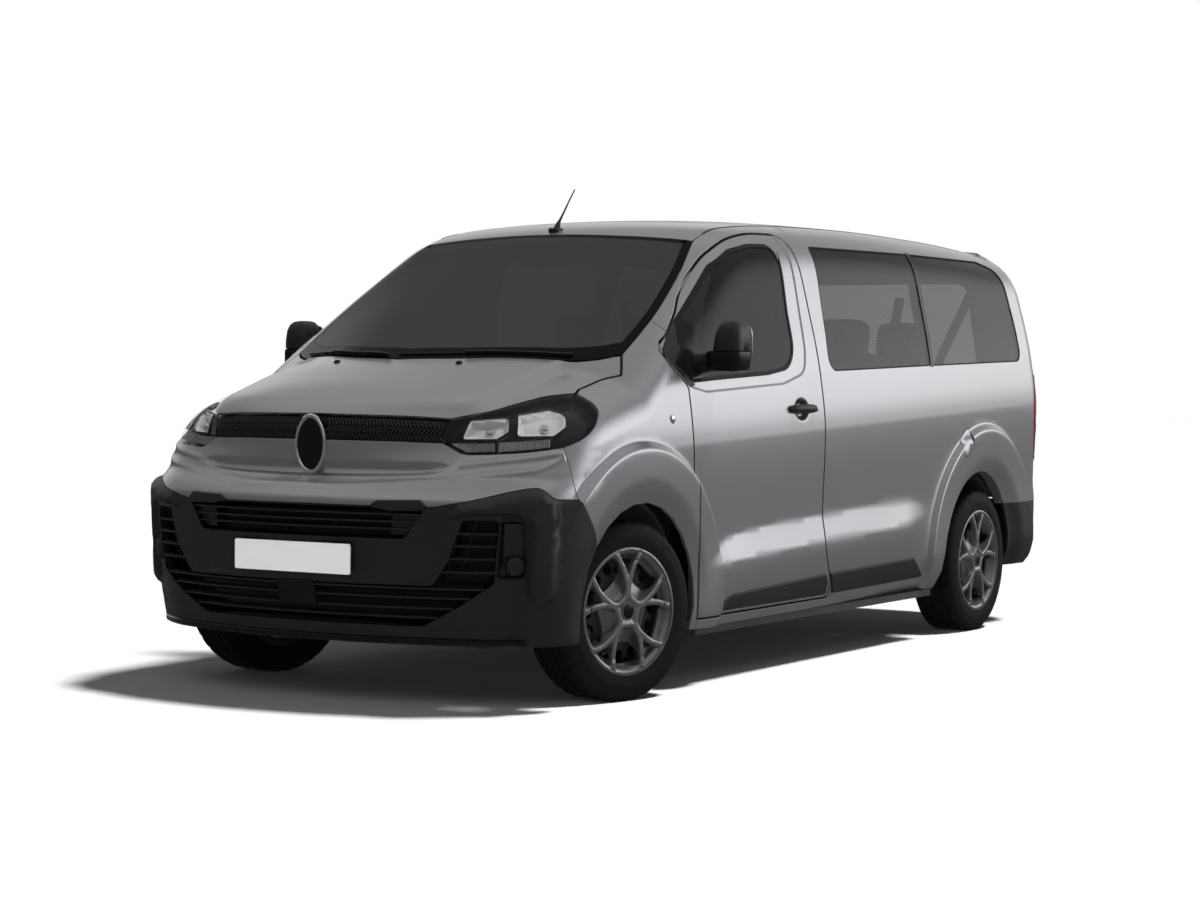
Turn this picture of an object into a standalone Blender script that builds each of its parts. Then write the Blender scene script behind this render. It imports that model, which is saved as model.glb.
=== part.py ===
"""Passenger van, sized by the named values below. Metres, front at -Y, left side at +X, ground at z = 0."""

import math

import bpy
import numpy as np
from mathutils import Matrix, Vector, geometry

# Sizes of the whole vehicle
FRONT_AXLE_Y = -1.587
REAR_AXLE_Y = 1.688
HUB_Z = 0.337
TYRE_R = 0.343
TYRE_W = 0.215
TRACK_X = 0.815
KINGPIN_X = 0.765
REST_STEER = math.radians(-14)

# Walls and gaps
SEAT_GAP = 0.0004
PANE_GAP = 0.0009
SHUT_GAP = 0.007
SWING_GAP = 0.001
SIDE_WALL = 0.050
ROOF_WALL = 0.022
HOOD_WALL = 0.018
FENDER_WALL = 0.010
FASCIA_WALL = 0.012
BUMPER_WALL = 0.014
GLASS_WALL = 0.005
SCREEN_WALL = 0.006
TAILGATE_WALL = 0.045
SILL_Z = 0.235
DOOR_BOTTOM_Z = 0.275
FLOOR_TOP = 0.530
FLOOR_WALL = 0.030
LEDGE_WALL = 0.030

# Wheel arches, centre y, centre z and radius
FRONT_ARCH = (FRONT_AXLE_Y, HUB_Z, 0.405)
REAR_ARCH = (1.615, HUB_Z, 0.430)

GRID = 0.17
LONGEST_EDGE = 0.12
FINE = 1.0
ARC = 3

for old in list(bpy.data.objects):
    bpy.data.objects.remove(old)


def collection(name, hidden):
    made = bpy.data.collections.new(name)
    bpy.context.scene.collection.children.link(made)
    made.hide_render = hidden
    return made


PARTS = collection("parts", False)
HELPERS = collection("helpers", True)


def material(name, colour, rough, metal=0.0, alpha=1.0):
    made = bpy.data.materials.new(name)
    made.use_nodes = True
    node = made.node_tree.nodes["Principled BSDF"]
    node.inputs["Base Color"].default_value = (*colour, 1)
    node.inputs["Roughness"].default_value = rough
    node.inputs["Metallic"].default_value = metal
    node.inputs["Alpha"].default_value = alpha
    made.diffuse_color = (*colour, alpha)
    return made


PAINT = material("paint", (0.30, 0.29, 0.30), 0.35, 0.6)
DARK = material("dark_plastic", (0.035, 0.037, 0.042), 0.6)
GLASS = material("glass", (0.05, 0.055, 0.06), 0.05)
STEEL = material("steel", (0.12, 0.12, 0.13), 0.5, 0.8)
RUBBER = material("rubber", (0.02, 0.02, 0.02), 0.8)
SILVER = material("silver_plastic", (0.42, 0.42, 0.43), 0.4, 0.5)
WHITE = material("plate_white", (0.8, 0.8, 0.8), 0.5)
RED = material("lamp_red", (0.45, 0.02, 0.02), 0.2)
CLEAR = material("lamp_clear", (0.6, 0.62, 0.65), 0.1)
CLOTH = material("seat_cloth", (0.06, 0.06, 0.07), 0.9)


# Body surface, as one smooth field that is zero on the skin and negative inside


def curve(*pts):
    xs = np.array([p[0] for p in pts], float)
    ys = np.array([p[1] for p in pts], float)
    h = np.diff(xs)
    d = np.diff(ys) / h
    m = np.zeros(len(xs))
    m[0], m[-1] = d[0], d[-1]
    for i in range(1, len(xs) - 1):
        if d[i - 1] * d[i] > 0:
            w1, w2 = 2 * h[i] + h[i - 1], h[i] + 2 * h[i - 1]
            m[i] = (w1 + w2) / (w1 / d[i - 1] + w2 / d[i])

    def at(t):
        t = np.asarray(t, float)
        i = np.clip(np.searchsorted(xs, t) - 1, 0, len(h) - 1)
        u = np.clip((t - xs[i]) / h[i], 0, 1)
        return (
            ys[i] * (2 * u**3 - 3 * u**2 + 1)
            + ys[i + 1] * (3 * u**2 - 2 * u**3)
            + h[i] * m[i] * (u**3 - 2 * u**2 + u)
            + h[i] * m[i + 1] * (u**3 - u**2)
        )

    return at


def step(a, b, t):
    u = np.clip((t - a) / (b - a), 0, 1)
    return u * u * (3 - 2 * u)


def smax(a, b, k):
    h = np.maximum(k - np.abs(a - b), 0) / k
    return np.maximum(a, b) + h * h * k / 4


def smin(a, b, k):
    return -smax(-a, -b, k)


hood_c = curve(
    (-2.46, 0.90), (-2.40, 1.03), (-2.34, 1.085), (-2.2, 1.150),
    (-2.0, 1.215), (-1.83, 1.265), (-1.5, 1.345), (-1.0, 1.42),
)
roof_c = curve(
    (-1.2, 1.74), (-0.76, 1.815), (-0.4, 1.868), (0.1, 1.895),
    (0.8, 1.905), (1.6, 1.893), (2.1, 1.872), (2.45, 1.845),
)


def hood(x, y):
    ax = np.abs(x)
    crease = 0.022 * step(-0.02, 0.06, ax - (0.56 + 0.04 * (y + 2.2)))
    return hood_c(y) - 0.10 * ax**2 - 0.20 * np.maximum(ax - 0.3, 0) ** 2 - crease


def screen(x, y):
    q = 0.62 - 0.33 * np.clip((y + 1.6) / 0.9, 0, 1)
    return 1.265 + 0.50 * (y + 1.83 - q * x**2)


def roof(x, y):
    return roof_c(y) - 0.075 * x**2 - 0.10 * np.maximum(np.abs(x) - 0.45, 0) ** 2


def top(x, y):
    return smin(smax(hood(x, y), screen(x, y), 0.01), roof(x, y), 0.05)


section = curve(
    (-0.8, 0.87), (-0.72, 0.920), (-0.62, 0.938), (-0.40, 0.940), (0.0, 0.952), (0.04, 0.950),
    (0.22, 0.928), (0.36, 0.902), (0.5, 0.868), (0.66, 0.828), (0.82, 0.780), (1.0, 0.72),
)
bulge_up = curve((-1.10, 0.50), (-0.86, 0.585), (-0.09, 0.632), (0.82, 0.66), (1.05, 0.62))
bulge_low = curve((-1.10, 0.47), (-0.82, 0.485), (-0.07, 0.519), (0.74, 0.548), (1.05, 0.58))


def bulge(y, z):
    up, low = bulge_up(y), bulge_low(y)
    fade = step(-1.12, -0.85, y) * (1 - step(0.75, 1.08, y))
    u = np.clip((up - z) / (up - low), 0, 1)
    return fade * 0.020 * u * (1 - step(low - 0.02, low - 0.25, z))


def flare(y, z, centre, rise, reach):
    r = np.hypot(y - centre, z - HUB_Z)
    return rise * (1 - step(reach - 0.06, reach + 0.02, r)) * step(0.36, 0.50, r)


def width(y, z):
    w = section(z - 0.985 - 0.038 * y) + bulge(y, z)
    w = w + flare(y, z, FRONT_AXLE_Y, 0.030, 0.64) + flare(y, z, REAR_AXLE_Y, 0.028, 0.66)
    return w - 0.006 * step(0.8, 2.4, y) - 0.012 * step(-1.2, -2.1, y)


front_c = curve(
    (0.20, -2.36), (0.25, -2.405), (0.30, -2.42), (0.42, -2.455), (0.55, -2.478), (0.62, -2.485),
    (0.76, -2.487), (0.80, -2.46), (0.85, -2.395), (0.90, -2.375), (1.06, -2.372), (1.15, -2.36),
    (1.3, -2.3),
)
bow_c = curve(
    (0.2, 0.26), (0.5, 0.27), (0.76, 0.27), (0.86, 0.26), (0.95, 0.33), (1.1, 0.38), (1.3, 0.40)
)
rear_c = curve(
    (0.25, 2.42), (0.30, 2.46), (0.36, 2.485), (0.58, 2.4905), (0.64, 2.485), (0.68, 2.47),
    (1.2, 2.462), (1.5, 2.445), (1.7, 2.425), (1.8, 2.405), (1.95, 2.36),
)


def field(x, y, z):
    a = np.abs(x) - width(y, z)
    b = z - top(x, y)
    f = front_c(z) + bow_c(z) * x**2 - y
    r = y - rear_c(z) + 0.035 * x**2
    kt = 0.17 - 0.05 * step(-0.6, -1.5, y) - 0.05 * step(-1.5, -2.0, y)
    g = smax(a, f, 0.30 - 0.1 * step(0.75, 1.1, z))
    g = smax(g, b, np.where(y < -1.3, 0.10, kt))
    return smax(g, r, 0.14)


def cast(start, way, far=1.7):
    """The points where rays from inside the body leave its skin."""
    start, way = np.atleast_2d(start).astype(float), np.atleast_2d(way).astype(float)
    low, high = np.zeros(len(start)), np.full(len(start), far)
    for _ in range(40):
        mid = (low + high) / 2
        p = start + way * mid[:, None]
        inside = field(p[:, 0], p[:, 1], p[:, 2]) < 0
        low, high = np.where(inside, mid, low), np.where(inside, high, mid)
    return start + way * ((low + high) / 2)[:, None]


core_z = curve((-1.75, 0.80), (-1.2, 0.95), (-0.7, 1.35), (0.0, 1.45), (2.1, 1.45))


def outward(p):
    """One shared direction for the depth of every panel, so that neighbours never meet."""
    core = p.copy()
    core[:, 0] = np.clip(p[:, 0], -0.5, 0.5)
    core[:, 1] = np.clip(p[:, 1], -1.75, 2.1)
    core[:, 2] = np.minimum(p[:, 2], core_z(core[:, 1]))
    way = p - core
    return way / np.linalg.norm(way, axis=1)[:, None]


# Charts: flat drawing boards for the upright panels (BELT) and the lying ones (DECK)

NOSE_X, NOSE_Y, NOSE_R = 0.45, -1.75, 0.50
TAIL_X, TAIL_Y, TAIL_R = 0.70, 2.20, 0.25
NOSE_U = NOSE_Y - NOSE_R * math.pi / 2 - NOSE_X
TAIL_U = TAIL_Y + TAIL_R * math.pi / 2 + TAIL_X


def belt(uv):
    uv = np.atleast_2d(uv).astype(float)
    u, z = uv[:, 0].copy(), uv[:, 1]
    side = np.where((u < NOSE_U) | (u > TAIL_U), -1.0, 1.0)
    u = np.where(u < NOSE_U, 2 * NOSE_U - u, np.where(u > TAIL_U, 2 * TAIL_U - u, u))
    nose = np.clip((NOSE_Y - u) / NOSE_R, 0, math.pi / 2)
    tail = np.clip((u - TAIL_Y) / TAIL_R, 0, math.pi / 2)
    x = np.full(len(u), NOSE_X)
    x = np.where(nose >= math.pi / 2, np.clip(u - NOSE_U, 0, NOSE_X), x)
    x = np.where(u > TAIL_Y - 0.3, NOSE_X + (TAIL_X - NOSE_X) * np.clip((u - TAIL_Y + 0.3) / 0.3, 0, 1), x)
    x = np.where(tail >= math.pi / 2, np.clip(TAIL_U - u, 0, TAIL_X), x)
    y = np.clip(u, NOSE_Y, TAIL_Y)
    way = np.stack([np.cos(nose) * np.cos(tail), -np.sin(nose) + np.sin(tail), 0 * u], -1)
    p = cast(np.stack([x, y, z], -1), way)
    p[:, 0] *= side
    return p


def belt_of(p):
    p = np.atleast_2d(p).astype(float)
    x, y, z = np.abs(p[:, 0]), p[:, 1], p[:, 2]
    side = p[:, 0] < 0
    nose = np.arctan2(NOSE_Y - y, x - NOSE_X)
    tail = np.arctan2(y - TAIL_Y, x - TAIL_X)
    u = y.copy()
    u = np.where(y < NOSE_Y, NOSE_Y - NOSE_R * nose, u)
    u = np.where((y < NOSE_Y) & (x < NOSE_X), NOSE_U + x, u)
    u = np.where(y > TAIL_Y, TAIL_Y + TAIL_R * tail, u)
    u = np.where((y > TAIL_Y) & (x < TAIL_X), TAIL_U - x, u)
    u = np.where(side & (y < 0), 2 * NOSE_U - u, np.where(side, 2 * TAIL_U - u, u))
    return np.stack([u, z], -1)


def side_of(yz):
    """Skin points of the left side at the given y and z."""
    yz = np.atleast_2d(yz).astype(float)
    start = np.stack([np.full(len(yz), 0.15), yz[:, 0], yz[:, 1]], -1)
    return cast(start, np.tile([1.0, 0, 0], (len(yz), 1)))


DECK_X, DECK_Z, DECK_R = 0.40, 0.80, 0.42


def deck(uv):
    uv = np.atleast_2d(uv).astype(float)
    side = np.where(uv[:, 0] < 0, -1.0, 1.0)
    a = np.abs(uv[:, 0])
    turn = np.maximum(a - DECK_X, 0) / DECK_R
    start = np.stack([np.minimum(a, DECK_X), uv[:, 1], np.full(len(a), DECK_Z)], -1)
    p = cast(start, np.stack([np.sin(turn), 0 * a, np.cos(turn)], -1))
    p[:, 0] *= side
    return p


def deck_of(p):
    p = np.atleast_2d(p).astype(float)
    a = np.abs(p[:, 0])
    turn = np.arctan2(a - DECK_X, p[:, 2] - DECK_Z)
    u = np.where(a < DECK_X, a, DECK_X + DECK_R * turn)
    return np.stack([np.where(p[:, 0] < 0, -u, u), p[:, 1]], -1)


def above(x, y):
    """Skin points seen from above."""
    x, y = np.broadcast_arrays(np.asarray(x, float), np.asarray(y, float))
    start = np.stack([x.ravel(), y.ravel(), np.full(x.size, 0.6)], -1)
    return cast(start, np.tile([0, 0, 1.0], (x.size, 1)))


# Outlines


def split(points, longest=LONGEST_EDGE):
    """Points added on a line until no step is longer than this."""
    points = np.asarray(points, float)
    longest = longest * FINE
    out = [points[0]]
    for a, b in zip(points[:-1], points[1:]):
        n = max(1, math.ceil(np.linalg.norm(b - a) / longest - 1e-6))
        # Inserted points stand a hair off the line, so that no flat sliver spans three of them
        off = np.array([a[1] - b[1], b[0] - a[0]]) / np.linalg.norm(b - a) * 1e-5 if len(a) == 2 else 0 * a
        out += [a + (b - a) * k / n + off * ((-1) ** k if k < n else 0) for k in range(1, n + 1)]
    return np.array(out)


def rounded(points, closed=True, arc=None):
    """Each point is x, y and an optional corner radius."""
    arc = arc or ARC
    out = []
    n = len(points)
    for i, point in enumerate(points):
        p = np.array(point[:2], float)
        r = point[2] if len(point) > 2 else 0
        if r == 0 or (not closed and i in (0, n - 1)):
            out.append(p)
            continue
        a = np.array(points[i - 1][:2], float) - p
        b = np.array(points[(i + 1) % n][:2], float) - p
        a, b = a / np.linalg.norm(a), b / np.linalg.norm(b)
        half = math.acos(np.clip(a @ b, -1, 1)) / 2
        run = r / math.tan(half)
        centre = p + (a + b) / np.linalg.norm(a + b) * r / math.sin(half)
        first, last = p + a * run - centre, p + b * run - centre
        t0, t1 = math.atan2(first[1], first[0]), math.atan2(last[1], last[0])
        turn = (t1 - t0 + math.pi) % (2 * math.pi) - math.pi
        for k in range(arc + 1):
            t = t0 + turn * k / arc
            out.append(centre + r * np.array([math.cos(t), math.sin(t)]))
    return np.array(out)


def smooth(points, longest=LONGEST_EDGE):
    """A soft line through all points."""
    p = np.asarray(points, float)
    if len(p) < 3:
        return split(p, longest)
    t = np.concatenate([[0], np.cumsum(np.linalg.norm(np.diff(p, axis=0), axis=1))])
    lines = [curve(*zip(t, p[:, k])) for k in range(p.shape[1])]
    longest = longest * FINE
    s = np.unique(np.concatenate([np.linspace(a, b, max(1, math.ceil((b - a) / longest)) + 1) for a, b in zip(t[:-1], t[1:])]))
    return np.stack([line(s) for line in lines], -1)


def area2(p):
    q = np.roll(p, -1, axis=0)
    return float((p[:, 0] * q[:, 1] - q[:, 0] * p[:, 1]).sum())


def shrink(loop, gaps):
    """A closed loop moved inwards by each edge's own gap. Gap k belongs to the edge from point k."""
    p = np.asarray(loop, float)
    sign = 1 if area2(p) > 0 else -1
    e = np.roll(p, -1, axis=0) - p
    e /= np.linalg.norm(e, axis=1)[:, None]
    normal = np.stack([-e[:, 1], e[:, 0]], -1) * sign
    out = []
    for i in range(len(p)):
        n0, n1, g0, g1 = normal[i - 1], normal[i], gaps[i - 1], gaps[i]
        det = n0[0] * n1[1] - n0[1] * n1[0]
        if abs(det) < 0.17:
            out.append(p[i] + (n0 * g0 + n1 * g1) / 2)
        else:
            out.append(p[i] + np.array([g0 * n1[1] - g1 * n0[1], g1 * n0[0] - g0 * n1[0]]) / det)
    return np.array(out)


def ring(*pieces):
    """A closed loop from lines that follow one another, each with its gap: (points, gap), and the loop shrunk by them."""
    points, gaps = [], []
    for line, gap in pieces:
        line = np.asarray(line, float)
        for q in line:
            if points and np.linalg.norm(points[-1] - q) < 1e-5:
                points.pop()
                gaps.pop()
            points.append(q)
            gaps.append(gap)
    if np.linalg.norm(points[0] - points[-1]) < 1e-5:
        points.pop()
        gaps.pop()
    return shrink(np.array(points), gaps)


def inside_loop(p, loop):
    x, y = p[:, 0][:, None], p[:, 1][:, None]
    a, b = loop, np.roll(loop, -1, axis=0)
    over = (a[:, 1] > y) != (b[:, 1] > y)
    rise = np.where(b[:, 1] == a[:, 1], 1, b[:, 1] - a[:, 1])
    cross = a[:, 0] + (y - a[:, 1]) * (b[:, 0] - a[:, 0]) / rise
    return (over & (x < cross)).sum(1) % 2 == 1


def near_loop(p, loop):
    a, b = loop, np.roll(loop, -1, axis=0)
    d = b - a
    t = ((p[:, None] - a) * d).sum(-1) / np.maximum((d * d).sum(-1), 1e-12)
    close = a + np.clip(t, 0, 1)[..., None] * d
    return np.linalg.norm(p[:, None] - close, axis=-1).min(1)


def fill(outer, holes=(), grid=GRID, extra=None):
    """Triangles over a flat outline with holes, with inner points so that they can follow a curved skin."""
    loops = [np.asarray(outer, float)] + [np.asarray(h, float) for h in holes]
    low, high = loops[0].min(0), loops[0].max(0)
    us = np.arange(np.floor(low[0] / grid), np.ceil(high[0] / grid) + 1) * grid
    vs = np.arange(np.floor(low[1] / grid), np.ceil(high[1] / grid) + 1) * grid
    uu, vv = np.meshgrid(us, vs)
    inner = np.stack([uu.ravel(), vv.ravel()], -1)
    if extra is not None:
        inner = np.concatenate([inner, extra])
    keep = inside_loop(inner, loops[0])
    for h in loops[1:]:
        keep &= ~inside_loop(inner, h)
    for loop in loops:
        keep &= near_loop(inner, loop) > 0.34 * grid
    inner = inner[keep]
    points, edges = [], []
    for loop in loops:
        first = len(points)
        points += list(loop)
        edges += [(first + k, first + (k + 1) % len(loop)) for k in range(len(loop))]
    points += list(inner)
    made = geometry.delaunay_2d_cdt([Vector(p) for p in points], edges, [], 0, 1e-7)
    verts = np.array([tuple(v) for v in made[0]])
    faces = np.array([f for f in made[2] if len(f) == 3])
    middle = verts[faces].mean(1)
    keep = inside_loop(middle, loops[0])
    for h in loops[1:]:
        keep &= ~inside_loop(middle, h)
    return verts, faces[keep]


def mesh_object(name, points, faces, look, where=PARTS):
    mesh = bpy.data.meshes.new(name)
    mesh.from_pydata([tuple(map(float, p)) for p in points], [], [tuple(map(int, f)) for f in faces])
    mesh.materials.append(look)
    mesh.validate()
    made = bpy.data.objects.new(name, mesh)
    where.objects.link(made)
    return made


def shell(name, chart, outer, holes, wall, look, right=False, sink=0.0, grid=GRID):
    """A panel: an outline on the skin, given a depth inwards. sink sets its face back from the skin."""
    flat, faces = fill(outer, holes, grid)
    skin = chart(flat)
    way = outward(skin)
    outside = skin - way * sink
    inside = skin - way * (sink + wall)
    n = len(skin)
    facing = np.cross(outside[faces[:, 1]] - outside[faces[:, 0]], outside[faces[:, 2]] - outside[faces[:, 0]])
    if (facing * way[faces[:, 0]]).sum() < 0:
        faces = faces[:, ::-1]
    ends = {}
    for f in faces:
        for a, b in ((f[0], f[1]), (f[1], f[2]), (f[2], f[0])):
            ends[(a, b)] = True
    rim = [(a, b) for a, b in ends if (b, a) not in ends]
    everything = [tuple(f) for f in faces] + [tuple(f[::-1] + n) for f in faces]
    rank = outside @ np.array([0.31, 0.73, 1.19])
    for a, b in rim:
        if rank[a] < rank[b]:
            everything += [(b, a, a + n), (b, a + n, b + n)]
        else:
            everything += [(b, a, b + n), (a, a + n, b + n)]
    points = np.concatenate([outside, inside])
    if right:
        points[:, 0] *= -1
        everything = [f[::-1] for f in everything]
    return mesh_object(name, points, everything, look)


# Plain solids


def prism(name, profile, axis, low, high, look, where=PARTS):
    """A flat outline pushed along an axis. On x the outline is (y, z), on y it is (x, z), on z it is (x, y)."""
    p = np.asarray(profile, float)
    if area2(p) < 0:
        p = p[::-1]
    n = len(p)
    place = {"x": lambda q, t: (t, q[0], q[1]), "y": lambda q, t: (q[0], t, q[1]), "z": lambda q, t: (q[0], q[1], t)}[axis]
    points = [place(q, low) for q in p] + [place(q, high) for q in p]
    faces = [tuple(range(n))[::-1], tuple(range(n, 2 * n))]
    faces += [(k, (k + 1) % n, n + (k + 1) % n, n + k) for k in range(n)]
    if axis == "y":
        faces = [f[::-1] for f in faces]
    return mesh_object(name, points, faces, look, where)


def box(name, low, high, look, where=PARTS):
    (x0, y0, z0), (x1, y1, z1) = low, high
    return prism(name, [(x0, y0), (x1, y0), (x1, y1), (x0, y1)], "z", z0, z1, look, where)


def lathe(name, profile, segments, look, where=PARTS):
    """A closed (x, radius) outline turned round the x axis."""
    p = np.asarray(profile, float)
    if area2(p) < 0:
        p = p[::-1]
    n = len(p)
    points = []
    for k in range(segments):
        t = 2 * math.pi * k / segments
        points += [(x, r * math.cos(t), r * math.sin(t)) for x, r in p]
    faces = []
    for k in range(segments):
        a, b = k * n, (k + 1) % segments * n
        faces += [(a + i, a + (i + 1) % n, b + (i + 1) % n, b + i) for i in range(n)]
    made = mesh_object(name, points, faces, look, where)
    return made


def tube(name, low, high, r, axis, look, segments=20, where=PARTS, centre=(0, 0)):
    t = [2 * math.pi * k / segments for k in range(segments)]
    return prism(name, [(centre[0] + r * math.cos(a), centre[1] + r * math.sin(a)) for a in t], axis, low, high, look, where)


def arch_arc(arch, r, start, end, n):
    t = np.radians(np.linspace(start, end, n))
    return [(arch[0] + r * math.cos(a), arch[1] + r * math.sin(a)) for a in t]


def join(made, *others, cut=False):
    """Each other solid is added to the first, or cut from it."""
    for other in others:
        HELPERS.objects.link(other)
        PARTS.objects.unlink(other) if other.name in PARTS.objects else None
        other.hide_render = True
        other.display_type = "WIRE"
        m = made.modifiers.new(other.name, "BOOLEAN")
        m.object = other
        m.operation = "DIFFERENCE" if cut else "UNION"
        m.solver = "EXACT"
    return made


def mirrored(made, name):
    """A right-hand copy of a left-hand solid that has no modifiers."""
    points = [(-v.co.x, v.co.y, v.co.z) for v in made.data.vertices]
    faces = [tuple(p.vertices)[::-1] for p in made.data.polygons]
    return mesh_object(name, points, faces, made.data.materials[0])


# Seams that two panels share


def meet(x, low=-1.95, high=-1.2):
    """Where hood and windscreen meet at this x."""
    for _ in range(40):
        mid = (low + high) / 2
        if screen(x, mid) > hood(x, mid):
            high = mid
        else:
            low = mid
    return (low + high) / 2


SCREEN_BASE = above(0.765, -1.446)[0]
SCREEN_TIP = above(0.655, -0.700)[0]
LAMP_TOP = above(0.775, -1.790)[0]
LAMP_IN = np.array([0.536, -2.251, 1.053])

base_x = np.linspace(0, 0.70, 8)
screen_base = [(x, meet(x) + 0.004) for x in base_x] + [(0.765, -1.446)]
SCREEN_LOW = above(*zip(*smooth(screen_base)))
SCREEN_SIDE = above(*zip(*smooth([(0.765, -1.446), (0.764, -1.330), (0.760, -1.222), (0.722, -0.95), (0.655, -0.700)])))
FORK = int(np.argmin(np.abs(SCREEN_SIDE[:, 1] + 1.222)))
SCREEN_TOP = above(*zip(*smooth([(0.655, -0.700), (0.5, -0.722), (0.25, -0.748), (0, -0.757)])))

HOOD_SIDE = belt(smooth(belt_of(np.array([SCREEN_BASE, (0.806, -1.482, 1.252), (0.812, -1.560, 1.205), (0.803, -1.700, 1.158), LAMP_TOP]))))
LAMP_HOOD = belt(smooth(belt_of(np.array([LAMP_TOP, (0.735, -1.90, 1.138), (0.676, -2.024, 1.112), LAMP_IN]))))
hood_nose = smooth([(belt_of(LAMP_IN)[0, 0], 1.053), (NOSE_U + 0.35, 1.060), (NOSE_U, 1.064)])
HOOD_NOSE = belt(hood_nose)
lamp_fender = smooth([belt_of(LAMP_TOP)[0], belt_of(np.array([0.860, -1.800, 1.110]))[0], belt_of(np.array([0.904, -1.856, 1.050]))[0], belt_of(np.array([0.900, -1.96, 0.985]))[0], belt_of(np.array([0.883, -2.046, 0.955]))[0]])
lamp_low = smooth([belt_of(np.array([0.883, -2.046, 0.955]))[0], belt_of(np.array([0.75, -2.17, 0.935]))[0], belt_of(np.array([0.611, -2.257, 0.928]))[0], belt_of(np.array([0.518, -2.283, 0.968]))[0]])
lamp_in = split([lamp_low[-1], hood_nose[0]])
strip_low = smooth([lamp_low[-1], (NOSE_U + 0.30, 0.972), (NOSE_U, 0.973)])

ARCH_BUMPER = side_of([FRONT_ARCH[0] + 0.405 * math.cos(math.radians(140.7)), HUB_Z + 0.405 * math.sin(math.radians(140.7))])[0]
CORNER = np.array([0.943, -2.035, 0.770])
fender_fascia = smooth([lamp_low[0], belt_of(CORNER)[0]])
fender_bumper = smooth([belt_of(CORNER)[0], belt_of(ARCH_BUMPER)[0]])
fascia_bumper = smooth([
    belt_of(CORNER)[0], belt_of(np.array([0.909, -2.119, 0.772]))[0], belt_of(np.array([0.857, -2.181, 0.814]))[0],
    belt_of(np.array([0.648, -2.374, 0.761]))[0], (NOSE_U + 0.52, 0.745), (NOSE_U, 0.747),
])

front_low_angle = 180 + math.degrees(math.asin((HUB_Z - 0.245) / 0.405))
front_arc = belt_of(side_of(arch_arc(FRONT_ARCH, 0.405, 140.7, front_low_angle, 5)))
rear_low_angle = -math.degrees(math.asin((HUB_Z - SILL_Z) / 0.405))
fender_arc = belt_of(side_of(arch_arc(FRONT_ARCH, 0.405, rear_low_angle, 140.7, 12)))

door_front = smooth([
    (-1.160, DOOR_BOTTOM_Z), (-1.160, 0.370), (-1.170, 0.50), (-1.190, 0.694), (-1.200, 0.885), (-1.206, 1.025),
    (-1.206, 1.165), (-1.235, 1.195), (-1.315, 1.262), (-1.322, 1.300), (-1.219, 1.383),
], 0.14)
door_top = smooth([(-1.219, 1.383), (-1.113, 1.461), (-1.020, 1.537), (-0.869, 1.636), (-0.703, 1.724), (-0.480, 1.790), (-0.262, 1.815), (-0.13, 1.818)], 0.14)
door_rear = smooth([(-0.13, 1.818), (-0.075, 1.800), (-0.060, 1.75), (-0.058, 1.2), (-0.058, 0.52), (-0.02, 0.42), (0.029, 0.34), (0.029, DOOR_BOTTOM_Z)], 0.20)
door_low = split([(0.029, DOOR_BOTTOM_Z), (-1.160, DOOR_BOTTOM_Z)], 0.20)
fender_sill = split([(-1.160, SILL_Z), (-1.160, DOOR_BOTTOM_Z)])
pillar_foot = belt_of(np.array([SCREEN_SIDE[FORK]]))[0]
fender_tip = split([(-1.219, 1.383), pillar_foot])
screen_fender = belt_of(SCREEN_SIDE[: FORK + 1])
screen_pillar = belt_of(SCREEN_SIDE[FORK:])

roof_xy = smooth([(0.655, -0.700), (0.638, -0.50), (0.628, -0.25), (0.622, 0.2), (0.62, 1.2), (0.62, 2.1), (0.62, 2.30)], 0.25)
ROOF_SIDE = above(*zip(*roof_xy))
TAIL_TOP_Z = 1.800
tail_top = split([(TAIL_U - 0.60, TAIL_TOP_Z - 0.004), (TAIL_U - 0.3, TAIL_TOP_Z), (TAIL_U, TAIL_TOP_Z)], 0.3)
ROOF_TAIL = belt(tail_top)
roof_corner = split([ROOF_SIDE[-1], ROOF_TAIL[0]], 0.05)
roof_corner = belt(belt_of(roof_corner))
roof_corner[0] = ROOF_SIDE[-1]
roof_side = belt_of(np.concatenate([ROOF_SIDE, roof_corner[1:]]))
TAIL_SIDE_U = 2.470
BUMPER_Z = 0.600
tail_side = smooth([(TAIL_SIDE_U, BUMPER_Z), (TAIL_SIDE_U, 1.24), (TAIL_SIDE_U + 0.008, 1.5), (2.50, 1.68), (2.56, 1.765), tail_top[0]], 0.2)
LAMP_Z = (0.80, 1.235)
rear_arc_end = 180 - math.degrees(math.asin((BUMPER_Z - HUB_Z) / 0.430))
rear_arc_low = math.degrees(math.asin((HUB_Z - SILL_Z) / 0.430))
REAR_DROP = 0.29
rear_arc = belt_of(side_of(arch_arc(REAR_ARCH, 0.430, 180 + rear_arc_low, 180 - rear_arc_end, 15)))
rear_bumper_arc = belt_of(side_of(arch_arc(REAR_ARCH, 0.430, 180 - rear_arc_end, -math.degrees(math.asin((HUB_Z - REAR_DROP) / 0.430)), 5)))
bumper_top = split([rear_bumper_arc[0], (TAIL_SIDE_U, BUMPER_Z)], 0.2)

S = SEAT_GAP / 2
D = SHUT_GAP / 2


def flip(line):
    return np.asarray(line)[::-1]


def across(half, centre):
    """A line from the left side to the middle, carried on to the right side."""
    other = np.array(half, float)
    other[:, 0] = 2 * centre - other[:, 0]
    return np.concatenate([half, flip(other)])


def across3(half):
    other = np.array(half, float)
    other[:, 0] *= -1
    return np.concatenate([half, flip(other)])


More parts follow.
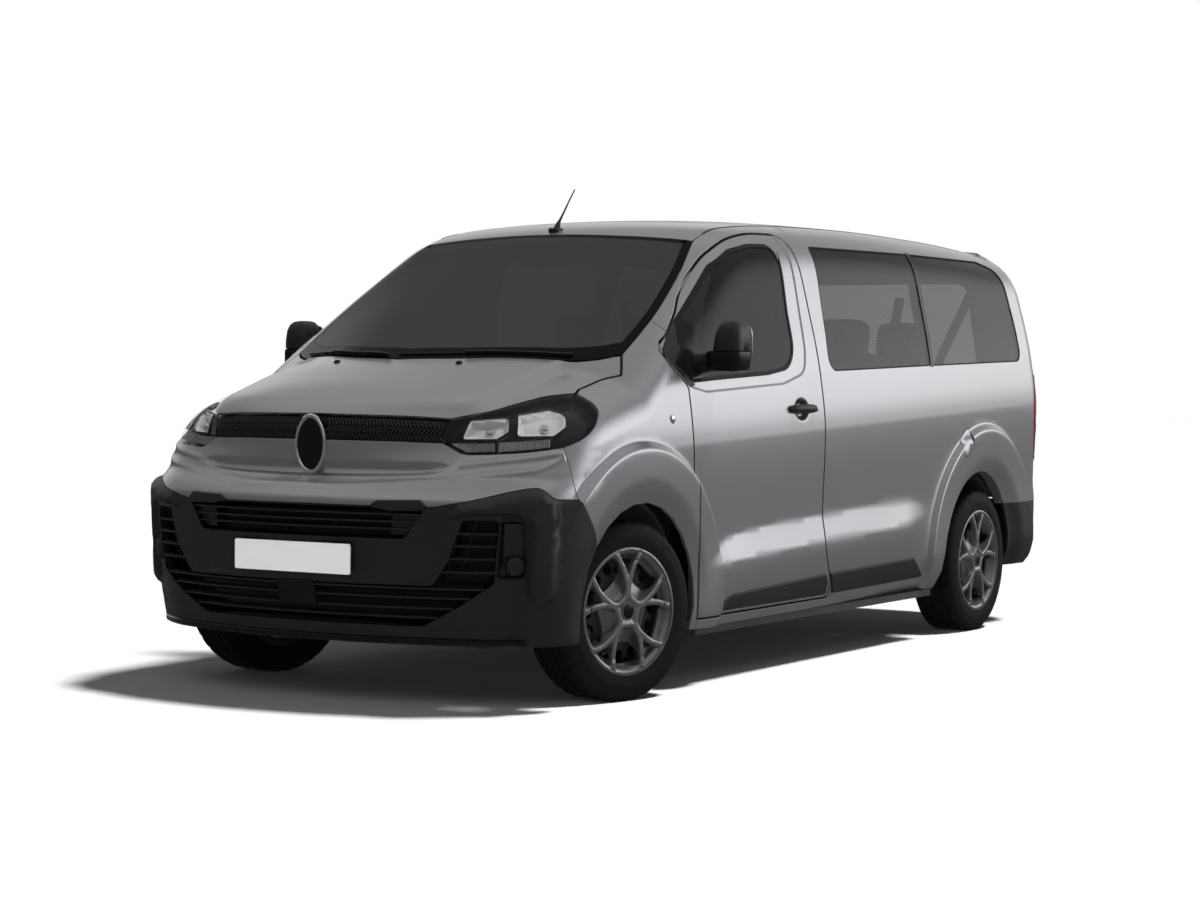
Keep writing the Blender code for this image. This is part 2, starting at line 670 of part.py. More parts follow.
# Side window outlines
door_glass = rounded([
    (-1.256, 1.343), (-1.159, 1.421, 0.05), (-0.777, 1.662, 0.2), (-0.589, 1.735, 0.2), (-0.409, 1.765, 0.2),
    (-0.165, 1.772, 0.05), (-0.205, 1.717, 0.1), (-0.247, 1.481, 0.3), (-0.262, 1.255, 0.14), (-0.527, 1.222, 0.3),
    (-1.215, 1.190, 0.06), (-1.305, 1.285, 0.03),
])
mid_glass = rounded([(0.108, 1.772, 0.03), (1.120, 1.782, 0.02), (1.088, 1.268, 0.02), (0.030, 1.238, 0.06)])
slider_glass = rounded([(0.108, 1.772, 0.03), (1.036, 1.780, 0.03), (1.030, 1.266, 0.05), (0.052, 1.238, 0.06)])
rear_glass = rounded([(1.150, 1.782, 0.02), (1.965, 1.780, 0.1), (2.160, 1.740, 0.10), (2.185, 1.500, 0.3), (2.195, 1.296, 0.06), (1.112, 1.268, 0.02)])


def hole(loop):
    return split(np.concatenate([loop, loop[:1]]), 0.30)[:-1]


def pane(loop):
    """A pane that fills the hole of the same outline but for the seating gap."""
    points = hole(loop)
    return shrink(points, np.full(len(points), PANE_GAP))


# Body sides. The right one also has the opening of its sliding door
tail_lamp_in = rounded([(TAIL_SIDE_U, LAMP_Z[1]), (2.34, LAMP_Z[1], 0.05), (2.31, 1.0, 0.1), (2.34, LAMP_Z[0], 0.04), (TAIL_SIDE_U, LAMP_Z[0])], closed=False)
tail_low = [p for p in tail_side if p[1] <= LAMP_Z[0] - 0.02] + [(TAIL_SIDE_U, LAMP_Z[0])]
tail_mid = split([(TAIL_SIDE_U, LAMP_Z[0]), (TAIL_SIDE_U, LAMP_Z[1])], 0.2)
tail_high = [(TAIL_SIDE_U, LAMP_Z[1])] + [p for p in tail_side if p[1] > LAMP_Z[1] + 0.006]

body_edges = [
    (flip(fender_tip), S), (door_top, D), (door_rear, D), (door_low, D), (flip(fender_sill), S),
    (split([(-1.160, SILL_Z), rear_arc[0]], 0.3), 0), (rear_arc, 0), (bumper_top, S), (tail_low, D),
    (flip(tail_lamp_in), S), (tail_high, D), (flip(roof_side), S), (flip(screen_pillar), S),
]
slider = rounded([(0.012, 1.808, 0.03), (1.096, 1.812, 0.03), (1.096, DOOR_BOTTOM_Z + 0.01, 0.05), (0.066, DOOR_BOTTOM_Z + 0.01, 0.05), (0.066, 0.345, 0.02), (-0.022, 0.50, 0.05)])
slider = split(np.concatenate([slider, slider[:1]]), 0.25)[:-1]
outline = ring(*body_edges)
left = shell("body_side_left", belt, outline, [hole(mid_glass), hole(rear_glass)], SIDE_WALL, PAINT)
rest_top = DOOR_BOTTOM_Z + D - SEAT_GAP
join(left, box("b_rest_left", (0.885, -1.09, 0.255), (0.905, -1.05, rest_top), PAINT))
right_side = shell("body_side_right", belt, outline, [shrink(slider, np.full(len(slider), -D)), hole(rear_glass)], SIDE_WALL, PAINT, right=True)
join(
    right_side,
    box("b_rest_right", (-0.905, -1.09, 0.255), (-0.885, -1.05, rest_top), PAINT),
    box("b_runner", (-0.905, 0.30, 0.255), (-0.885, 0.80, rest_top + 0.01), PAINT),
)
shell("sliding_door_right", belt, shrink(slider, np.full(len(slider), D)), [hole(slider_glass)], SIDE_WALL, PAINT, right=True)
shell("glass_left_mid", belt, pane(mid_glass), [], GLASS_WALL, GLASS, grid=0.3)
shell("glass_left_rear", belt, pane(rear_glass), [], GLASS_WALL, GLASS, grid=0.3)
shell("glass_slider", belt, pane(slider_glass), [], GLASS_WALL, GLASS, right=True, grid=0.3)
shell("glass_right_rear", belt, pane(rear_glass), [], GLASS_WALL, GLASS, right=True, grid=0.3)

door_ring = ring((door_front, D), (door_top, D + SWING_GAP), (door_rear, D + SWING_GAP), (door_low, D))
fender_ring = ring(
    (fender_sill, S), (door_front, D), (fender_tip, S), (flip(screen_fender), S), (belt_of(HOOD_SIDE), D),
    (lamp_fender, S), (fender_fascia, S), (fender_bumper, S), (flip(fender_arc), 0),
    (split([fender_arc[0], (-1.160, SILL_Z)]), 0),
)
lamp_ring = ring((lamp_fender, S), (lamp_low, S), (lamp_in, S), (flip(belt_of(LAMP_HOOD)), D))
for name, right in (("left", False), ("right", True)):
    shell("door_" + name, belt, door_ring, [hole(door_glass)], SIDE_WALL, PAINT, right)
    shell("glass_door_" + name, belt, pane(door_glass), [], GLASS_WALL, GLASS, right, grid=0.3)
    shell("fender_" + name, belt, fender_ring, [], FENDER_WALL, PAINT, right)
    shell("headlamp_" + name, belt, lamp_ring, [], 0.09, CLEAR, right, grid=0.1)
    shell("tail_lamp_" + name, belt, ring((tail_lamp_in, S), (tail_mid, D)), [], 0.05, RED, right)

# Front
half_top = np.concatenate([lamp_low, strip_low[1:]])
fascia_loop = ring(
    (across(half_top, NOSE_U), S),
    (np.stack([2 * NOSE_U - fender_fascia[:, 0], fender_fascia[:, 1]], -1), S),
    (flip(across(fascia_bumper, NOSE_U)), S),
    (flip(fender_fascia), S),
)
shell("front_fascia", belt, fascia_loop, [], FASCIA_WALL, PAINT)
strip_loop = ring(
    (across(hood_nose, NOSE_U), D), (np.stack([2 * NOSE_U - flip(lamp_in)[:, 0], flip(lamp_in)[:, 1]], -1), S),
    (flip(across(strip_low, NOSE_U)), S), (lamp_in, S),
)
shell("grille_strip", belt, strip_loop, [], 0.02, DARK, sink=0.004)

bumper_low = split([front_arc[-1], (NOSE_U, 0.245)], 0.2)
bumper_loop = ring(
    (across(fascia_bumper, NOSE_U), S),
    (np.stack([2 * NOSE_U - fender_bumper[:, 0], fender_bumper[:, 1]], -1), S),
    (np.stack([2 * NOSE_U - front_arc[:, 0], front_arc[:, 1]], -1), 0),
    (flip(across(bumper_low, NOSE_U)), 0), (flip(front_arc), 0), (flip(fender_bumper), S),
)
N = NOSE_U
upper_grille = rounded([(N - 0.52, 0.735, 0.02), (N - 0.455, 0.628, 0.02), (N + 0.455, 0.628, 0.02), (N + 0.52, 0.735, 0.02)])
lower_grille = rounded([(N - 0.74, 0.455, 0.02), (N - 0.47, 0.315, 0.03), (N + 0.47, 0.315, 0.03), (N + 0.74, 0.455, 0.02)])
shell("front_bumper", belt, bumper_loop, [hole(upper_grille), hole(lower_grille)], BUMPER_WALL, DARK)


def slats(loop, z_low, z_high, count, bar):
    """Long openings in a grille, each kept inside the loop."""
    out = []
    pitch = (z_high - z_low) / count
    for k in range(count):
        z0, z1 = z_low + k * pitch + bar / 2, z_low + (k + 1) * pitch - bar / 2
        for a, b in ((0.02, 0.98),):
            ends = []
            for z in (z0, z1):
                hits = []
                for p, q in zip(loop, np.roll(loop, -1, axis=0)):
                    if (p[1] > z) != (q[1] > z):
                        hits.append(p[0] + (z - p[1]) / (q[1] - p[1]) * (q[0] - p[0]))
                ends.append((min(hits) + bar, max(hits) - bar))
            out.append(split([(ends[0][0], z0), (ends[0][1], z0), (ends[1][1], z1), (ends[1][0], z1), (ends[0][0], z0)], 0.3)[:-1])
    return out


shell("grille_upper", belt, pane(upper_grille), slats(upper_grille, 0.632, 0.731, 3, 0.012), 0.03, DARK, sink=0.012, grid=0.3)
shell("grille_lower", belt, pane(lower_grille), slats(lower_grille, 0.320, 0.450, 3, 0.014), 0.03, DARK, sink=0.012, grid=0.3)

# Hood, windscreen and roof
hood_loop = ring(
    (deck_of(across3(HOOD_NOSE[::1])), D),
    (deck_of(np.array([-1, 1, 1]) * flip(LAMP_HOOD)), D),
    (deck_of(np.array([-1, 1, 1]) * flip(HOOD_SIDE)), D),
    (deck_of(across3(flip(SCREEN_LOW)) * np.array([-1, 1, 1])), D),
    (deck_of(HOOD_SIDE), D),
    (deck_of(LAMP_HOOD), D),
)
lid = shell("hood", deck, hood_loop, [], HOOD_WALL, PAINT)
for s in (-1, 1):
    skin_z = above(0.60, -1.70)[0][2]
    leaf = [(-1.74, skin_z - 0.012), (-1.66, skin_z + 0.002), (-1.66, skin_z - 0.075), (-1.74, skin_z - 0.075)]
    a, b = sorted((s * 0.597, s * 0.605))
    join(lid, prism(f"h_leaf{s}", leaf, "x", a, b, STEEL))


def plan(p):
    return np.atleast_2d(p)[:, :2]


def plan_chart(uv):
    return above(uv[:, 0], uv[:, 1])


screen_loop = ring(
    (plan(across3(flip(SCREEN_LOW)) * np.array([-1, 1, 1])), D), (plan(SCREEN_SIDE), S),
    (plan(across3(SCREEN_TOP)), S), (plan(flip(SCREEN_SIDE) * np.array([-1, 1, 1])), S),
)
shell("windscreen", plan_chart, screen_loop, [], SCREEN_WALL, GLASS)
roof_half = np.concatenate([ROOF_SIDE, roof_corner[1:]])
roof_loop = ring(
    (plan(flip(across3(SCREEN_TOP))), S), (plan(roof_half), S),
    (plan(across3(ROOF_TAIL)), D), (plan(flip(roof_half) * np.array([-1, 1, 1])), S),
)
top_panel = shell("roof_panel", plan_chart, roof_loop, [], ROOF_WALL, PAINT, grid=0.25)
for s in (-1, 1):
    a, b = sorted((s * (0.408 + SEAT_GAP), s * 0.420))
    join(top_panel, box(f"t_leaf{s}", (a, 2.290, 1.740), (b, 2.330, 1.850), STEEL))

# Back
gate_half = np.concatenate([split([(TAIL_U, BUMPER_Z), (TAIL_SIDE_U, BUMPER_Z)], 0.3), tail_side[1:], tail_top[1:]])
gate_loop = ring((gate_half, D), (np.stack([2 * TAIL_U - flip(gate_half)[:, 0], flip(gate_half)[:, 1]], -1), D))
T = TAIL_U
gate_glass = rounded([(T - 0.62, 1.20, 0.08), (T + 0.62, 1.20, 0.08), (T + 0.55, 1.715, 0.08), (T - 0.55, 1.715, 0.08)])
gate = shell("tailgate", belt, gate_loop, [hole(gate_glass)], TAILGATE_WALL, PAINT)
for s in (-1, 1):
    a, b = sorted((s * 0.400, s * 0.408))
    join(gate, box(f"g_leaf{s}", (a, 2.300, 1.742), (b, 2.385, 1.770), STEEL))
shell("glass_tailgate", belt, pane(gate_glass), [], GLASS_WALL, GLASS, grid=0.3)
bumper_base = split([rear_bumper_arc[-1], (TAIL_U, REAR_DROP)], 0.25)
gate_sill = split([(TAIL_SIDE_U, BUMPER_Z), (TAIL_U, BUMPER_Z)], 0.25)


def over(line):
    return np.stack([2 * TAIL_U - line[:, 0], line[:, 1]], -1)


rear_loop = ring(
    (bumper_top, S), (gate_sill, D), (over(flip(gate_sill)), D), (over(flip(bumper_top)), S), (over(rear_bumper_arc), 0),
    (over(bumper_base), 0), (flip(bumper_base), 0), (flip(rear_bumper_arc), 0),
)
shell("rear_bumper", belt, rear_loop, [], BUMPER_WALL, DARK)

# Floor, with the ledges that the body sides stand on and the rear wheel houses
LEDGE_TOP = SILL_Z - SEAT_GAP
floor = box("floor_pan", (-0.78, -1.10, FLOOR_TOP - FLOOR_WALL), (0.78, 1.16, FLOOR_TOP), STEEL)
bits = [box("f_rear", (-0.60, 1.10, FLOOR_TOP - FLOOR_WALL + 0.001), (0.60, 2.10, FLOOR_TOP - 0.001), STEEL)]
bits.append(box("f_tail", (-0.78, 2.06, FLOOR_TOP - FLOOR_WALL), (0.78, 2.36, FLOOR_TOP), STEEL))
bits.append(box("f_cross", (-0.52, 2.30, 0.36), (0.52, 2.40, FLOOR_TOP - 0.001), STEEL))
for s in (-1, 1):
    x = sorted((s * 0.70, s * 0.78))
    bits.append(box(f"f_sill{s}", (x[0], -1.099, LEDGE_TOP - LEDGE_WALL), (x[1], 1.159, FLOOR_TOP - 0.001), STEEL))
    x = sorted((s * 0.71, s * 0.905))
    bits.append(box(f"f_ledge{s}", (x[0], -1.098, LEDGE_TOP - LEDGE_WALL - 0.001), (x[1], 1.158, LEDGE_TOP), STEEL))
    cup = arch_arc(REAR_ARCH, 0.445, -8, 188, 15)
    inner = arch_arc(REAR_ARCH, 0.430, 188, -8, 15)
    x = sorted((s * 0.585, s * 0.86))
    bits.append(prism(f"f_cup{s}", cup + inner, "x", x[0], x[1], STEEL))
    x = sorted((s * 0.570, s * 0.586))
    bits.append(prism(f"f_wall{s}", arch_arc(REAR_ARCH, 0.437, 8, 172, 14), "x", x[0], x[1], STEEL))
join(floor, *bits)

# Front structure: bulkhead, wheel houses and nose frame
bulk = box("front_structure", (-0.80, -1.128, LEDGE_TOP - LEDGE_WALL), (0.80, -1.1004, 1.12), STEEL)
bits = []
for s in (-1, 1):
    x = sorted((s * 0.495, s * 0.86))
    bits.append(prism(f"s_cup{s}", arch_arc(FRONT_ARCH, 0.425, 4, 166, 13) + arch_arc(FRONT_ARCH, 0.410, 166, 4, 13), "x", x[0], x[1], STEEL))
    x = sorted((s * 0.480, s * 0.4955))
    wall = arch_arc(FRONT_ARCH, 0.417, 6, 164, 12) + [(-2.20, 0.44), (-2.20, 0.375), (-1.12, 0.375)]
    bits.append(prism(f"s_wall{s}", wall, "x", x[0], x[1], STEEL))
bits.append(box("s_nose", (-0.60, -2.24, 0.40), (0.60, -2.19, 0.50), STEEL))
bits.append(box("s_top", (-0.50, -2.23, 0.499), (-0.46, -2.19, 0.93), STEEL))
bits.append(box("s_top2", (0.46, -2.23, 0.499), (0.50, -2.19, 0.93), STEEL))
skin_z = above(0.60, -1.70)[0][2]
for s in (-1, 1):
    a, b = sorted((s * (0.605 + SEAT_GAP), s * 0.617))
    bits.append(box(f"s_leaf{s}", (a, -1.72, 0.70), (b, -1.66, skin_z - 0.045), STEEL))
bits.append(box("s_bar", (-0.50, -2.229, 0.90), (0.50, -2.191, 0.94), STEEL))
join(bulk, *bits)

# Power unit and running gear
sub = box("front_subframe", (-0.4796 + 0.0, -1.95, 0.20), (0.4796, -1.30, 0.25), STEEL)
join(
    sub,
    *[box(f"a_arm{s}", (min(s * 0.44, s * 0.755), FRONT_AXLE_Y - 0.02, 0.324), (max(s * 0.44, s * 0.755), FRONT_AXLE_Y + 0.02, 0.350), STEEL) for s in (-1, 1)],
    *[tube(f"a_eye{s}", 0.317, 0.357, 0.024, "z", STEEL, 16, centre=(s * KINGPIN_X, FRONT_AXLE_Y)) for s in (-1, 1)],
    *[box(f"a_post{s}", (min(s * 0.43, s * 0.4796), FRONT_AXLE_Y - 0.05, 0.249), (max(s * 0.43, s * 0.4796), FRONT_AXLE_Y + 0.05, 0.42), STEEL) for s in (-1, 1)],
)
box("engine_block", (-0.36, -1.98, 0.2504), (0.36, -1.36, 0.86), STEEL)
beam = box("rear_axle", (-0.66, REAR_AXLE_Y - 0.035, 0.300), (0.66, REAR_AXLE_Y + 0.035, 0.370), STEEL)
join(
    beam,
    tube("r_stub", -0.890, 0.890, 0.024, "x", STEEL, 24, centre=(REAR_AXLE_Y, HUB_Z)),
    *[box(f"r_arm{s}", (min(s * 0.44, s * 0.50), 1.20, 0.310), (max(s * 0.44, s * 0.50), REAR_AXLE_Y, 0.360), STEEL) for s in (-1, 1)],
    *[box(f"r_post{s}", (min(s * 0.439, s * 0.501), 1.18, 0.330), (max(s * 0.439, s * 0.501), 1.26, FLOOR_TOP - FLOOR_WALL + 0.001 - SEAT_GAP), STEEL) for s in (-1, 1)],
)


def turned(made, centre, angle):
    """A solid turned about an upright line, as the front wheels stand in the photograph."""
    c, s = math.cos(angle), math.sin(angle)
    for v in made.data.vertices:
        x, y = v.co.x - centre[0], v.co.y - centre[1]
        v.co.x, v.co.y = centre[0] + c * x - s * y, centre[1] + s * x + c * y
    return made


BORE_R = 0.0244
WHEEL_STEPS = 30
RIM_R = 0.2155
tyre_profile = [
    (-0.085, RIM_R + 0.0004), (-0.100, 0.235), (-0.1075, 0.275), (-0.098, 0.325), (-0.075, TYRE_R),
    (0.075, TYRE_R), (0.098, 0.325), (0.1075, 0.275), (0.100, 0.235), (0.085, RIM_R + 0.0004),
]
wheel_profile = [
    (-0.100, 0.200), (-0.100, RIM_R), (0.100, RIM_R), (0.106, 0.236), (0.109, 0.236), (0.109, 0.205), (0.095, 0.120),
    (0.100, 0.060), (0.100, 0.0), (0.078, 0.0), (0.078, BORE_R), (0.050, BORE_R), (0.050, 0.060),
    (0.078, 0.120), (0.080, 0.195), (0.060, 0.200),
]


def wheel_at(name, side, y, angle):
    """A tyre and a wheel on one corner. Its outer face points away from the vehicle."""
    centre = (side * TRACK_X, y, HUB_Z)
    for kind, profile, n, look in (("tyre", tyre_profile, WHEEL_STEPS, RUBBER), ("wheel", wheel_profile, WHEEL_STEPS, SILVER)):
        made = lathe(f"{kind}_{name}", [(side * x, r) for x, r in profile], n, look)
        for v in made.data.vertices:
            v.co += Vector(centre)
        if angle:
            turned(made, (side * KINGPIN_X, y), angle)


for name, side in (("left", 1), ("right", -1)):
    wheel_at("front_" + name, side, FRONT_AXLE_Y, REST_STEER)
    wheel_at("rear_" + name, side, REAR_AXLE_Y, 0)
    inner, outer = sorted((side * 0.795, side * 0.813))
    knuckle = turned(box("knuckle_" + name, (inner, FRONT_AXLE_Y - 0.05, 0.295), (outer, FRONT_AXLE_Y + 0.05, 0.380), STEEL), (side * KINGPIN_X, FRONT_AXLE_Y), REST_STEER)
    a, b = sorted((side * 0.742, side * 0.796))
    join(
        knuckle,
        turned(box("k_up" + name, (a, FRONT_AXLE_Y - 0.022, 0.357 + SEAT_GAP), (b, FRONT_AXLE_Y + 0.022, 0.375), STEEL), (side * KINGPIN_X, FRONT_AXLE_Y), REST_STEER),
        turned(box("k_low" + name, (a, FRONT_AXLE_Y - 0.022, 0.300), (b, FRONT_AXLE_Y + 0.022, 0.317 - SEAT_GAP), STEEL), (side * KINGPIN_X, FRONT_AXLE_Y), REST_STEER),
        turned(tube("k_stub" + name, min(side * 0.812, side * 0.890), max(side * 0.812, side * 0.890), 0.024, "x", STEEL, 24, centre=(FRONT_AXLE_Y, HUB_Z)), (side * KINGPIN_X, FRONT_AXLE_Y), REST_STEER),
    )

# Cab
dash = [(-1.10, 0.80), (-1.10, 1.14), (-1.02, 1.16), (-0.84, 1.12), (-0.78, 1.04), (-0.80, 0.86), (-0.90, 0.80)]
prism("dashboard", dash, "x", -0.76, 0.76, DARK)
join(bpy.data.objects["dashboard"], box("d_column", (0.35, -0.86, 0.90), (0.43, -0.6728, 0.97), DARK))
rim = []
n_big, n_small = 18, 5
tilt = math.radians(28)
hub = Vector((0.39, -0.60, 0.985))
points, faces = [], []
for i in range(n_big):
    a = 2 * math.pi * i / n_big
    for j in range(n_small):
        b = 2 * math.pi * j / n_small
        r = 0.185 + 0.015 * math.cos(b)
        q = Vector((r * math.cos(a), 0.015 * math.sin(b), r * math.sin(a)))
        points.append(hub + Matrix.Rotation(-tilt, 3, "X") @ q)
for i in range(n_big):
    for j in range(n_small):
        k, m = (i + 1) % n_big, (j + 1) % n_small
        faces.append((i * n_small + j, i * n_small + m, k * n_small + m, k * n_small + j))
wheel_rim = mesh_object("steering_wheel", points, faces, DARK)


def tilted_box(name, low, high):
    made = box(name, low, high, DARK)
    for v in made.data.vertices:
        v.co = hub + Matrix.Rotation(-tilt, 3, "X") @ v.co
    return made


join(wheel_rim, tilted_box("w_bar", (-0.182, -0.012, -0.02), (0.182, 0.010, 0.02)), tilted_box("w_boss", (-0.06, -0.05, -0.06), (0.06, 0.016, 0.06)))


def seat(name, x0, x1, y0, back_top=1.20, stand=FLOOR_TOP):
    """One seat as one closed solid: foot, cushion, backrest and headrest."""
    c = (x0 + x1) / 2
    cushion = prism(name, [(y0, 0.78), (y0, 0.90), (y0 + 0.05, 0.94), (y0 + 0.50, 0.93), (y0 + 0.62, back_top), (y0 + 0.70, back_top), (y0 + 0.64, 0.80), (y0 + 0.56, 0.78)], "x", x0, x1, CLOTH)
    foot = box("foot_" + name, (x0 + 0.05, y0 + 0.08, stand + SEAT_GAP), (x1 - 0.05, y0 + 0.52, 0.785), DARK)
    rests = []
    count = max(1, round((x1 - x0) / 0.5))
    for k in range(count):
        m = x0 + (x1 - x0) * (k + 0.5) / count
        rests.append(prism(f"rest{k}_" + name, [(y0 + 0.60, back_top - 0.01), (y0 + 0.63, back_top + 0.20), (y0 + 0.71, back_top + 0.20), (y0 + 0.70, back_top - 0.01)], "x", m - 0.13, m + 0.13, CLOTH))
    return join(cushion, foot, *rests)


seat("driver_seat", 0.15, 0.65, -0.42)
seat("passenger_seat", -0.65, 0.08, -0.42)
seat("bench_row2", -0.70, 0.70, 0.42)
seat("bench_row3", -0.55, 0.55, 1.28, stand=FLOOR_TOP - 0.001)

# Mirrors, plate, aerial
head = rounded([(0.965, 1.236, 0.03), (1.102, 1.250, 0.04), (1.094, 1.425, 0.05), (0.972, 1.432, 0.04)])
for name, right in (("left", False), ("right", True)):
    s = -1 if right else 1
    made = prism("mirror_" + name, [(s * x, z) for x, z in head], "y", -1.115, -1.020, DARK)
    foot_skin = side_of([(y, z) for y in (-1.155, -1.11, -1.06) for z in (1.245, 1.285)])[:, 0].max() - 0.0107
    a, b = sorted((s * foot_skin, s * 1.00))
    join(made, box("m_arm" + name, (a, -1.155, 1.245), (b, -1.060, 1.285), DARK))

plate_y = belt([(NOSE_U, 0.551)])[0][1] + 0.0012
box("number_plate", (-0.26, plate_y - 0.009, 0.496), (0.26, plate_y, 0.606), WHITE)
foot = above(0, -0.70)[0]
spot = np.array([0, foot[1], foot[2] - 0.001])
tip = spot + np.array([0, 0.150, 0.185])
points, faces = [], []
for centre, r in ((spot, 0.020), (spot + (0, 0.004, 0.016), 0.012), (spot + (0, 0.030, 0.040), 0.004), (tip, 0.002)):
    points += [centre + r * np.array([math.cos(t), math.sin(t), 0]) for t in np.linspace(0, 2 * math.pi, 7)[:-1]]
for k in range(3):
    faces += [(6 * k + i, 6 * k + (i + 1) % 6, 6 * k + 6 + (i + 1) % 6, 6 * k + 6 + i) for i in range(6)]
faces += [tuple(range(6))[::-1], tuple(range(18, 24))]
mesh_object("roof_aerial", points, faces, DARK)
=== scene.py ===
"""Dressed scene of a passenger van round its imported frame: fine panels, lamps, grilles, wheels and cab."""

import math

import bmesh
import bpy
import numpy as np
from mathutils import Matrix, Vector, geometry


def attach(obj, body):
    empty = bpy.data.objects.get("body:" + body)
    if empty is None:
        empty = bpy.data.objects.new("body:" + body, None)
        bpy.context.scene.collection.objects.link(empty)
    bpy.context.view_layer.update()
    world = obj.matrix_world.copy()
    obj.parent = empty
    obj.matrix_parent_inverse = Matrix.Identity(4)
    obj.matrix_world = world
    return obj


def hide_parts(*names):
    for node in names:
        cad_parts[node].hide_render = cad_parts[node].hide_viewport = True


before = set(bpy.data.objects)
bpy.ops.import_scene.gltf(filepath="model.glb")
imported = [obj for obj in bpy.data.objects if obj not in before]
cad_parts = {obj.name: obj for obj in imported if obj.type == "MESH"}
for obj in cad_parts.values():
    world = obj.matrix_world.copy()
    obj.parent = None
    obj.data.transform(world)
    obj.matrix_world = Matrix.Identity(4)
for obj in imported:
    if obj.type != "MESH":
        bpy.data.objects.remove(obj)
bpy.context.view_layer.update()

# How much wider the panels' triangles are than each call asks for
SHEET_STEP = 1.15

# Sizes that the panels share with the solids
FRONT_AXLE_Y = -1.587
REAR_AXLE_Y = 1.688
HUB_Z = 0.337
TRACK_X = 0.815
KINGPIN_X = 0.765
REST_STEER = math.radians(-14)
SEAT_GAP = 0.0004
SHUT_GAP = 0.007
SIDE_WALL = 0.050
ROOF_WALL = 0.022
HOOD_WALL = 0.018
FENDER_WALL = 0.010
BUMPER_WALL = 0.014
SCREEN_WALL = 0.006
TAILGATE_WALL = 0.045
SILL_Z = 0.235
DOOR_BOTTOM_Z = 0.275
FLOOR_TOP = 0.530
FRONT_ARCH = (FRONT_AXLE_Y, HUB_Z, 0.405)
REAR_ARCH = (1.615, HUB_Z, 0.430)
LONGEST_EDGE = 0.12
FINE = 0.16
ARC = 8


# Body surface, as one smooth field that is zero on the skin and negative inside


def curve(*pts):
    """A smooth curve through the given points that never swings past them."""
    xs = np.array([p[0] for p in pts], float)
    ys = np.array([p[1] for p in pts], float)
    h = np.diff(xs)
    d = np.diff(ys) / h
    m = np.zeros(len(xs))
    m[0], m[-1] = d[0], d[-1]
    for i in range(1, len(xs) - 1):
        if d[i - 1] * d[i] > 0:
            w1, w2 = 2 * h[i] + h[i - 1], h[i] + 2 * h[i - 1]
            m[i] = (w1 + w2) / (w1 / d[i - 1] + w2 / d[i])

    def at(t):
        t = np.asarray(t, float)
        i = np.clip(np.searchsorted(xs, t) - 1, 0, len(h) - 1)
        u = np.clip((t - xs[i]) / h[i], 0, 1)
        return (
            ys[i] * (2 * u**3 - 3 * u**2 + 1)
            + ys[i + 1] * (3 * u**2 - 2 * u**3)
            + h[i] * m[i] * (u**3 - 2 * u**2 + u)
            + h[i] * m[i + 1] * (u**3 - u**2)
        )

    return at


def step(a, b, t):
    """A soft step from 0 at a to 1 at b."""
    u = np.clip((t - a) / (b - a), 0, 1)
    return u * u * (3 - 2 * u)


def smax(a, b, k):
    """The larger of two fields, with a rounded edge of about k where they meet."""
    h = np.maximum(k - np.abs(a - b), 0) / k
    return np.maximum(a, b) + h * h * k / 4


def smin(a, b, k):
    """The smaller of two fields, with a rounded edge of about k where they meet."""
    return -smax(-a, -b, k)


hood_c = curve(
    (-2.46, 0.90), (-2.40, 1.03), (-2.34, 1.085), (-2.2, 1.150),
    (-2.0, 1.215), (-1.83, 1.265), (-1.5, 1.345), (-1.0, 1.42),
)
roof_c = curve(
    (-1.2, 1.74), (-0.76, 1.815), (-0.4, 1.868), (0.1, 1.895),
    (0.8, 1.905), (1.6, 1.893), (2.1, 1.872), (2.45, 1.845),
)


def hood(x, y):
    """Height of the hood, with its crease towards the fender."""
    ax = np.abs(x)
    crease = 0.022 * step(-0.02, 0.06, ax - (0.56 + 0.04 * (y + 2.2)))
    return hood_c(y) - 0.10 * ax**2 - 0.20 * np.maximum(ax - 0.3, 0) ** 2 - crease


def screen(x, y):
    """Height of the windscreen's plane, carried on in all directions."""
    q = 0.62 - 0.33 * np.clip((y + 1.6) / 0.9, 0, 1)
    return 1.265 + 0.50 * (y + 1.83 - q * x**2)


def roof(x, y):
    """Height of the roof."""
    return roof_c(y) - 0.075 * x**2 - 0.10 * np.maximum(np.abs(x) - 0.45, 0) ** 2


def top(x, y):
    """Height of the whole upper side: hood, windscreen and roof."""
    return smin(smax(hood(x, y), screen(x, y), 0.01), roof(x, y), 0.05)


section = curve(
    (-0.8, 0.87), (-0.72, 0.920), (-0.62, 0.938), (-0.40, 0.940), (0.0, 0.952), (0.04, 0.950),
    (0.22, 0.928), (0.36, 0.902), (0.5, 0.868), (0.66, 0.828), (0.82, 0.780), (1.0, 0.72),
)
bulge_up = curve((-1.10, 0.50), (-0.86, 0.585), (-0.09, 0.632), (0.82, 0.66), (1.05, 0.62))
bulge_low = curve((-1.10, 0.47), (-0.82, 0.485), (-0.07, 0.519), (0.74, 0.548), (1.05, 0.58))


def bulge(y, z):
    """How far the long swelling low on the side stands out."""
    up, low = bulge_up(y), bulge_low(y)
    fade = step(-1.12, -0.85, y) * (1 - step(0.75, 1.08, y))
    u = np.clip((up - z) / (up - low), 0, 1)
    return fade * 0.020 * u * (1 - step(low - 0.02, low - 0.25, z))


def flare(y, z, centre, rise, reach):
    """How far the soft flare round a wheel arch stands out."""
    r = np.hypot(y - centre, z - HUB_Z)
    return rise * (1 - step(reach - 0.06, reach + 0.02, r)) * step(0.36, 0.50, r)


def width(y, z):
    """Half the width of the body at a place on its side."""
    w = section(z - 0.985 - 0.038 * y) + bulge(y, z)
    w = w + flare(y, z, FRONT_AXLE_Y, 0.030, 0.64) + flare(y, z, REAR_AXLE_Y, 0.028, 0.66)
    return w - 0.006 * step(0.8, 2.4, y) - 0.012 * step(-1.2, -2.1, y)


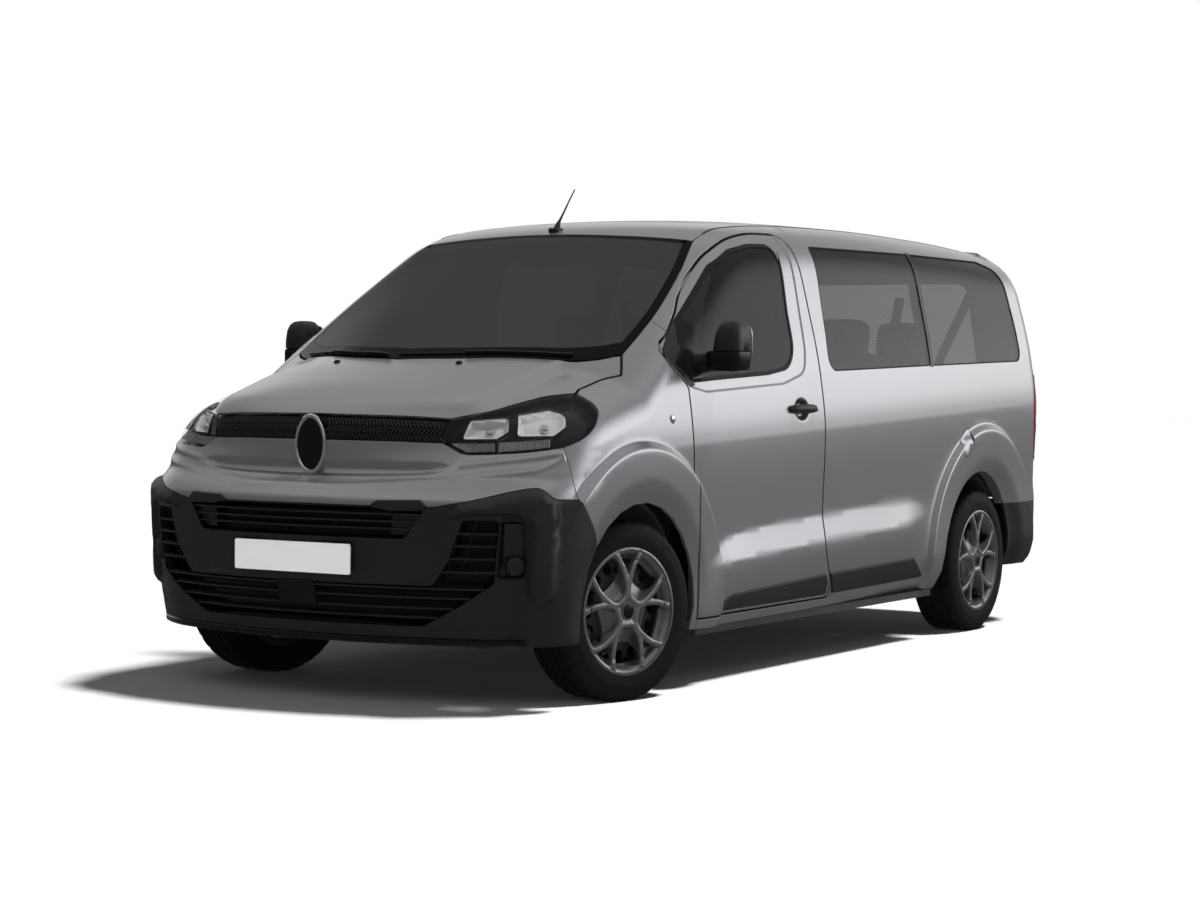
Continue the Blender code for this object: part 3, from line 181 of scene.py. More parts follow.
front_c = curve(
    (0.20, -2.36), (0.25, -2.405), (0.30, -2.42), (0.42, -2.455), (0.55, -2.478), (0.62, -2.485),
    (0.76, -2.487), (0.80, -2.46), (0.85, -2.395), (0.90, -2.375), (1.06, -2.372), (1.15, -2.36),
    (1.3, -2.3),
)
bow_c = curve(
    (0.2, 0.26), (0.5, 0.27), (0.76, 0.27), (0.86, 0.26), (0.95, 0.33), (1.1, 0.38), (1.3, 0.40)
)
rear_c = curve(
    (0.25, 2.42), (0.30, 2.46), (0.36, 2.485), (0.58, 2.4905), (0.64, 2.485), (0.68, 2.47),
    (1.2, 2.462), (1.5, 2.445), (1.7, 2.425), (1.8, 2.405), (1.95, 2.36),
)


def field(x, y, z):
    """Zero on the skin and negative inside."""
    a = np.abs(x) - width(y, z)
    b = z - top(x, y)
    f = front_c(z) + bow_c(z) * x**2 - y
    r = y - rear_c(z) + 0.035 * x**2
    kt = 0.17 - 0.05 * step(-0.6, -1.5, y) - 0.05 * step(-1.5, -2.0, y)
    g = smax(a, f, 0.30 - 0.1 * step(0.75, 1.1, z))
    g = smax(g, b, np.where(y < -1.3, 0.10, kt))
    return smax(g, r, 0.14)


def cast(start, way, far=1.7):
    """The points where rays from inside the body leave its skin."""
    start, way = np.atleast_2d(start).astype(float), np.atleast_2d(way).astype(float)
    low, high = np.zeros(len(start)), np.full(len(start), far)
    for _ in range(40):
        mid = (low + high) / 2
        p = start + way * mid[:, None]
        inside = field(p[:, 0], p[:, 1], p[:, 2]) < 0
        low, high = np.where(inside, mid, low), np.where(inside, high, mid)
    return start + way * ((low + high) / 2)[:, None]


core_z = curve((-1.75, 0.80), (-1.2, 0.95), (-0.7, 1.35), (0.0, 1.45), (2.1, 1.45))


def outward(p):
    """One shared direction for the depth of every panel, so that neighbours never meet."""
    core = p.copy()
    core[:, 0] = np.clip(p[:, 0], -0.5, 0.5)
    core[:, 1] = np.clip(p[:, 1], -1.75, 2.1)
    core[:, 2] = np.minimum(p[:, 2], core_z(core[:, 1]))
    way = p - core
    return way / np.linalg.norm(way, axis=1)[:, None]


# Charts: flat drawing boards for the upright panels (BELT) and the lying ones (DECK)

NOSE_X, NOSE_Y, NOSE_R = 0.45, -1.75, 0.50
TAIL_X, TAIL_Y, TAIL_R = 0.70, 2.20, 0.25
NOSE_U = NOSE_Y - NOSE_R * math.pi / 2 - NOSE_X
TAIL_U = TAIL_Y + TAIL_R * math.pi / 2 + TAIL_X


def belt(uv):
    """Skin points for the chart that runs round the body: (length along the side, height)."""
    uv = np.atleast_2d(uv).astype(float)
    u, z = uv[:, 0].copy(), uv[:, 1]
    side = np.where((u < NOSE_U) | (u > TAIL_U), -1.0, 1.0)
    u = np.where(u < NOSE_U, 2 * NOSE_U - u, np.where(u > TAIL_U, 2 * TAIL_U - u, u))
    nose = np.clip((NOSE_Y - u) / NOSE_R, 0, math.pi / 2)
    tail = np.clip((u - TAIL_Y) / TAIL_R, 0, math.pi / 2)
    x = np.full(len(u), NOSE_X)
    x = np.where(nose >= math.pi / 2, np.clip(u - NOSE_U, 0, NOSE_X), x)
    x = np.where(u > TAIL_Y - 0.3, NOSE_X + (TAIL_X - NOSE_X) * np.clip((u - TAIL_Y + 0.3) / 0.3, 0, 1), x)
    x = np.where(tail >= math.pi / 2, np.clip(TAIL_U - u, 0, TAIL_X), x)
    y = np.clip(u, NOSE_Y, TAIL_Y)
    way = np.stack([np.cos(nose) * np.cos(tail), -np.sin(nose) + np.sin(tail), 0 * u], -1)
    p = cast(np.stack([x, y, z], -1), way)
    p[:, 0] *= side
    return p


def belt_of(p):
    """Where skin points lie in the belt's chart."""
    p = np.atleast_2d(p).astype(float)
    x, y, z = np.abs(p[:, 0]), p[:, 1], p[:, 2]
    side = p[:, 0] < 0
    nose = np.arctan2(NOSE_Y - y, x - NOSE_X)
    tail = np.arctan2(y - TAIL_Y, x - TAIL_X)
    u = y.copy()
    u = np.where(y < NOSE_Y, NOSE_Y - NOSE_R * nose, u)
    u = np.where((y < NOSE_Y) & (x < NOSE_X), NOSE_U + x, u)
    u = np.where(y > TAIL_Y, TAIL_Y + TAIL_R * tail, u)
    u = np.where((y > TAIL_Y) & (x < TAIL_X), TAIL_U - x, u)
    u = np.where(side & (y < 0), 2 * NOSE_U - u, np.where(side, 2 * TAIL_U - u, u))
    return np.stack([u, z], -1)


def side_of(yz):
    """Skin points of the left side at the given y and z."""
    yz = np.atleast_2d(yz).astype(float)
    start = np.stack([np.full(len(yz), 0.15), yz[:, 0], yz[:, 1]], -1)
    return cast(start, np.tile([1.0, 0, 0], (len(yz), 1)))


DECK_X, DECK_Z, DECK_R = 0.40, 0.80, 0.42


def deck(uv):
    """Skin points for the chart that lies over hood and roof: (across, length)."""
    uv = np.atleast_2d(uv).astype(float)
    side = np.where(uv[:, 0] < 0, -1.0, 1.0)
    a = np.abs(uv[:, 0])
    turn = np.maximum(a - DECK_X, 0) / DECK_R
    start = np.stack([np.minimum(a, DECK_X), uv[:, 1], np.full(len(a), DECK_Z)], -1)
    p = cast(start, np.stack([np.sin(turn), 0 * a, np.cos(turn)], -1))
    p[:, 0] *= side
    return p


def deck_of(p):
    """Where skin points lie in the deck's chart."""
    p = np.atleast_2d(p).astype(float)
    a = np.abs(p[:, 0])
    turn = np.arctan2(a - DECK_X, p[:, 2] - DECK_Z)
    u = np.where(a < DECK_X, a, DECK_X + DECK_R * turn)
    return np.stack([np.where(p[:, 0] < 0, -u, u), p[:, 1]], -1)


def above(x, y):
    """Skin points seen from above."""
    x, y = np.broadcast_arrays(np.asarray(x, float), np.asarray(y, float))
    start = np.stack([x.ravel(), y.ravel(), np.full(x.size, 0.6)], -1)
    return cast(start, np.tile([0, 0, 1.0], (x.size, 1)))


# Outlines


def split(points, longest=LONGEST_EDGE):
    """Points added on a line until no step is longer than this."""
    points = np.asarray(points, float)
    longest = longest * FINE
    out = [points[0]]
    for a, b in zip(points[:-1], points[1:]):
        n = max(1, math.ceil(np.linalg.norm(b - a) / longest - 1e-6))
        # Inserted points stand a hair off the line, so that no flat sliver spans three of them
        off = np.array([a[1] - b[1], b[0] - a[0]]) / np.linalg.norm(b - a) * 1e-5 if len(a) == 2 else 0 * a
        out += [a + (b - a) * k / n + off * ((-1) ** k if k < n else 0) for k in range(1, n + 1)]
    return np.array(out)


def rounded(points, closed=True, arc=None):
    """Each point is x, y and an optional corner radius."""
    arc = arc or ARC
    out = []
    n = len(points)
    for i, point in enumerate(points):
        p = np.array(point[:2], float)
        r = point[2] if len(point) > 2 else 0
        if r == 0 or (not closed and i in (0, n - 1)):
            out.append(p)
            continue
        a = np.array(points[i - 1][:2], float) - p
        b = np.array(points[(i + 1) % n][:2], float) - p
        a, b = a / np.linalg.norm(a), b / np.linalg.norm(b)
        half = math.acos(np.clip(a @ b, -1, 1)) / 2
        run = r / math.tan(half)
        centre = p + (a + b) / np.linalg.norm(a + b) * r / math.sin(half)
        first, last = p + a * run - centre, p + b * run - centre
        t0, t1 = math.atan2(first[1], first[0]), math.atan2(last[1], last[0])
        turn = (t1 - t0 + math.pi) % (2 * math.pi) - math.pi
        for k in range(arc + 1):
            t = t0 + turn * k / arc
            out.append(centre + r * np.array([math.cos(t), math.sin(t)]))
    return np.array(out)


def smooth(points, longest=LONGEST_EDGE):
    """A soft line through all points."""
    p = np.asarray(points, float)
    if len(p) < 3:
        return split(p, longest)
    t = np.concatenate([[0], np.cumsum(np.linalg.norm(np.diff(p, axis=0), axis=1))])
    lines = [curve(*zip(t, p[:, k])) for k in range(p.shape[1])]
    longest = longest * FINE
    s = np.unique(
        np.concatenate(
            [np.linspace(a, b, max(1, math.ceil((b - a) / longest)) + 1) for a, b in zip(t[:-1], t[1:])]
        )
    )
    return np.stack([line(s) for line in lines], -1)


def area2(p):
    """Twice the signed area of a flat loop."""
    q = np.roll(p, -1, axis=0)
    return float((p[:, 0] * q[:, 1] - q[:, 0] * p[:, 1]).sum())


def shrink(loop, gaps):
    """A closed loop moved inwards by each edge's own gap. Gap k belongs to the edge from point k."""
    p = np.asarray(loop, float)
    sign = 1 if area2(p) > 0 else -1
    e = np.roll(p, -1, axis=0) - p
    e /= np.linalg.norm(e, axis=1)[:, None]
    normal = np.stack([-e[:, 1], e[:, 0]], -1) * sign
    out = []
    for i in range(len(p)):
        n0, n1, g0, g1 = normal[i - 1], normal[i], gaps[i - 1], gaps[i]
        det = n0[0] * n1[1] - n0[1] * n1[0]
        if abs(det) < 0.17:
            out.append(p[i] + (n0 * g0 + n1 * g1) / 2)
        else:
            out.append(p[i] + np.array([g0 * n1[1] - g1 * n0[1], g1 * n0[0] - g0 * n1[0]]) / det)
    return np.array(out)


def ring(*pieces):
    """A closed loop from lines that follow one another, (points, gap) each, shrunk by the gaps."""
    points, gaps = [], []
    for line, gap in pieces:
        line = np.asarray(line, float)
        for q, share in zip(line, np.broadcast_to(gap, len(line))):
            if points and np.linalg.norm(points[-1] - q) < 1e-5:
                points.pop()
                gaps.pop()
            points.append(q)
            gaps.append(share)
    if np.linalg.norm(points[0] - points[-1]) < 1e-5:
        points.pop()
        gaps.pop()
    return shrink(np.array(points), gaps)


def inside_loop(p, loop, block=500):
    """Which points lie inside a flat loop."""
    a, b = loop, np.roll(loop, -1, axis=0)
    rise = np.where(b[:, 1] == a[:, 1], 1, b[:, 1] - a[:, 1])
    lean = (b[:, 0] - a[:, 0]) / rise
    inside = np.empty(len(p), bool)
    for k in range(0, len(p), block):
        x, y = p[k : k + block, :1], p[k : k + block, 1:]
        over = (a[:, 1] > y) != (b[:, 1] > y)
        inside[k : k + block] = (over & (x < a[:, 0] + (y - a[:, 1]) * lean)).sum(1) % 2 == 1
    return inside


# Panels and plain solids


def nearest(p, a, b, block=400):
    """Distance from each point to the nearest of the segments from a to b, and the spot on it."""
    dx, dy = b[:, 0] - a[:, 0], b[:, 1] - a[:, 1]
    size = np.maximum(dx * dx + dy * dy, 1e-12)
    far, foot = np.empty(len(p)), np.empty((len(p), 2))
    for k in range(0, len(p), block):
        qx, qy = p[k : k + block, :1] - a[:, 0], p[k : k + block, 1:] - a[:, 1]
        t = np.clip((qx * dx + qy * dy) / size, 0, 1)
        gap = (qx - t * dx) ** 2 + (qy - t * dy) ** 2
        best = gap.argmin(1)
        rows = np.arange(len(best))
        far[k : k + block] = np.sqrt(gap[rows, best])
        share = t[rows, best]
        foot[k : k + block] = np.stack([a[best, 0] + share * dx[best], a[best, 1] + share * dy[best]], -1)
    return far, foot


def near_points(p, loop):
    """Distance from each point to the loop, and the nearest point on it."""
    return nearest(p, loop, np.roll(loop, -1, axis=0))


def sheet_mesh(outer, holes, grid, insets=(), creases=(), lines=()):
    """Triangles over a flat outline with holes. Creases are closed loops and lines are open ones."""
    loops = [np.asarray(outer, float)] + [np.asarray(h, float) for h in holes]
    low, high = loops[0].min(0), loops[0].max(0)
    rows = np.arange(np.floor(low[1] / grid), np.ceil(high[1] / grid) + 1)
    cols = np.arange(np.floor(low[0] / grid) - 1, np.ceil(high[0] / grid) + 1)
    uu, vv = np.meshgrid(cols, rows)
    inner = np.stack([(uu + 0.5 * (vv % 2)).ravel() * grid, vv.ravel() * grid], -1)
    keep = inside_loop(inner, loops[0])
    for h in loops[1:]:
        keep &= ~inside_loop(inner, h)
    inner = inner[keep]
    reach = max([0.4 * grid] + [g + 0.3 * grid for g in insets])
    keep = np.ones(len(inner), bool)
    for loop in loops:
        keep &= near_points(inner, loop)[0] > reach
    inner = inner[keep]
    points, edges = [], []

    def add(loop, closed=True):
        first = len(points)
        points.extend(loop)
        edges.extend((first + k, first + (k + 1) % len(loop)) for k in range(len(loop) - (not closed)))

    for loop in loops:
        add(loop)
    for gap in insets:
        add(shrink(loops[0], np.full(len(loops[0]), gap)))
        for h in loops[1:]:
            add(shrink(h, np.full(len(h), -gap)))
    for line in creases:
        add(np.asarray(line, float))
    for line in lines:
        add(line, closed=False)
    keep = np.ones(len(inner), bool)
    for line in creases:
        keep &= near_points(inner, np.asarray(line, float))[0] > 0.25 * grid
    for line in lines:
        keep &= line_gap(inner, line) > 0.25 * grid
    inner = inner[keep]
    points.extend(inner)
    made = geometry.delaunay_2d_cdt([Vector(p) for p in points], edges, [], 0, 1e-7)
    verts = np.array([tuple(v) for v in made[0]])
    faces = np.array([f for f in made[2] if len(f) == 3])
    middle = verts[faces].mean(1)
    keep = inside_loop(middle, loops[0])
    for h in loops[1:]:
        keep &= ~inside_loop(middle, h)
    faces = faces[keep]
    used = np.unique(faces)
    index = np.full(len(verts), -1)
    index[used] = np.arange(len(used))
    return verts[used], index[faces]


def slope(p):
    """Outward normals of the skin."""
    out = np.empty_like(p)
    for k in range(3):
        h = np.zeros(3)
        h[k] = 0.0012
        a, b = p + h, p - h
        out[:, k] = field(a[:, 0], a[:, 1], a[:, 2]) - field(b[:, 0], b[:, 1], b[:, 2])
    return out / np.linalg.norm(out, axis=1)[:, None]


def seam(chart, line, gap):
    """The line with the chart gap that leaves this gap on the skin itself at each of its points."""
    line = np.asarray(line, float)
    ahead = np.gradient(line, axis=0)
    ahead /= np.maximum(np.linalg.norm(ahead, axis=1), 1e-9)[:, None]
    away = np.stack([-ahead[:, 1], ahead[:, 0]], -1)
    h = 0.003
    along = chart(line + ahead * h) - chart(line - ahead * h)
    along /= np.maximum(np.linalg.norm(along, axis=1), 1e-9)[:, None]
    across_way = chart(line + away * h) - chart(line - away * h)
    across_way -= (across_way * along).sum(1)[:, None] * along
    stretch = np.linalg.norm(across_way, axis=1) / (2 * h)
    return line, gap / np.clip(stretch, 0.8, 6.0)


def line_gap(p, line):
    """Distance from each point to an open line."""
    return nearest(p, line[:-1], line[1:])[0]


def lifted(chart, flat, shape):
    """Skin points pushed along their normals by a shape."""
    skin = chart(flat)
    return skin + slope(skin) * shape(flat, skin)[:, None]


def new_object(name, points, faces, looks, slots=None, smooth_faces=True, normals=None):
    """A mesh object from points and faces, with its looks and, if given, its own normals."""
    mesh = bpy.data.meshes.new(name)
    points = np.asarray(points, float)
    mesh.from_pydata([tuple(map(float, p)) for p in points], [], [tuple(map(int, f)) for f in faces])
    for look in looks if isinstance(looks, (list, tuple)) else [looks]:
        mesh.materials.append(look)
    if slots is not None:
        mesh.polygons.foreach_set("material_index", np.asarray(slots, np.int32))
    mesh.polygons.foreach_set("use_smooth", np.full(len(mesh.polygons), smooth_faces))
    if normals is not None:
        mesh.normals_split_custom_set([tuple(map(float, n)) for n in normals])
    made = bpy.data.objects.new(name, mesh)
    bpy.context.scene.collection.objects.link(made)
    return made


def panel(
    name, chart, outer, holes, wall, looks, right=False, sink=0.0, grid=0.03, rim=0.0022, shape=None,
    creases=(), lines=(),
):
    """A closed panel with soft rims, in the looks (face, inner side). shape(flat, skin) lifts its face."""
    grid = grid * SHEET_STEP
    holes = list(holes)
    flat, faces = sheet_mesh(outer, holes, grid, (rim * 0.3, rim) if rim else (), creases, lines)
    skin = chart(flat)
    way = outward(skin)
    normal = slope(skin)
    loops = [np.asarray(outer, float)] + [np.asarray(h, float) for h in holes]
    gap, foot = np.full(len(flat), 9.0), np.zeros_like(flat)
    for loop in loops:
        far, spot = near_points(flat, loop)
        closer = far < gap
        gap[closer], foot[closer] = far[closer], spot[closer]
    inside = skin - way * (sink + wall)
    outside = skin - way * sink
    if shape is not None:
        outside = outside + normal * shape(flat, skin)[:, None]
        h = 0.0012
        normal = np.cross(
            lifted(chart, flat + [h, 0], shape) - lifted(chart, flat - [h, 0], shape),
            lifted(chart, flat + [0, h], shape) - lifted(chart, flat - [0, h], shape),
        )
        normal /= np.maximum(np.linalg.norm(normal, axis=1), 1e-12)[:, None]
        normal *= np.where((normal * way).sum(1) < 0, -1.0, 1.0)[:, None]
    if rim:
        short = np.clip(rim - gap, 0, rim)
        outside = outside - way * (rim - np.sqrt(rim**2 - short**2))[:, None] * 0.9
    n = len(skin)
    facing = np.cross(
        outside[faces[:, 1]] - outside[faces[:, 0]], outside[faces[:, 2]] - outside[faces[:, 0]]
    )
    if (facing * way[faces[:, 0]]).sum() < 0:
        faces = faces[:, ::-1]
    ends = {(a, b) for f in faces for a, b in ((f[0], f[1]), (f[1], f[2]), (f[2], f[0]))}
    edge = np.array([(a, b) for a, b in ends if (b, a) not in ends])
    wall_n = np.zeros((n, 3))
    quad_n = np.cross(inside[edge[:, 0]] - outside[edge[:, 0]], outside[edge[:, 1]] - outside[edge[:, 0]])
    quad_n /= np.linalg.norm(quad_n, axis=1)[:, None]
    np.add.at(wall_n, edge[:, 0], quad_n)
    np.add.at(wall_n, edge[:, 1], quad_n)
    wall_n /= np.maximum(np.linalg.norm(wall_n, axis=1), 1e-9)[:, None]
    if rim:
        bend = np.sin(np.clip((rim - gap) / rim, 0, 1) * math.pi / 2)
        side = np.zeros((n, 3))
        soft = (gap < rim * 0.99) & (gap > 1e-6)
        if soft.any():
            side[soft] = chart(foot[soft]) - skin[soft]
        size = np.linalg.norm(side, axis=1)
        side[size > 1e-7] /= size[size > 1e-7][:, None]
        bare = size <= 1e-7
        side[bare] = wall_n[bare]
        face_n = normal * np.cos(bend * math.pi / 2)[:, None] + side * np.sin(bend * math.pi / 2)[:, None]
        face_n /= np.maximum(np.linalg.norm(face_n, axis=1), 1e-9)[:, None]
    else:
        face_n = normal
    everything = [tuple(f) for f in faces] + [tuple(f[::-1] + n) for f in faces]
    everything += [(b, a, a + n, b + n) for a, b in edge]
    loop_n = [face_n[v] for f in faces for v in f] + [-normal[v] for f in faces for v in f[::-1]]
    for (a, b), q in zip(edge, quad_n):
        na = wall_n[a] if wall_n[a] @ q > 0.7 else q
        nb = wall_n[b] if wall_n[b] @ q > 0.7 else q
        loop_n += [nb, na, na, nb]
    loop_n = np.array(loop_n)
    points = np.concatenate([outside, inside])
    if right:
        points[:, 0] *= -1
        loop_n[:, 0] *= -1
        mirrored, k = [], 0
        for f in everything:
            mirrored.append(loop_n[k : k + len(f)][::-1])
            k += len(f)
        loop_n = np.concatenate(mirrored)
        everything = [f[::-1] for f in everything]
    slots = [0] * len(faces) + [1] * len(faces) + [0] * len(edge)
    looks = looks if isinstance(looks, (list, tuple)) else (looks, looks)
    return new_object(name, points, everything, looks, slots, True, loop_n)


def extrude(name, profile, axis, low, high, look, bevel=0.0, steps=2):
    """A flat outline pushed along an axis, with a bevel on its edges."""
    p = np.asarray(profile, float)
    if area2(p) < 0:
        p = p[::-1]
    n = len(p)
    place = {
        "x": lambda q, t: (t, q[0], q[1]), "y": lambda q, t: (q[0], t, q[1]), "z": lambda q,
        t: (q[0], q[1], t)
    }[axis]
    points = [place(q, low) for q in p] + [place(q, high) for q in p]
    faces = [tuple(range(n))[::-1], tuple(range(n, 2 * n))]
    faces += [(k, (k + 1) % n, n + (k + 1) % n, n + k) for k in range(n)]
    if axis == "y":
        faces = [f[::-1] for f in faces]
    made = new_object(name, points, faces, look)
    if bevel:
        soften(made, bevel, steps)
    else:
        made.data.polygons.foreach_set("use_smooth", np.zeros(len(made.data.polygons), bool))
    return made


def soften(made, width_m, steps=2, angle=30):
    """Bevel the sharp edges."""
    m = made.modifiers.new("soft", "BEVEL")
    m.width = width_m
    m.segments = steps
    m.limit_method = "ANGLE"
    m.angle_limit = math.radians(angle)
    m.harden_normals = True
    return made


def block(name, low, high, look, bevel=0.0, steps=2):
    """A box between two corners, with soft edges where a bevel is given."""
    (x0, y0, z0), (x1, y1, z1) = low, high
    return extrude(name, [(x0, y0), (x1, y0), (x1, y1), (x0, y1)], "z", z0, z1, look, bevel, steps)


def spin(name, profile, segments, look, sharp=32):
    """An (x, radius) outline turned round the x axis."""
    p = np.asarray(profile, float)
    if area2(p) < 0:
        p = p[::-1]
    n = len(p)
    t = 2 * math.pi * np.arange(segments) / segments
    points = np.stack(
        [
            np.tile(p[:, 0], segments), (np.cos(t)[:, None] * p[:, 1]).ravel(),
            (np.sin(t)[:, None] * p[:, 1]).ravel()
        ],
        -1
    )
    faces = []
    for k in range(segments):
        a, b = k * n, (k + 1) % segments * n
        faces += [(a + i, b + i, b + (i + 1) % n, a + (i + 1) % n) for i in range(n)]
    made = new_object(name, points, faces, look)
    crisp(made, sharp)
    return made


def crisp(made, angle):
    """Weld a mesh, face it outwards and keep edges above this angle sharp."""
    mesh = made.data
    bm = bmesh.new()
    bm.from_mesh(mesh)
    bmesh.ops.remove_doubles(bm, verts=bm.verts, dist=1e-6)
    bmesh.ops.recalc_face_normals(bm, faces=bm.faces)
    for e in bm.edges:
        if len(e.link_faces) == 2 and e.calc_face_angle(0) > math.radians(angle):
            e.smooth = False
    bm.to_mesh(mesh)
    bm.free()
    mesh.polygons.foreach_set("use_smooth", np.ones(len(mesh.polygons), bool))
    return made


def facing(spot, n):
    """The transform that stands a piece made along x on a spot, along a normal."""
    turn = Vector((1, 0, 0)).rotation_difference(Vector(n)).to_matrix().to_4x4()
    return Matrix.Translation(Vector(spot)) @ turn


def sweep(name, path, radii, look, sides=12, flat=1.0, closed=False, up=(0, 0, 1)):
    """A round or flattened rod along a path."""
    p = np.asarray(path, float)
    n = len(p)
    radii = np.broadcast_to(np.asarray(radii, float), (n,))
    ahead = np.roll(p, -1, axis=0) - np.roll(p, 1, axis=0)
    if not closed:
        ahead[0], ahead[-1] = p[1] - p[0], p[-1] - p[-2]
    ahead /= np.linalg.norm(ahead, axis=1)[:, None]
    points = []
    for q, d, r in zip(p, ahead, radii):
        a = np.cross(d, np.array(up, float))
        a /= max(np.linalg.norm(a), 1e-9)
        b = np.cross(a, d)
        for j in range(sides):
            t = 2 * math.pi * j / sides
            points.append(q + a * r * math.cos(t) + b * r * flat * math.sin(t))
    faces = []
    for i in range(n if closed else n - 1):
        for j in range(sides):
            k, m = (i + 1) % n, (j + 1) % sides
            faces.append((i * sides + j, i * sides + m, k * sides + m, k * sides + j))
    if not closed:
        faces += [tuple(range(sides))[::-1], tuple(range((n - 1) * sides, n * sides))]
    made = new_object(name, points, faces, look)
    crisp(made, 50)
    return made


def loft(name, levels, look, sides=40):
    """A body of rounded sections one above another: (z, x0, x1, y0, y1, squareness)."""
    t = 2 * math.pi * np.arange(sides) / sides
    points, faces = [], []
    for z, x0, x1, y0, y1, square in levels:
        c, s = np.cos(t), np.sin(t)
        r = (np.abs(c) ** square + np.abs(s) ** square) ** (-1 / square)
        points += [
            ((x0 + x1) / 2 + (x1 - x0) / 2 * a, (y0 + y1) / 2 + (y1 - y0) / 2 * b, z) for a,
            b in zip(r * c, r * s)
        ]
    for k in range(len(levels) - 1):
        for j in range(sides):
            m = (j + 1) % sides
            faces.append((k * sides + j, k * sides + m, (k + 1) * sides + m, (k + 1) * sides + j))
    faces += [tuple(range(sides))[::-1], tuple(range((len(levels) - 1) * sides, len(levels) * sides))]
    made = new_object(name, points, faces, look)
    crisp(made, 50)
    return made


def merged(name, pieces):
    """Several meshes kept as one object."""
    graph = bpy.context.evaluated_depsgraph_get()
    bm = bmesh.new()
    looks = []
    for piece in pieces:
        mesh = bpy.data.meshes.new_from_object(piece.evaluated_get(graph), depsgraph=graph)
        mesh.transform(piece.matrix_world)
        index = []
        for look in piece.data.materials:
            if look not in looks:
                looks.append(look)
            index.append(looks.index(look))
        for polygon in mesh.polygons:
            polygon.material_index = index[min(polygon.material_index, len(index) - 1)]
        bm.from_mesh(mesh)
        bpy.data.meshes.remove(mesh)
    mesh = bpy.data.meshes.new(name)
    bm.to_mesh(mesh)
    bm.free()
    for look in looks:
        mesh.materials.append(look)
    for piece in pieces:
        bpy.data.objects.remove(piece)
    made = bpy.data.objects.new(name, mesh)
    bpy.context.scene.collection.objects.link(made)
    return made


def turned_about(made, centre, angle):
    """Geometry turned about an upright line."""
    made.data.transform(
        Matrix.Translation((*centre, 0)) @ Matrix.Rotation(angle, 4, "Z")
        @ Matrix.Translation((-centre[0], -centre[1], 0))
    )
    return made


def moved(made, offset):
    """Geometry moved by an offset."""
    made.data.transform(Matrix.Translation(offset))
    return made


def place(piece, body, *hides, slot=None, pad=None):
    """One finished piece of the model: its body, and the solids it stands for."""
    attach(piece, body)
    if hides:
        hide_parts(*hides)
    return piece


def arch_arc(arch, r, start, end, n):
    """Points of an arc round a wheel, in the side view."""
    t = np.radians(np.linspace(start, end, n))
    return [(arch[0] + r * math.cos(a), arch[1] + r * math.sin(a)) for a in t]


# Seams that two panels share


SCREEN_BASE = above(0.765, -1.446)[0]
LAMP_TOP = above(0.775, -1.790)[0]
LAMP_IN = np.array([0.536, -2.251, 1.053])

screen_base = [
    (0, -1.826), (0.2, -1.792), (0.35, -1.735), (0.5, -1.660), (0.603, -1.600), (0.694, -1.528),
    (0.745, -1.470), (0.765, -1.446)
]
SCREEN_LOW = above(*zip(*smooth(screen_base)))
SCREEN_SIDE = above(
    *zip(*smooth([(0.765, -1.446), (0.764, -1.330), (0.760, -1.222), (0.722, -0.95), (0.655, -0.700)]))
)
FORK = int(np.argmin(np.abs(SCREEN_SIDE[:, 1] + 1.222)))
SCREEN_TOP = above(*zip(*smooth([(0.655, -0.700), (0.5, -0.722), (0.25, -0.748), (0, -0.757)])))

hood_corner = [tuple(spot) for spot in belt_of(np.array([SCREEN_BASE, (0.816, -1.532, 1.216), LAMP_TOP]))]
HOOD_SIDE = belt(
    split(rounded([hood_corner[0], (*hood_corner[1], 0.02), hood_corner[2]], closed=False), 0.06)
)
LAMP_HOOD = belt(
    smooth(belt_of(np.array([LAMP_TOP, (0.735, -1.90, 1.138), (0.676, -2.024, 1.112), LAMP_IN])))
)
hood_nose = smooth([(belt_of(LAMP_IN)[0, 0], 1.053), (NOSE_U + 0.35, 1.060), (NOSE_U, 1.064)])
HOOD_NOSE = belt(hood_nose)
lamp_fender = smooth(
    [
        belt_of(LAMP_TOP)[0], belt_of(np.array([0.860, -1.800, 1.110]))[0],
        belt_of(np.array([0.904, -1.856, 1.050]))[0], belt_of(np.array([0.900, -1.96, 0.985]))[0],
        belt_of(np.array([0.883, -2.046, 0.955]))[0]
    ]
)
lamp_low = smooth(
    [
        belt_of(np.array([0.883, -2.046, 0.955]))[0], belt_of(np.array([0.75, -2.17, 0.935]))[0],
        belt_of(np.array([0.611, -2.257, 0.928]))[0], belt_of(np.array([0.518, -2.283, 0.968]))[0]
    ]
)
lamp_in = split([lamp_low[-1], hood_nose[0]])
strip_low = smooth([lamp_low[-1], (NOSE_U + 0.30, 0.972), (NOSE_U, 0.973)])

ARCH_BUMPER = side_of(
    [FRONT_ARCH[0] + 0.405 * math.cos(math.radians(140.7)), HUB_Z + 0.405 * math.sin(math.radians(140.7))]
)[0]
CORNER = np.array([0.943, -2.035, 0.770])
fender_fascia = smooth([lamp_low[0], belt_of(CORNER)[0]])
fender_bumper = smooth([belt_of(CORNER)[0], belt_of(ARCH_BUMPER)[0]])
fascia_bumper = smooth([
    belt_of(CORNER)[0], belt_of(
        np.array([0.909, -2.119, 0.772])
    )[0], belt_of(np.array([0.857, -2.181, 0.814]))[0],
    belt_of(np.array([0.648, -2.374, 0.761]))[0], (NOSE_U + 0.52, 0.745), (NOSE_U, 0.747),
])

front_low_angle = 180 + math.degrees(math.asin((HUB_Z - 0.245) / 0.405))
front_arc = belt_of(side_of(arch_arc(FRONT_ARCH, 0.405, 140.7, front_low_angle, 5)))
rear_low_angle = -math.degrees(math.asin((HUB_Z - SILL_Z) / 0.405))
fender_arc = belt_of(side_of(arch_arc(FRONT_ARCH, 0.405, rear_low_angle, 140.7, 12)))

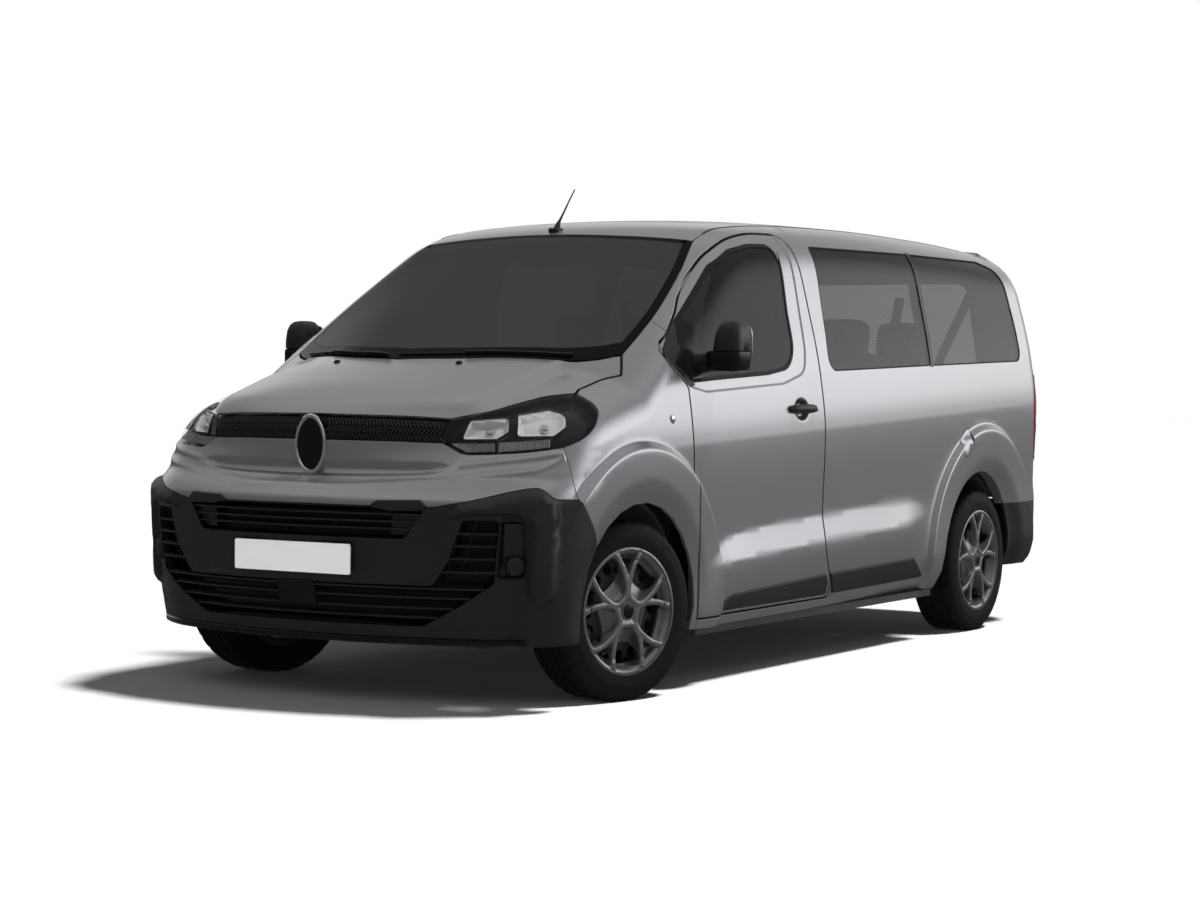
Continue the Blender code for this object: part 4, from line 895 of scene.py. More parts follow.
door_front = smooth([
    (-1.160, DOOR_BOTTOM_Z), (-1.160, 0.370), (-1.170, 0.50), (-1.190, 0.694), (-1.200, 0.885),
    (-1.206, 1.025),
    (-1.206, 1.165), (-1.235, 1.195), (-1.315, 1.262), (-1.322, 1.300), (-1.219, 1.383),
], 0.14)
door_top = smooth(
    [
        (-1.219, 1.383), (-1.113, 1.461), (-1.020, 1.537), (-0.869, 1.636), (-0.703, 1.724),
        (-0.480, 1.790), (-0.262, 1.815), (-0.13, 1.818)
    ],
    0.14
)
door_rear = smooth(
    [
        (-0.13, 1.818), (-0.075, 1.800), (-0.060, 1.75), (-0.058, 1.2), (-0.058, 0.52), (-0.02, 0.42),
        (0.029, 0.34), (0.029, DOOR_BOTTOM_Z)
    ],
    0.20
)
door_low = split([(0.029, DOOR_BOTTOM_Z), (-1.160, DOOR_BOTTOM_Z)], 0.20)
fender_sill = split([(-1.160, SILL_Z), (-1.160, DOOR_BOTTOM_Z)])
pillar_foot = belt_of(np.array([SCREEN_SIDE[FORK]]))[0]
fender_tip = split([(-1.219, 1.383), pillar_foot])
screen_fender = belt_of(SCREEN_SIDE[: FORK + 1])
screen_pillar = belt_of(SCREEN_SIDE[FORK:])

roof_xy = smooth(
    [(0.655, -0.700), (0.638, -0.50), (0.628, -0.25), (0.622, 0.2), (0.62, 1.2), (0.62, 2.1), (0.62, 2.30)],
    0.25
)
ROOF_SIDE = above(*zip(*roof_xy))
TAIL_TOP_Z = 1.800
tail_top = split(
    [(TAIL_U - 0.60, TAIL_TOP_Z - 0.004), (TAIL_U - 0.3, TAIL_TOP_Z), (TAIL_U, TAIL_TOP_Z)], 0.3
)
ROOF_TAIL = belt(tail_top)
roof_corner = split([ROOF_SIDE[-1], ROOF_TAIL[0]], 0.05)
roof_corner = belt(belt_of(roof_corner))
roof_corner[0] = ROOF_SIDE[-1]
roof_side = belt_of(np.concatenate([ROOF_SIDE, roof_corner[1:]]))
TAIL_SIDE_U = 2.470
BUMPER_Z = 0.600
tail_side = smooth(
    [
        (TAIL_SIDE_U, BUMPER_Z), (TAIL_SIDE_U, 1.24), (TAIL_SIDE_U + 0.008, 1.5), (2.50, 1.68),
        (2.56, 1.765), tail_top[0]
    ],
    0.2
)
LAMP_Z = (0.80, 1.235)
rear_arc_end = 180 - math.degrees(math.asin((BUMPER_Z - HUB_Z) / 0.430))
rear_arc_low = math.degrees(math.asin((HUB_Z - SILL_Z) / 0.430))
REAR_DROP = 0.29
rear_arc = belt_of(side_of(arch_arc(REAR_ARCH, 0.430, 180 + rear_arc_low, 180 - rear_arc_end, 15)))
rear_bumper_arc = belt_of(
    side_of(
        arch_arc(
            REAR_ARCH, 0.430, 180 - rear_arc_end, -math.degrees(math.asin((HUB_Z - REAR_DROP) / 0.430)), 5
        )
    )
)
bumper_top = split([rear_bumper_arc[0], (TAIL_SIDE_U, BUMPER_Z)], 0.2)

S = SEAT_GAP / 2
D = SHUT_GAP / 2


def flip(line):
    """A line run the other way."""
    return np.asarray(line)[::-1]


def across(half, centre):
    """A line from the left side to the middle, carried on to the right side."""
    other = np.array(half, float)
    other[:, 0] = 2 * centre - other[:, 0]
    return np.concatenate([half, flip(other)])


def across3(half):
    """A line of skin points from the middle, carried on to the right side."""
    other = np.array(half, float)
    other[:, 0] *= -1
    return np.concatenate([half, flip(other)])


# Side window outlines
door_glass = rounded([
    (-1.256, 1.343), (-1.159, 1.421, 0.05), (-0.777, 1.662, 0.2), (-0.589, 1.735, 0.2), (-0.409, 1.765, 0.2),
    (-0.165, 1.772, 0.05), (-0.205, 1.717, 0.1), (-0.247, 1.481, 0.3), (-0.262, 1.255, 0.14),
    (-0.527, 1.222, 0.3),
    (-1.215, 1.190, 0.06), (-1.305, 1.285, 0.03),
])
mid_glass = rounded(
    [(0.108, 1.772, 0.03), (1.120, 1.782, 0.02), (1.088, 1.268, 0.02), (0.030, 1.238, 0.06)]
)
slider_glass = rounded(
    [(0.108, 1.772, 0.03), (1.036, 1.780, 0.03), (1.030, 1.266, 0.05), (0.052, 1.238, 0.06)]
)
rear_glass = rounded(
    [
        (1.150, 1.782, 0.02), (1.965, 1.780, 0.1), (2.160, 1.740, 0.10), (2.185, 1.500, 0.3),
        (2.195, 1.296, 0.06), (1.112, 1.268, 0.02)
    ]
)


def eased(loop):
    """The loop with its corners cut twice."""
    p = split(np.concatenate([loop, loop[:1]]), 0.05)[:-1]
    for _ in range(2):
        after = np.roll(p, -1, axis=0)
        p = np.stack([0.75 * p + 0.25 * after, 0.25 * p + 0.75 * after], 1).reshape(-1, 2)
    return p


door_glass, mid_glass, slider_glass, rear_glass = [
    eased(loop) for loop in (door_glass, mid_glass, slider_glass, rear_glass)
]


def hole(loop):
    """A closed outline with points close enough for the curved skin."""
    return split(np.concatenate([loop, loop[:1]]), 0.30)[:-1]


# Looks, all procedural in object space


def look(
    name, colour, rough, metal=0.0, vary=0.06, grain=30.0, rough_vary=0.06, bump=0.0, bump_grain=600.0,
    coat=0.0, alpha=1.0, stretch=None, detail=4.0, glow=0.0, sheen=0.0, dirt=None, level=0.5, ior=1.5,
):
    """A principled look whose colour and roughness wander a little over the surface."""
    made = bpy.data.materials.new(name)
    made.use_nodes = True
    made.diffuse_color = (*colour, 1)
    nodes, links = made.node_tree.nodes, made.node_tree.links
    bsdf = nodes["Principled BSDF"]
    bsdf.inputs["Metallic"].default_value = metal
    bsdf.inputs["Alpha"].default_value = alpha
    bsdf.inputs["Specular IOR Level"].default_value = level
    bsdf.inputs["IOR"].default_value = ior
    bsdf.inputs["Coat Weight"].default_value = coat
    bsdf.inputs["Coat Roughness"].default_value = 0.03
    bsdf.inputs["Sheen Weight"].default_value = sheen
    if glow:
        bsdf.inputs["Emission Color"].default_value = (*colour, 1)
        bsdf.inputs["Emission Strength"].default_value = glow
    where = nodes.new("ShaderNodeTexCoord")
    scale = nodes.new("ShaderNodeMapping")
    scale.inputs["Scale"].default_value = stretch or (1, 1, 1)
    links.new(where.outputs["Object"], scale.inputs["Vector"])
    noise = nodes.new("ShaderNodeTexNoise")
    noise.inputs["Scale"].default_value = grain
    noise.inputs["Detail"].default_value = detail
    links.new(scale.outputs["Vector"], noise.inputs["Vector"])
    mix = nodes.new("ShaderNodeMix")
    mix.data_type = "RGBA"
    mix.inputs[6].default_value = (*[max(0, c * (1 - vary)) for c in colour], 1)
    mix.inputs[7].default_value = (*[min(1, c * (1 + vary)) for c in (dirt or colour)], 1)
    links.new(noise.outputs["Fac"], mix.inputs[0])
    links.new(mix.outputs[2], bsdf.inputs["Base Color"])
    spread = nodes.new("ShaderNodeMapRange")
    spread.inputs["From Min"].default_value = 0.3
    spread.inputs["From Max"].default_value = 0.7
    spread.inputs["To Min"].default_value = max(0.0, rough - rough_vary)
    spread.inputs["To Max"].default_value = min(1.0, rough + rough_vary)
    links.new(noise.outputs["Fac"], spread.inputs["Value"])
    links.new(spread.outputs["Result"], bsdf.inputs["Roughness"])
    if bump:
        fine = nodes.new("ShaderNodeTexNoise")
        fine.inputs["Scale"].default_value = bump_grain
        fine.inputs["Detail"].default_value = 3.0
        links.new(scale.outputs["Vector"], fine.inputs["Vector"])
        lift = nodes.new("ShaderNodeBump")
        lift.inputs["Strength"].default_value = bump
        lift.inputs["Distance"].default_value = 0.0006
        links.new(fine.outputs["Fac"], lift.inputs["Height"])
        links.new(lift.outputs["Normal"], bsdf.inputs["Normal"])
    return made


PAINT = look(
    "paint_grey", (0.330, 0.327, 0.346), 0.29, metal=0.82, vary=0.03, grain=1500, rough_vary=0.03,
    coat=0.35, detail=1.0
)
LINING = look("inner_lining", (0.30, 0.30, 0.305), 0.85, vary=0.08, grain=70, bump=0.1, level=0.2)
TRIM = look("inner_trim", (0.045, 0.046, 0.050), 0.75, vary=0.12, grain=90, bump=0.4, level=0.25)
DARK = look(
    "bumper_plastic", (0.0105, 0.0108, 0.0115), 0.44, vary=0.12, grain=60, rough_vary=0.05, bump=0.30,
    bump_grain=900, ior=1.40
)
GLOSS = look("gloss_black", (0.006, 0.006, 0.007), 0.14, vary=0.10, grain=15, rough_vary=0.03, ior=1.22)
GLASS = look(
    "side_glass", (0.012, 0.013, 0.014), 0.03, vary=0.05, grain=3, rough_vary=0.01, alpha=0.50, ior=1.30
)
DOOR_GLASS = look(
    "door_glass", (0.010, 0.011, 0.012), 0.03, vary=0.05, grain=3, rough_vary=0.01, alpha=0.80, ior=1.16
)
SCREEN = look(
    "screen_glass", (0.036, 0.036, 0.037), 0.03, vary=0.05, grain=3, rough_vary=0.01, alpha=0.86, ior=1.06
)
BORDER = look("screen_border", (0.006, 0.006, 0.007), 0.05, vary=0.08, grain=9, rough_vary=0.02, ior=1.06)
SEAL = look("window_rubber", (0.007, 0.007, 0.007), 0.55, vary=0.10, grain=50, level=0.15)
TYRE = look(
    "tyre_rubber", (0.0050, 0.0050, 0.0054), 0.62, vary=0.16, grain=35, rough_vary=0.08, bump=0.25,
    bump_grain=400, dirt=(0.0075, 0.0072, 0.0070), level=0.10
)
SILVER = look(
    "wheel_cover", (0.205, 0.199, 0.193), 0.30, metal=0.85, vary=0.05, grain=700, rough_vary=0.05,
    coat=0.15, detail=1.0
)
WHEEL_STEEL = look("wheel_steel", (0.022, 0.022, 0.023), 0.48, metal=0.3, vary=0.15, grain=40, level=0.3)
BRAKE = look("brake_iron", (0.16, 0.15, 0.145), 0.45, metal=0.9, vary=0.25, grain=60)
CHROME = look("bright_metal", (0.74, 0.74, 0.75), 0.12, metal=1.0, vary=0.04, grain=20, rough_vary=0.04)
REFLECTOR = look(
    "lamp_reflector", (0.80, 0.80, 0.81), 0.20, metal=0.70, vary=0.04, grain=20, rough_vary=0.04
)
RIB = look("lamp_rib", (0.30, 0.30, 0.31), 0.32, metal=0.6, vary=0.06, grain=40)
MIRROR_GLASS = look(
    "mirror_glass", (0.55, 0.57, 0.60), 0.04, metal=1.0, vary=0.03, grain=8, rough_vary=0.01
)
LENS = look(
    "lamp_lens", (0.05, 0.05, 0.055), 0.03, vary=0.03, grain=12, rough_vary=0.01, alpha=0.07, level=0.5
)
RED = look("tail_lens", (0.26, 0.008, 0.010), 0.12, vary=0.10, grain=60, rough_vary=0.03, coat=0.5)
PLATE = look("plate_white", (0.97, 0.97, 0.96), 0.45, vary=0.02, grain=25, rough_vary=0.04)
CLOTH = look(
    "seat_cloth", (0.030, 0.031, 0.036), 0.92, vary=0.25, grain=260, bump=0.9, bump_grain=520, sheen=0.2,
    level=0.2
)
CARPET = look(
    "carpet", (0.024, 0.024, 0.026), 0.97, vary=0.3, grain=300, bump=1.0, bump_grain=350, level=0.2
)
UNDER = look(
    "underbody", (0.040, 0.040, 0.042), 0.66, metal=0.25, vary=0.25, grain=18, bump=0.4, bump_grain=160,
    dirt=(0.065, 0.061, 0.056), level=0.3
)
CAST = look(
    "cast_metal", (0.14, 0.14, 0.14), 0.55, metal=0.8, vary=0.25, grain=30, bump=0.5, bump_grain=240
)
BELT_WEB = look(
    "belt_webbing", (0.03, 0.03, 0.033), 0.80, vary=0.2, grain=400, bump=0.5, bump_grain=600, level=0.2
)

for node, finish in (
    ("floor_pan", UNDER), ("front_structure", UNDER), ("front_subframe", UNDER), ("engine_block", CAST),
    ("rear_axle", UNDER),
    ("knuckle_left", CAST), ("knuckle_right", CAST), ("dashboard", TRIM), ("steering_wheel", TRIM),
    ("driver_seat", CLOTH),
    ("passenger_seat", CLOTH), ("bench_row2", CLOTH), ("bench_row3", CLOTH), ("number_plate", PLATE),
    ("roof_aerial", DARK),
    ("mirror_left", DARK), ("mirror_right", DARK),
):
    solid = bpy.data.objects.get(node)
    if solid is not None:
        solid.data.materials.clear()
        solid.data.materials.append(finish)


# Body panels, glass and their rubbers
PANEL = (PAINT, LINING)


def plan(p):
    """The plan view of skin points."""
    return np.atleast_2d(p)[:, :2]


def plan_chart(uv):
    """Skin points for the chart seen straight from above."""
    return above(uv[:, 0], uv[:, 1])


def window(name, chart, loop, body, node, right=False, look=None, frame_in=0.006, deep=0.0):
    """A pane with a rubber round it."""
    look = look or GLASS
    inner = shrink(hole(loop), np.full(len(hole(loop)), 0.004))
    pane_piece = panel(
        name + "_pane", chart, inner, [], 0.005, (look, look), right, sink=0.002 + deep, grid=0.05, rim=0
    )
    place(pane_piece, body, node, slot="glass")
    outer = hole(loop)[::2]
    outer = shrink(outer, np.full(len(outer), -0.0018))
    seal = panel(
        name + "_rubber", chart, outer, [shrink(outer, np.full(len(outer), frame_in))], 0.010, (SEAL, SEAL),
        right, sink=deep - 0.0008, grid=0.05, rim=0.0012
    )
    place(seal, body, slot="rubber")


def arch_edge(p, centre, rise, reach):
    """How far a crisp edge of the arch's flare stands off the soft one."""
    r = np.hypot(p[:, 1] - centre, p[:, 2] - HUB_Z)
    soft = 1 - step(reach - 0.06, reach + 0.02, r)
    sharp = 1 - step(reach - 0.042, reach + 0.004, r)
    side = step(0.55, 0.75, p[:, 0])
    return rise * (sharp - soft) * step(0.36, 0.50, r) * side


def flared(flat, skin):
    return arch_edge(skin, FRONT_AXLE_Y, 0.030, 0.64) + arch_edge(skin, REAR_AXLE_Y, 0.028, 0.66)


def arch_lines():
    """Where the flares and the body's long soft edges bend most, as lines of the belt."""
    lines = []
    for centre, reach in ((FRONT_AXLE_Y, 0.64), (REAR_AXLE_Y, 0.66)):
        for more in (-0.042, -0.031, -0.019, -0.007, 0.004):
            lines.append(belt_of(side_of(arch_arc((centre, HUB_Z), reach + more, -4, 184, 110))))
    y = np.linspace(-1.12, 1.08, 111)
    for share in (-0.3, 0.0, 0.25, 0.5, 0.75, 1.0, 1.3):
        lines.append(np.stack([y, bulge_up(y) * (1 - share) + bulge_low(y) * share], -1))
    y = np.linspace(-1.70, 2.15, 190)
    lines += [np.stack([y, 0.985 + 0.038 * y + more], -1) for more in (-0.02, 0.0, 0.02, 0.04)]
    return lines


BENDS = arch_lines()
tail_lamp_in = rounded(
    [
        (TAIL_SIDE_U, LAMP_Z[1]), (2.34, LAMP_Z[1], 0.05), (2.31, 1.0, 0.1), (2.34, LAMP_Z[0], 0.04),
        (TAIL_SIDE_U, LAMP_Z[0])
    ],
    closed=False
)
tail_low = [p for p in tail_side if p[1] <= LAMP_Z[0] - 0.02] + [(TAIL_SIDE_U, LAMP_Z[0])]
tail_mid = split([(TAIL_SIDE_U, LAMP_Z[0]), (TAIL_SIDE_U, LAMP_Z[1])], 0.2)
tail_high = [(TAIL_SIDE_U, LAMP_Z[1])] + [p for p in tail_side if p[1] > LAMP_Z[1] + 0.006]
body_edges = [
    (flip(fender_tip), S), seam(belt, door_top, D), seam(belt, door_rear, D), (door_low, D),
    (flip(fender_sill), S),
    (split([(-1.160, SILL_Z), rear_arc[0]], 0.3), 0), (rear_arc, 0), (bumper_top, S), (tail_low, D),
    (flip(tail_lamp_in), S), seam(belt, tail_high, D), (flip(roof_side), S), (flip(screen_pillar), S),
]
slider = rounded(
    [
        (0.012, 1.808, 0.03), (1.096, 1.812, 0.03), (1.096, DOOR_BOTTOM_Z + 0.01, 0.05),
        (0.066, DOOR_BOTTOM_Z + 0.01, 0.05), (0.066, 0.345, 0.02), (-0.022, 0.50, 0.05)
    ]
)
slider = split(np.concatenate([slider, slider[:1]]), 0.25)[:-1]
flap = rounded([(1.372, 0.916, 0.02), (1.480, 0.990, 0.02), (1.494, 0.886, 0.02), (1.402, 0.826, 0.02)])
outline = ring(*body_edges)


side_holes = [hole(mid_glass), hole(rear_glass)]
place(
    panel(
        "side_left", belt, outline, side_holes + [shrink(flap, np.full(len(flap), -0.0012))], SIDE_WALL,
        PANEL, shape=flared, grid=0.024, lines=BENDS
    ),
    "body", "body_side_left", slot="paint"
)
place(
    panel(
        "fuel_flap", belt, shrink(flap, np.full(len(flap), 0.0012)), [], 0.003, (PAINT, PAINT), rim=0.0012,
        shape=flared
    ),
    "body", slot="paint"
)
place(
    panel(
        "side_right", belt, outline, [shrink(slider, -seam(belt, slider, D)[1]), hole(rear_glass)],
        SIDE_WALL, PANEL, right=True, shape=flared, grid=0.024, lines=BENDS
    ),
    "body", "body_side_right", slot="paint"
)
place(
    panel(
        "slider_right", belt, shrink(slider, seam(belt, slider, D)[1]), [hole(slider_glass)], SIDE_WALL,
        PANEL, right=True, shape=flared, grid=0.024, lines=BENDS
    ),
    "body", "sliding_door_right", slot="paint"
)
window("mid_left", belt, mid_glass, "body", "glass_left_mid")
window("rear_left", belt, rear_glass, "body", "glass_left_rear")
window("slider_window", belt, slider_glass, "body", "glass_slider", right=True)
window("rear_right", belt, rear_glass, "body", "glass_right_rear", right=True)

for name, right, quad in (
    ("left", False, [(1.083, 1.262), (1.117, 1.262), (1.155, 1.787), (1.115, 1.787)]),
    ("right", True, [(1.0998, 1.262), (1.117, 1.262), (1.155, 1.787), (1.0998, 1.787)]),
    ("slider", True, [(1.025, 1.262), (1.0922, 1.262), (1.0922, 1.787), (1.031, 1.787)]),
):
    loop = split(np.concatenate([quad, quad[:1]]), 0.3)[:-1]
    place(
        panel(
            "window_strip_" + name, belt, loop, [], 0.003, (GLOSS, GLOSS), right, sink=-0.0018, grid=0.04,
            rim=0.0012
        ),
        "body", slot="dark_plastic"
    )

HANDLE = (-0.265, 1.078)


def handle_dish(flat, skin):
    """The hollow behind the door handle."""
    r = np.hypot((flat[:, 0] - HANDLE[0]) / 0.075, (flat[:, 1] - HANDLE[1]) / 0.052)
    return -0.017 * (1 - step(0.45, 1.0, r))


surround = rounded([
    (-1.34, 1.30), (-1.193, 1.168, 0.03), (-1.063, 1.146, 0.05), (-0.397, 1.178, 0.20), (-0.190, 1.225, 0.10),
    (-0.156, 1.326, 0.20), (-0.112, 1.70, 0.20), (-0.110, 1.84), (-1.34, 1.84),
])
surround = split(np.concatenate([surround, surround[:1]]), 0.25)[:-1]


PRESS = [
    surround, shrink(surround, np.full(len(surround), 0.005)),
    shrink(surround, np.full(len(surround), 0.0105)), shrink(surround, np.full(len(surround), 0.016))
]


def door_form(flat, skin):
    """The door's handle hollow, the pressed surround of its window and its share of the arch."""
    inside = inside_loop(flat, surround)
    gap = near_points(flat, surround)[0]
    press = np.where(inside, -0.0055 * step(0.0, 0.016, gap), 0.0)
    return handle_dish(flat, skin) + press + flared(flat, skin)


turn = np.linspace(0, 2 * math.pi, 41)[:-1]
DISH_RINGS = [
    np.stack(
        [HANDLE[0] + 0.075 * k * np.cos(turn), HANDLE[1] + 0.052 * k * np.sin(turn)], -1
    ) for k in (1.0, 0.82, 0.64, 0.46)
]
SWING_GAP = 0.001
door_ring = ring(
    seam(belt, door_front, D), seam(belt, door_top, D + SWING_GAP), seam(belt, door_rear, D + SWING_GAP),
    (door_low, D)
)
fender_ring = ring(
    (fender_sill, S), seam(belt, door_front, D), (fender_tip, S), (flip(screen_fender), S),
    seam(belt, belt_of(HOOD_SIDE), D),
    (lamp_fender, S), (fender_fascia, S), (fender_bumper, S), (flip(fender_arc), 0),
    (split([fender_arc[0], (-1.160, SILL_Z)]), 0),
)
lamp_ring = ring((lamp_fender, S), (lamp_low, S), (lamp_in, S), seam(belt, flip(belt_of(LAMP_HOOD)), D))
for name, right in (("left", False), ("right", True)):
    place(
        panel(
            "door_skin_" + name, belt, door_ring, [hole(door_glass)], SIDE_WALL, PANEL, right, grid=0.018,
            shape=door_form, creases=[*DISH_RINGS, *PRESS], lines=BENDS
        ),
        "door_" + name, "door_" + name, slot="paint"
    )
    window(
        "door_window_" + name, belt, door_glass, "door_" + name, "glass_door_" + name, right, DOOR_GLASS,
        frame_in=0.016, deep=0.0052
    )
    sail = [
        (-1.148, 1.432), (-1.219, 1.3795), (-1.3165, 1.299), (-1.309, 1.264), (-1.232, 1.2005),
        (-1.204, 1.176), (-1.150, 1.180), (-1.205, 1.260), (-1.205, 1.345)
    ]
    sail = split(np.concatenate([sail, sail[:1]]), 0.2)[:-1]
    place(
        panel(
            "sail_" + name, belt, sail, [], 0.010, (DARK, DARK), right, sink=-0.0006, grid=0.02, rim=0.002
        ),
        "door_" + name, slot="dark_plastic"
    )
    place(
        panel(
            "wing_" + name, belt, fender_ring, [], FENDER_WALL, PANEL, right, grid=0.018, shape=flared,
            lines=BENDS
        ),
        "body", "fender_" + name, slot="paint"
    )
    lens = panel("lamp_lens_" + name, belt, lamp_ring, [], 0.004, (LENS, LENS), right, grid=0.03)
    place(lens, "body", "headlamp_" + name, slot="clear")
    back = panel(
        "lamp_back_" + name, belt, shrink(lamp_ring, np.full(len(lamp_ring), 0.002)), [], 0.04,
        (GLOSS, GLOSS), right, sink=0.045, grid=0.04, rim=0
    )
    place(back, "body", slot="dark_plastic")
    tail = panel(
        "tail_lens_" + name, belt, ring((tail_lamp_in, S), (tail_mid, D)), [], 0.05, (RED, RED), right,
        sink=-0.004, grid=0.03, rim=0.006
    )
    place(tail, "body", "tail_lamp_" + name, slot="red")

# Front
half_top = np.concatenate([lamp_low, strip_low[1:]])
fascia_loop = ring(
    (across(half_top, NOSE_U), S),
    (np.stack([2 * NOSE_U - fender_fascia[:, 0], fender_fascia[:, 1]], -1), S),
    (flip(across(fascia_bumper, NOSE_U)), S),
    (flip(fender_fascia), S),
)
groove_top = smooth(
    [(-0.585, 0.889), (-0.50, 0.902), (0.0, 0.903), (0.50, 0.902), (0.585, 0.889)], 0.3
) + [NOSE_U, 0]
groove_low = smooth(
    [
        (-0.585, 0.889), (-0.50, 0.855), (-0.25, 0.842), (0.0, 0.839), (0.25, 0.842), (0.50, 0.855),
        (0.585, 0.889)
    ],
    0.3
) + [NOSE_U, 0]
GROOVE = np.concatenate([groove_top, flip(groove_low)[1:-1]])
UPPER_RIDGE = np.array([(0.585, 0.889), (0.715, 0.907), (0.895, 0.931), (0.95, 0.936)])
LOWER_RIDGE = np.array(
    [
        (0.0, 0.812), (0.235, 0.813), (0.530, 0.836), (0.664, 0.855), (0.832, 0.877), (0.897, 0.901),
        (0.95, 0.930)
    ]
)


def beside(line, gap):
    """The line moved sideways."""
    ahead = np.gradient(line, axis=0)
    ahead /= np.linalg.norm(ahead, axis=1)[:, None]
    return line + np.stack([-ahead[:, 1], ahead[:, 0]], -1) * gap


FLUTES = []
for share in (0.19, 0.38, 0.50, 0.75):
    flute = np.copy(groove_low)
    flute[:, 1] += share * (
        np.interp(groove_low[:, 0], groove_top[:, 0], groove_top[:, 1]) - groove_low[:, 1]
    )
    FLUTES.append(flute[1:-1])
RIDGE_LINES = []
for line, gaps in (
    (split(UPPER_RIDGE, 0.012), (-0.018, -0.012, -0.006, 0, 0.006, 0.012, 0.018)),
    (split(LOWER_RIDGE, 0.012), (-0.016, -0.01, -0.005, 0, 0.005, 0.01, 0.016))
):
    for gap in gaps:
        RIDGE_LINES += [beside(line, gap) + [NOSE_U, 0], beside(line, gap) * [-1, 1] + [NOSE_U, 0]]


def fascia_form(flat, skin):
    """The pointed groove under the strip and the two soft ridges that run to the lamps."""
    order_top = np.interp(flat[:, 0], groove_top[:, 0], groove_top[:, 1])
    order_low = np.interp(flat[:, 0], groove_low[:, 0], groove_low[:, 1])
    u = np.abs(flat[:, 0] - NOSE_U)
    t = (order_top - flat[:, 1]) / np.maximum(order_top - order_low, 1e-4)
    groove = -0.020 * step(0.0, 0.50, t) * (1 - step(0.62, 1.0, t)) * (1 - step(0.44, 0.58, u)) * (u < 0.585)
    q = np.stack([u, flat[:, 1]], -1)
    ridges = 0.0065 * np.exp(
        -((line_gap(q, UPPER_RIDGE) / 0.012) ** 2)
    ) + 0.0045 * np.exp(-((line_gap(q, LOWER_RIDGE) / 0.011) ** 2))
    return groove + ridges * step(0.0, 0.012, near_points(flat, fascia_loop)[0]) + flared(flat, skin)


place(
    panel(
        "fascia", belt, fascia_loop, [], 0.034, PANEL, grid=0.013, shape=fascia_form, creases=[GROOVE],
        lines=[*FLUTES, *RIDGE_LINES]
    ),
    "body", "front_fascia", slot="paint"
)
strip_loop = ring(
    (across(hood_nose, NOSE_U), D), (
        np.stack([2 * NOSE_U - flip(lamp_in)[:, 0], flip(lamp_in)[:, 1]], -1), S
    ),
    (flip(across(strip_low, NOSE_U)), S), (lamp_in, S),
)
place(
    panel("strip_back", belt, strip_loop, [], 0.008, (GLOSS, GLOSS), sink=0.014, grid=0.04, rim=0), "body",
    "grille_strip", slot="dark_plastic"
)

bumper_low = split([front_arc[-1], (NOSE_U, 0.245)], 0.2)
bumper_loop = ring(
    (across(fascia_bumper, NOSE_U), S),
    (np.stack([2 * NOSE_U - fender_bumper[:, 0], fender_bumper[:, 1]], -1), S),
    (np.stack([2 * NOSE_U - front_arc[:, 0], front_arc[:, 1]], -1), 0),
    (flip(across(bumper_low, NOSE_U)), 0), (flip(front_arc), 0), (flip(fender_bumper), S),
)
N = NOSE_U
upper_grille = rounded(
    [
        (N - 0.515, 0.740, 0.015), (N - 0.455, 0.630, 0.02), (N + 0.455, 0.630, 0.02),
        (N + 0.515, 0.740, 0.015)
    ]
)
mouth_half = [
    (0.0, 0.463), (0.528, 0.463, 0.02), (0.577, 0.556, 0.03), (0.618, 0.700, 0.012), (0.718, 0.700, 0.012),
    (0.703, 0.474, 0.03), (0.60, 0.390, 0.08), (0.486, 0.315, 0.03), (0.0, 0.315)
]
mouth_line = rounded(mouth_half, closed=False)
mouth = np.concatenate([mouth_line, (mouth_line * [-1, 1])[::-1][1:-1]]) + [N, 0]
bezel = [
    (0.578, 0.701, 0.01), (0.601, 0.752, 0.02), (0.624, 0.764, 0.02), (0.807, 0.812, 0.02),
    (0.843, 0.811, 0.03), (0.893, 0.764, 0.02), (0.902, 0.700, 0.05), (0.896, 0.583, 0.1),
    (0.891, 0.451, 0.1), (0.881, 0.412, 0.02), (0.839, 0.387, 0.02), (0.799, 0.424, 0.02),
    (0.795, 0.690, 0.03), (0.755, 0.722, 0.02), (0.640, 0.718, 0.03)
]
pocket = [(0.724, 0.696, 0.008), (0.789, 0.696, 0.012), (0.793, 0.500, 0.012), (0.712, 0.492, 0.012)]


def both_sides(points):
    """A loop drawn in distances from the middle of the nose, on the left and on the right."""
    loop = split(np.concatenate([rounded(points), rounded(points)[:1]]), 0.20)[:-1]
    return loop + [N, 0], (loop * [-1, 1] + [N, 0])[::-1]


BEZELS, POCKETS = both_sides(bezel), both_sides(pocket)
DEEPER = [shrink(loop, np.full(len(loop), 0.004)) for loop in POCKETS]
RIDGES = [shrink(loop, np.full(len(loop), 0.006)) for loop in BEZELS]
BEZEL_OUT, BEZEL_IN = split(rounded(bezel[:12], closed=False), 0.02) + [N, 0], split(
    rounded([*bezel[11:], bezel[0]], closed=False), 0.02
) + [N, 0]


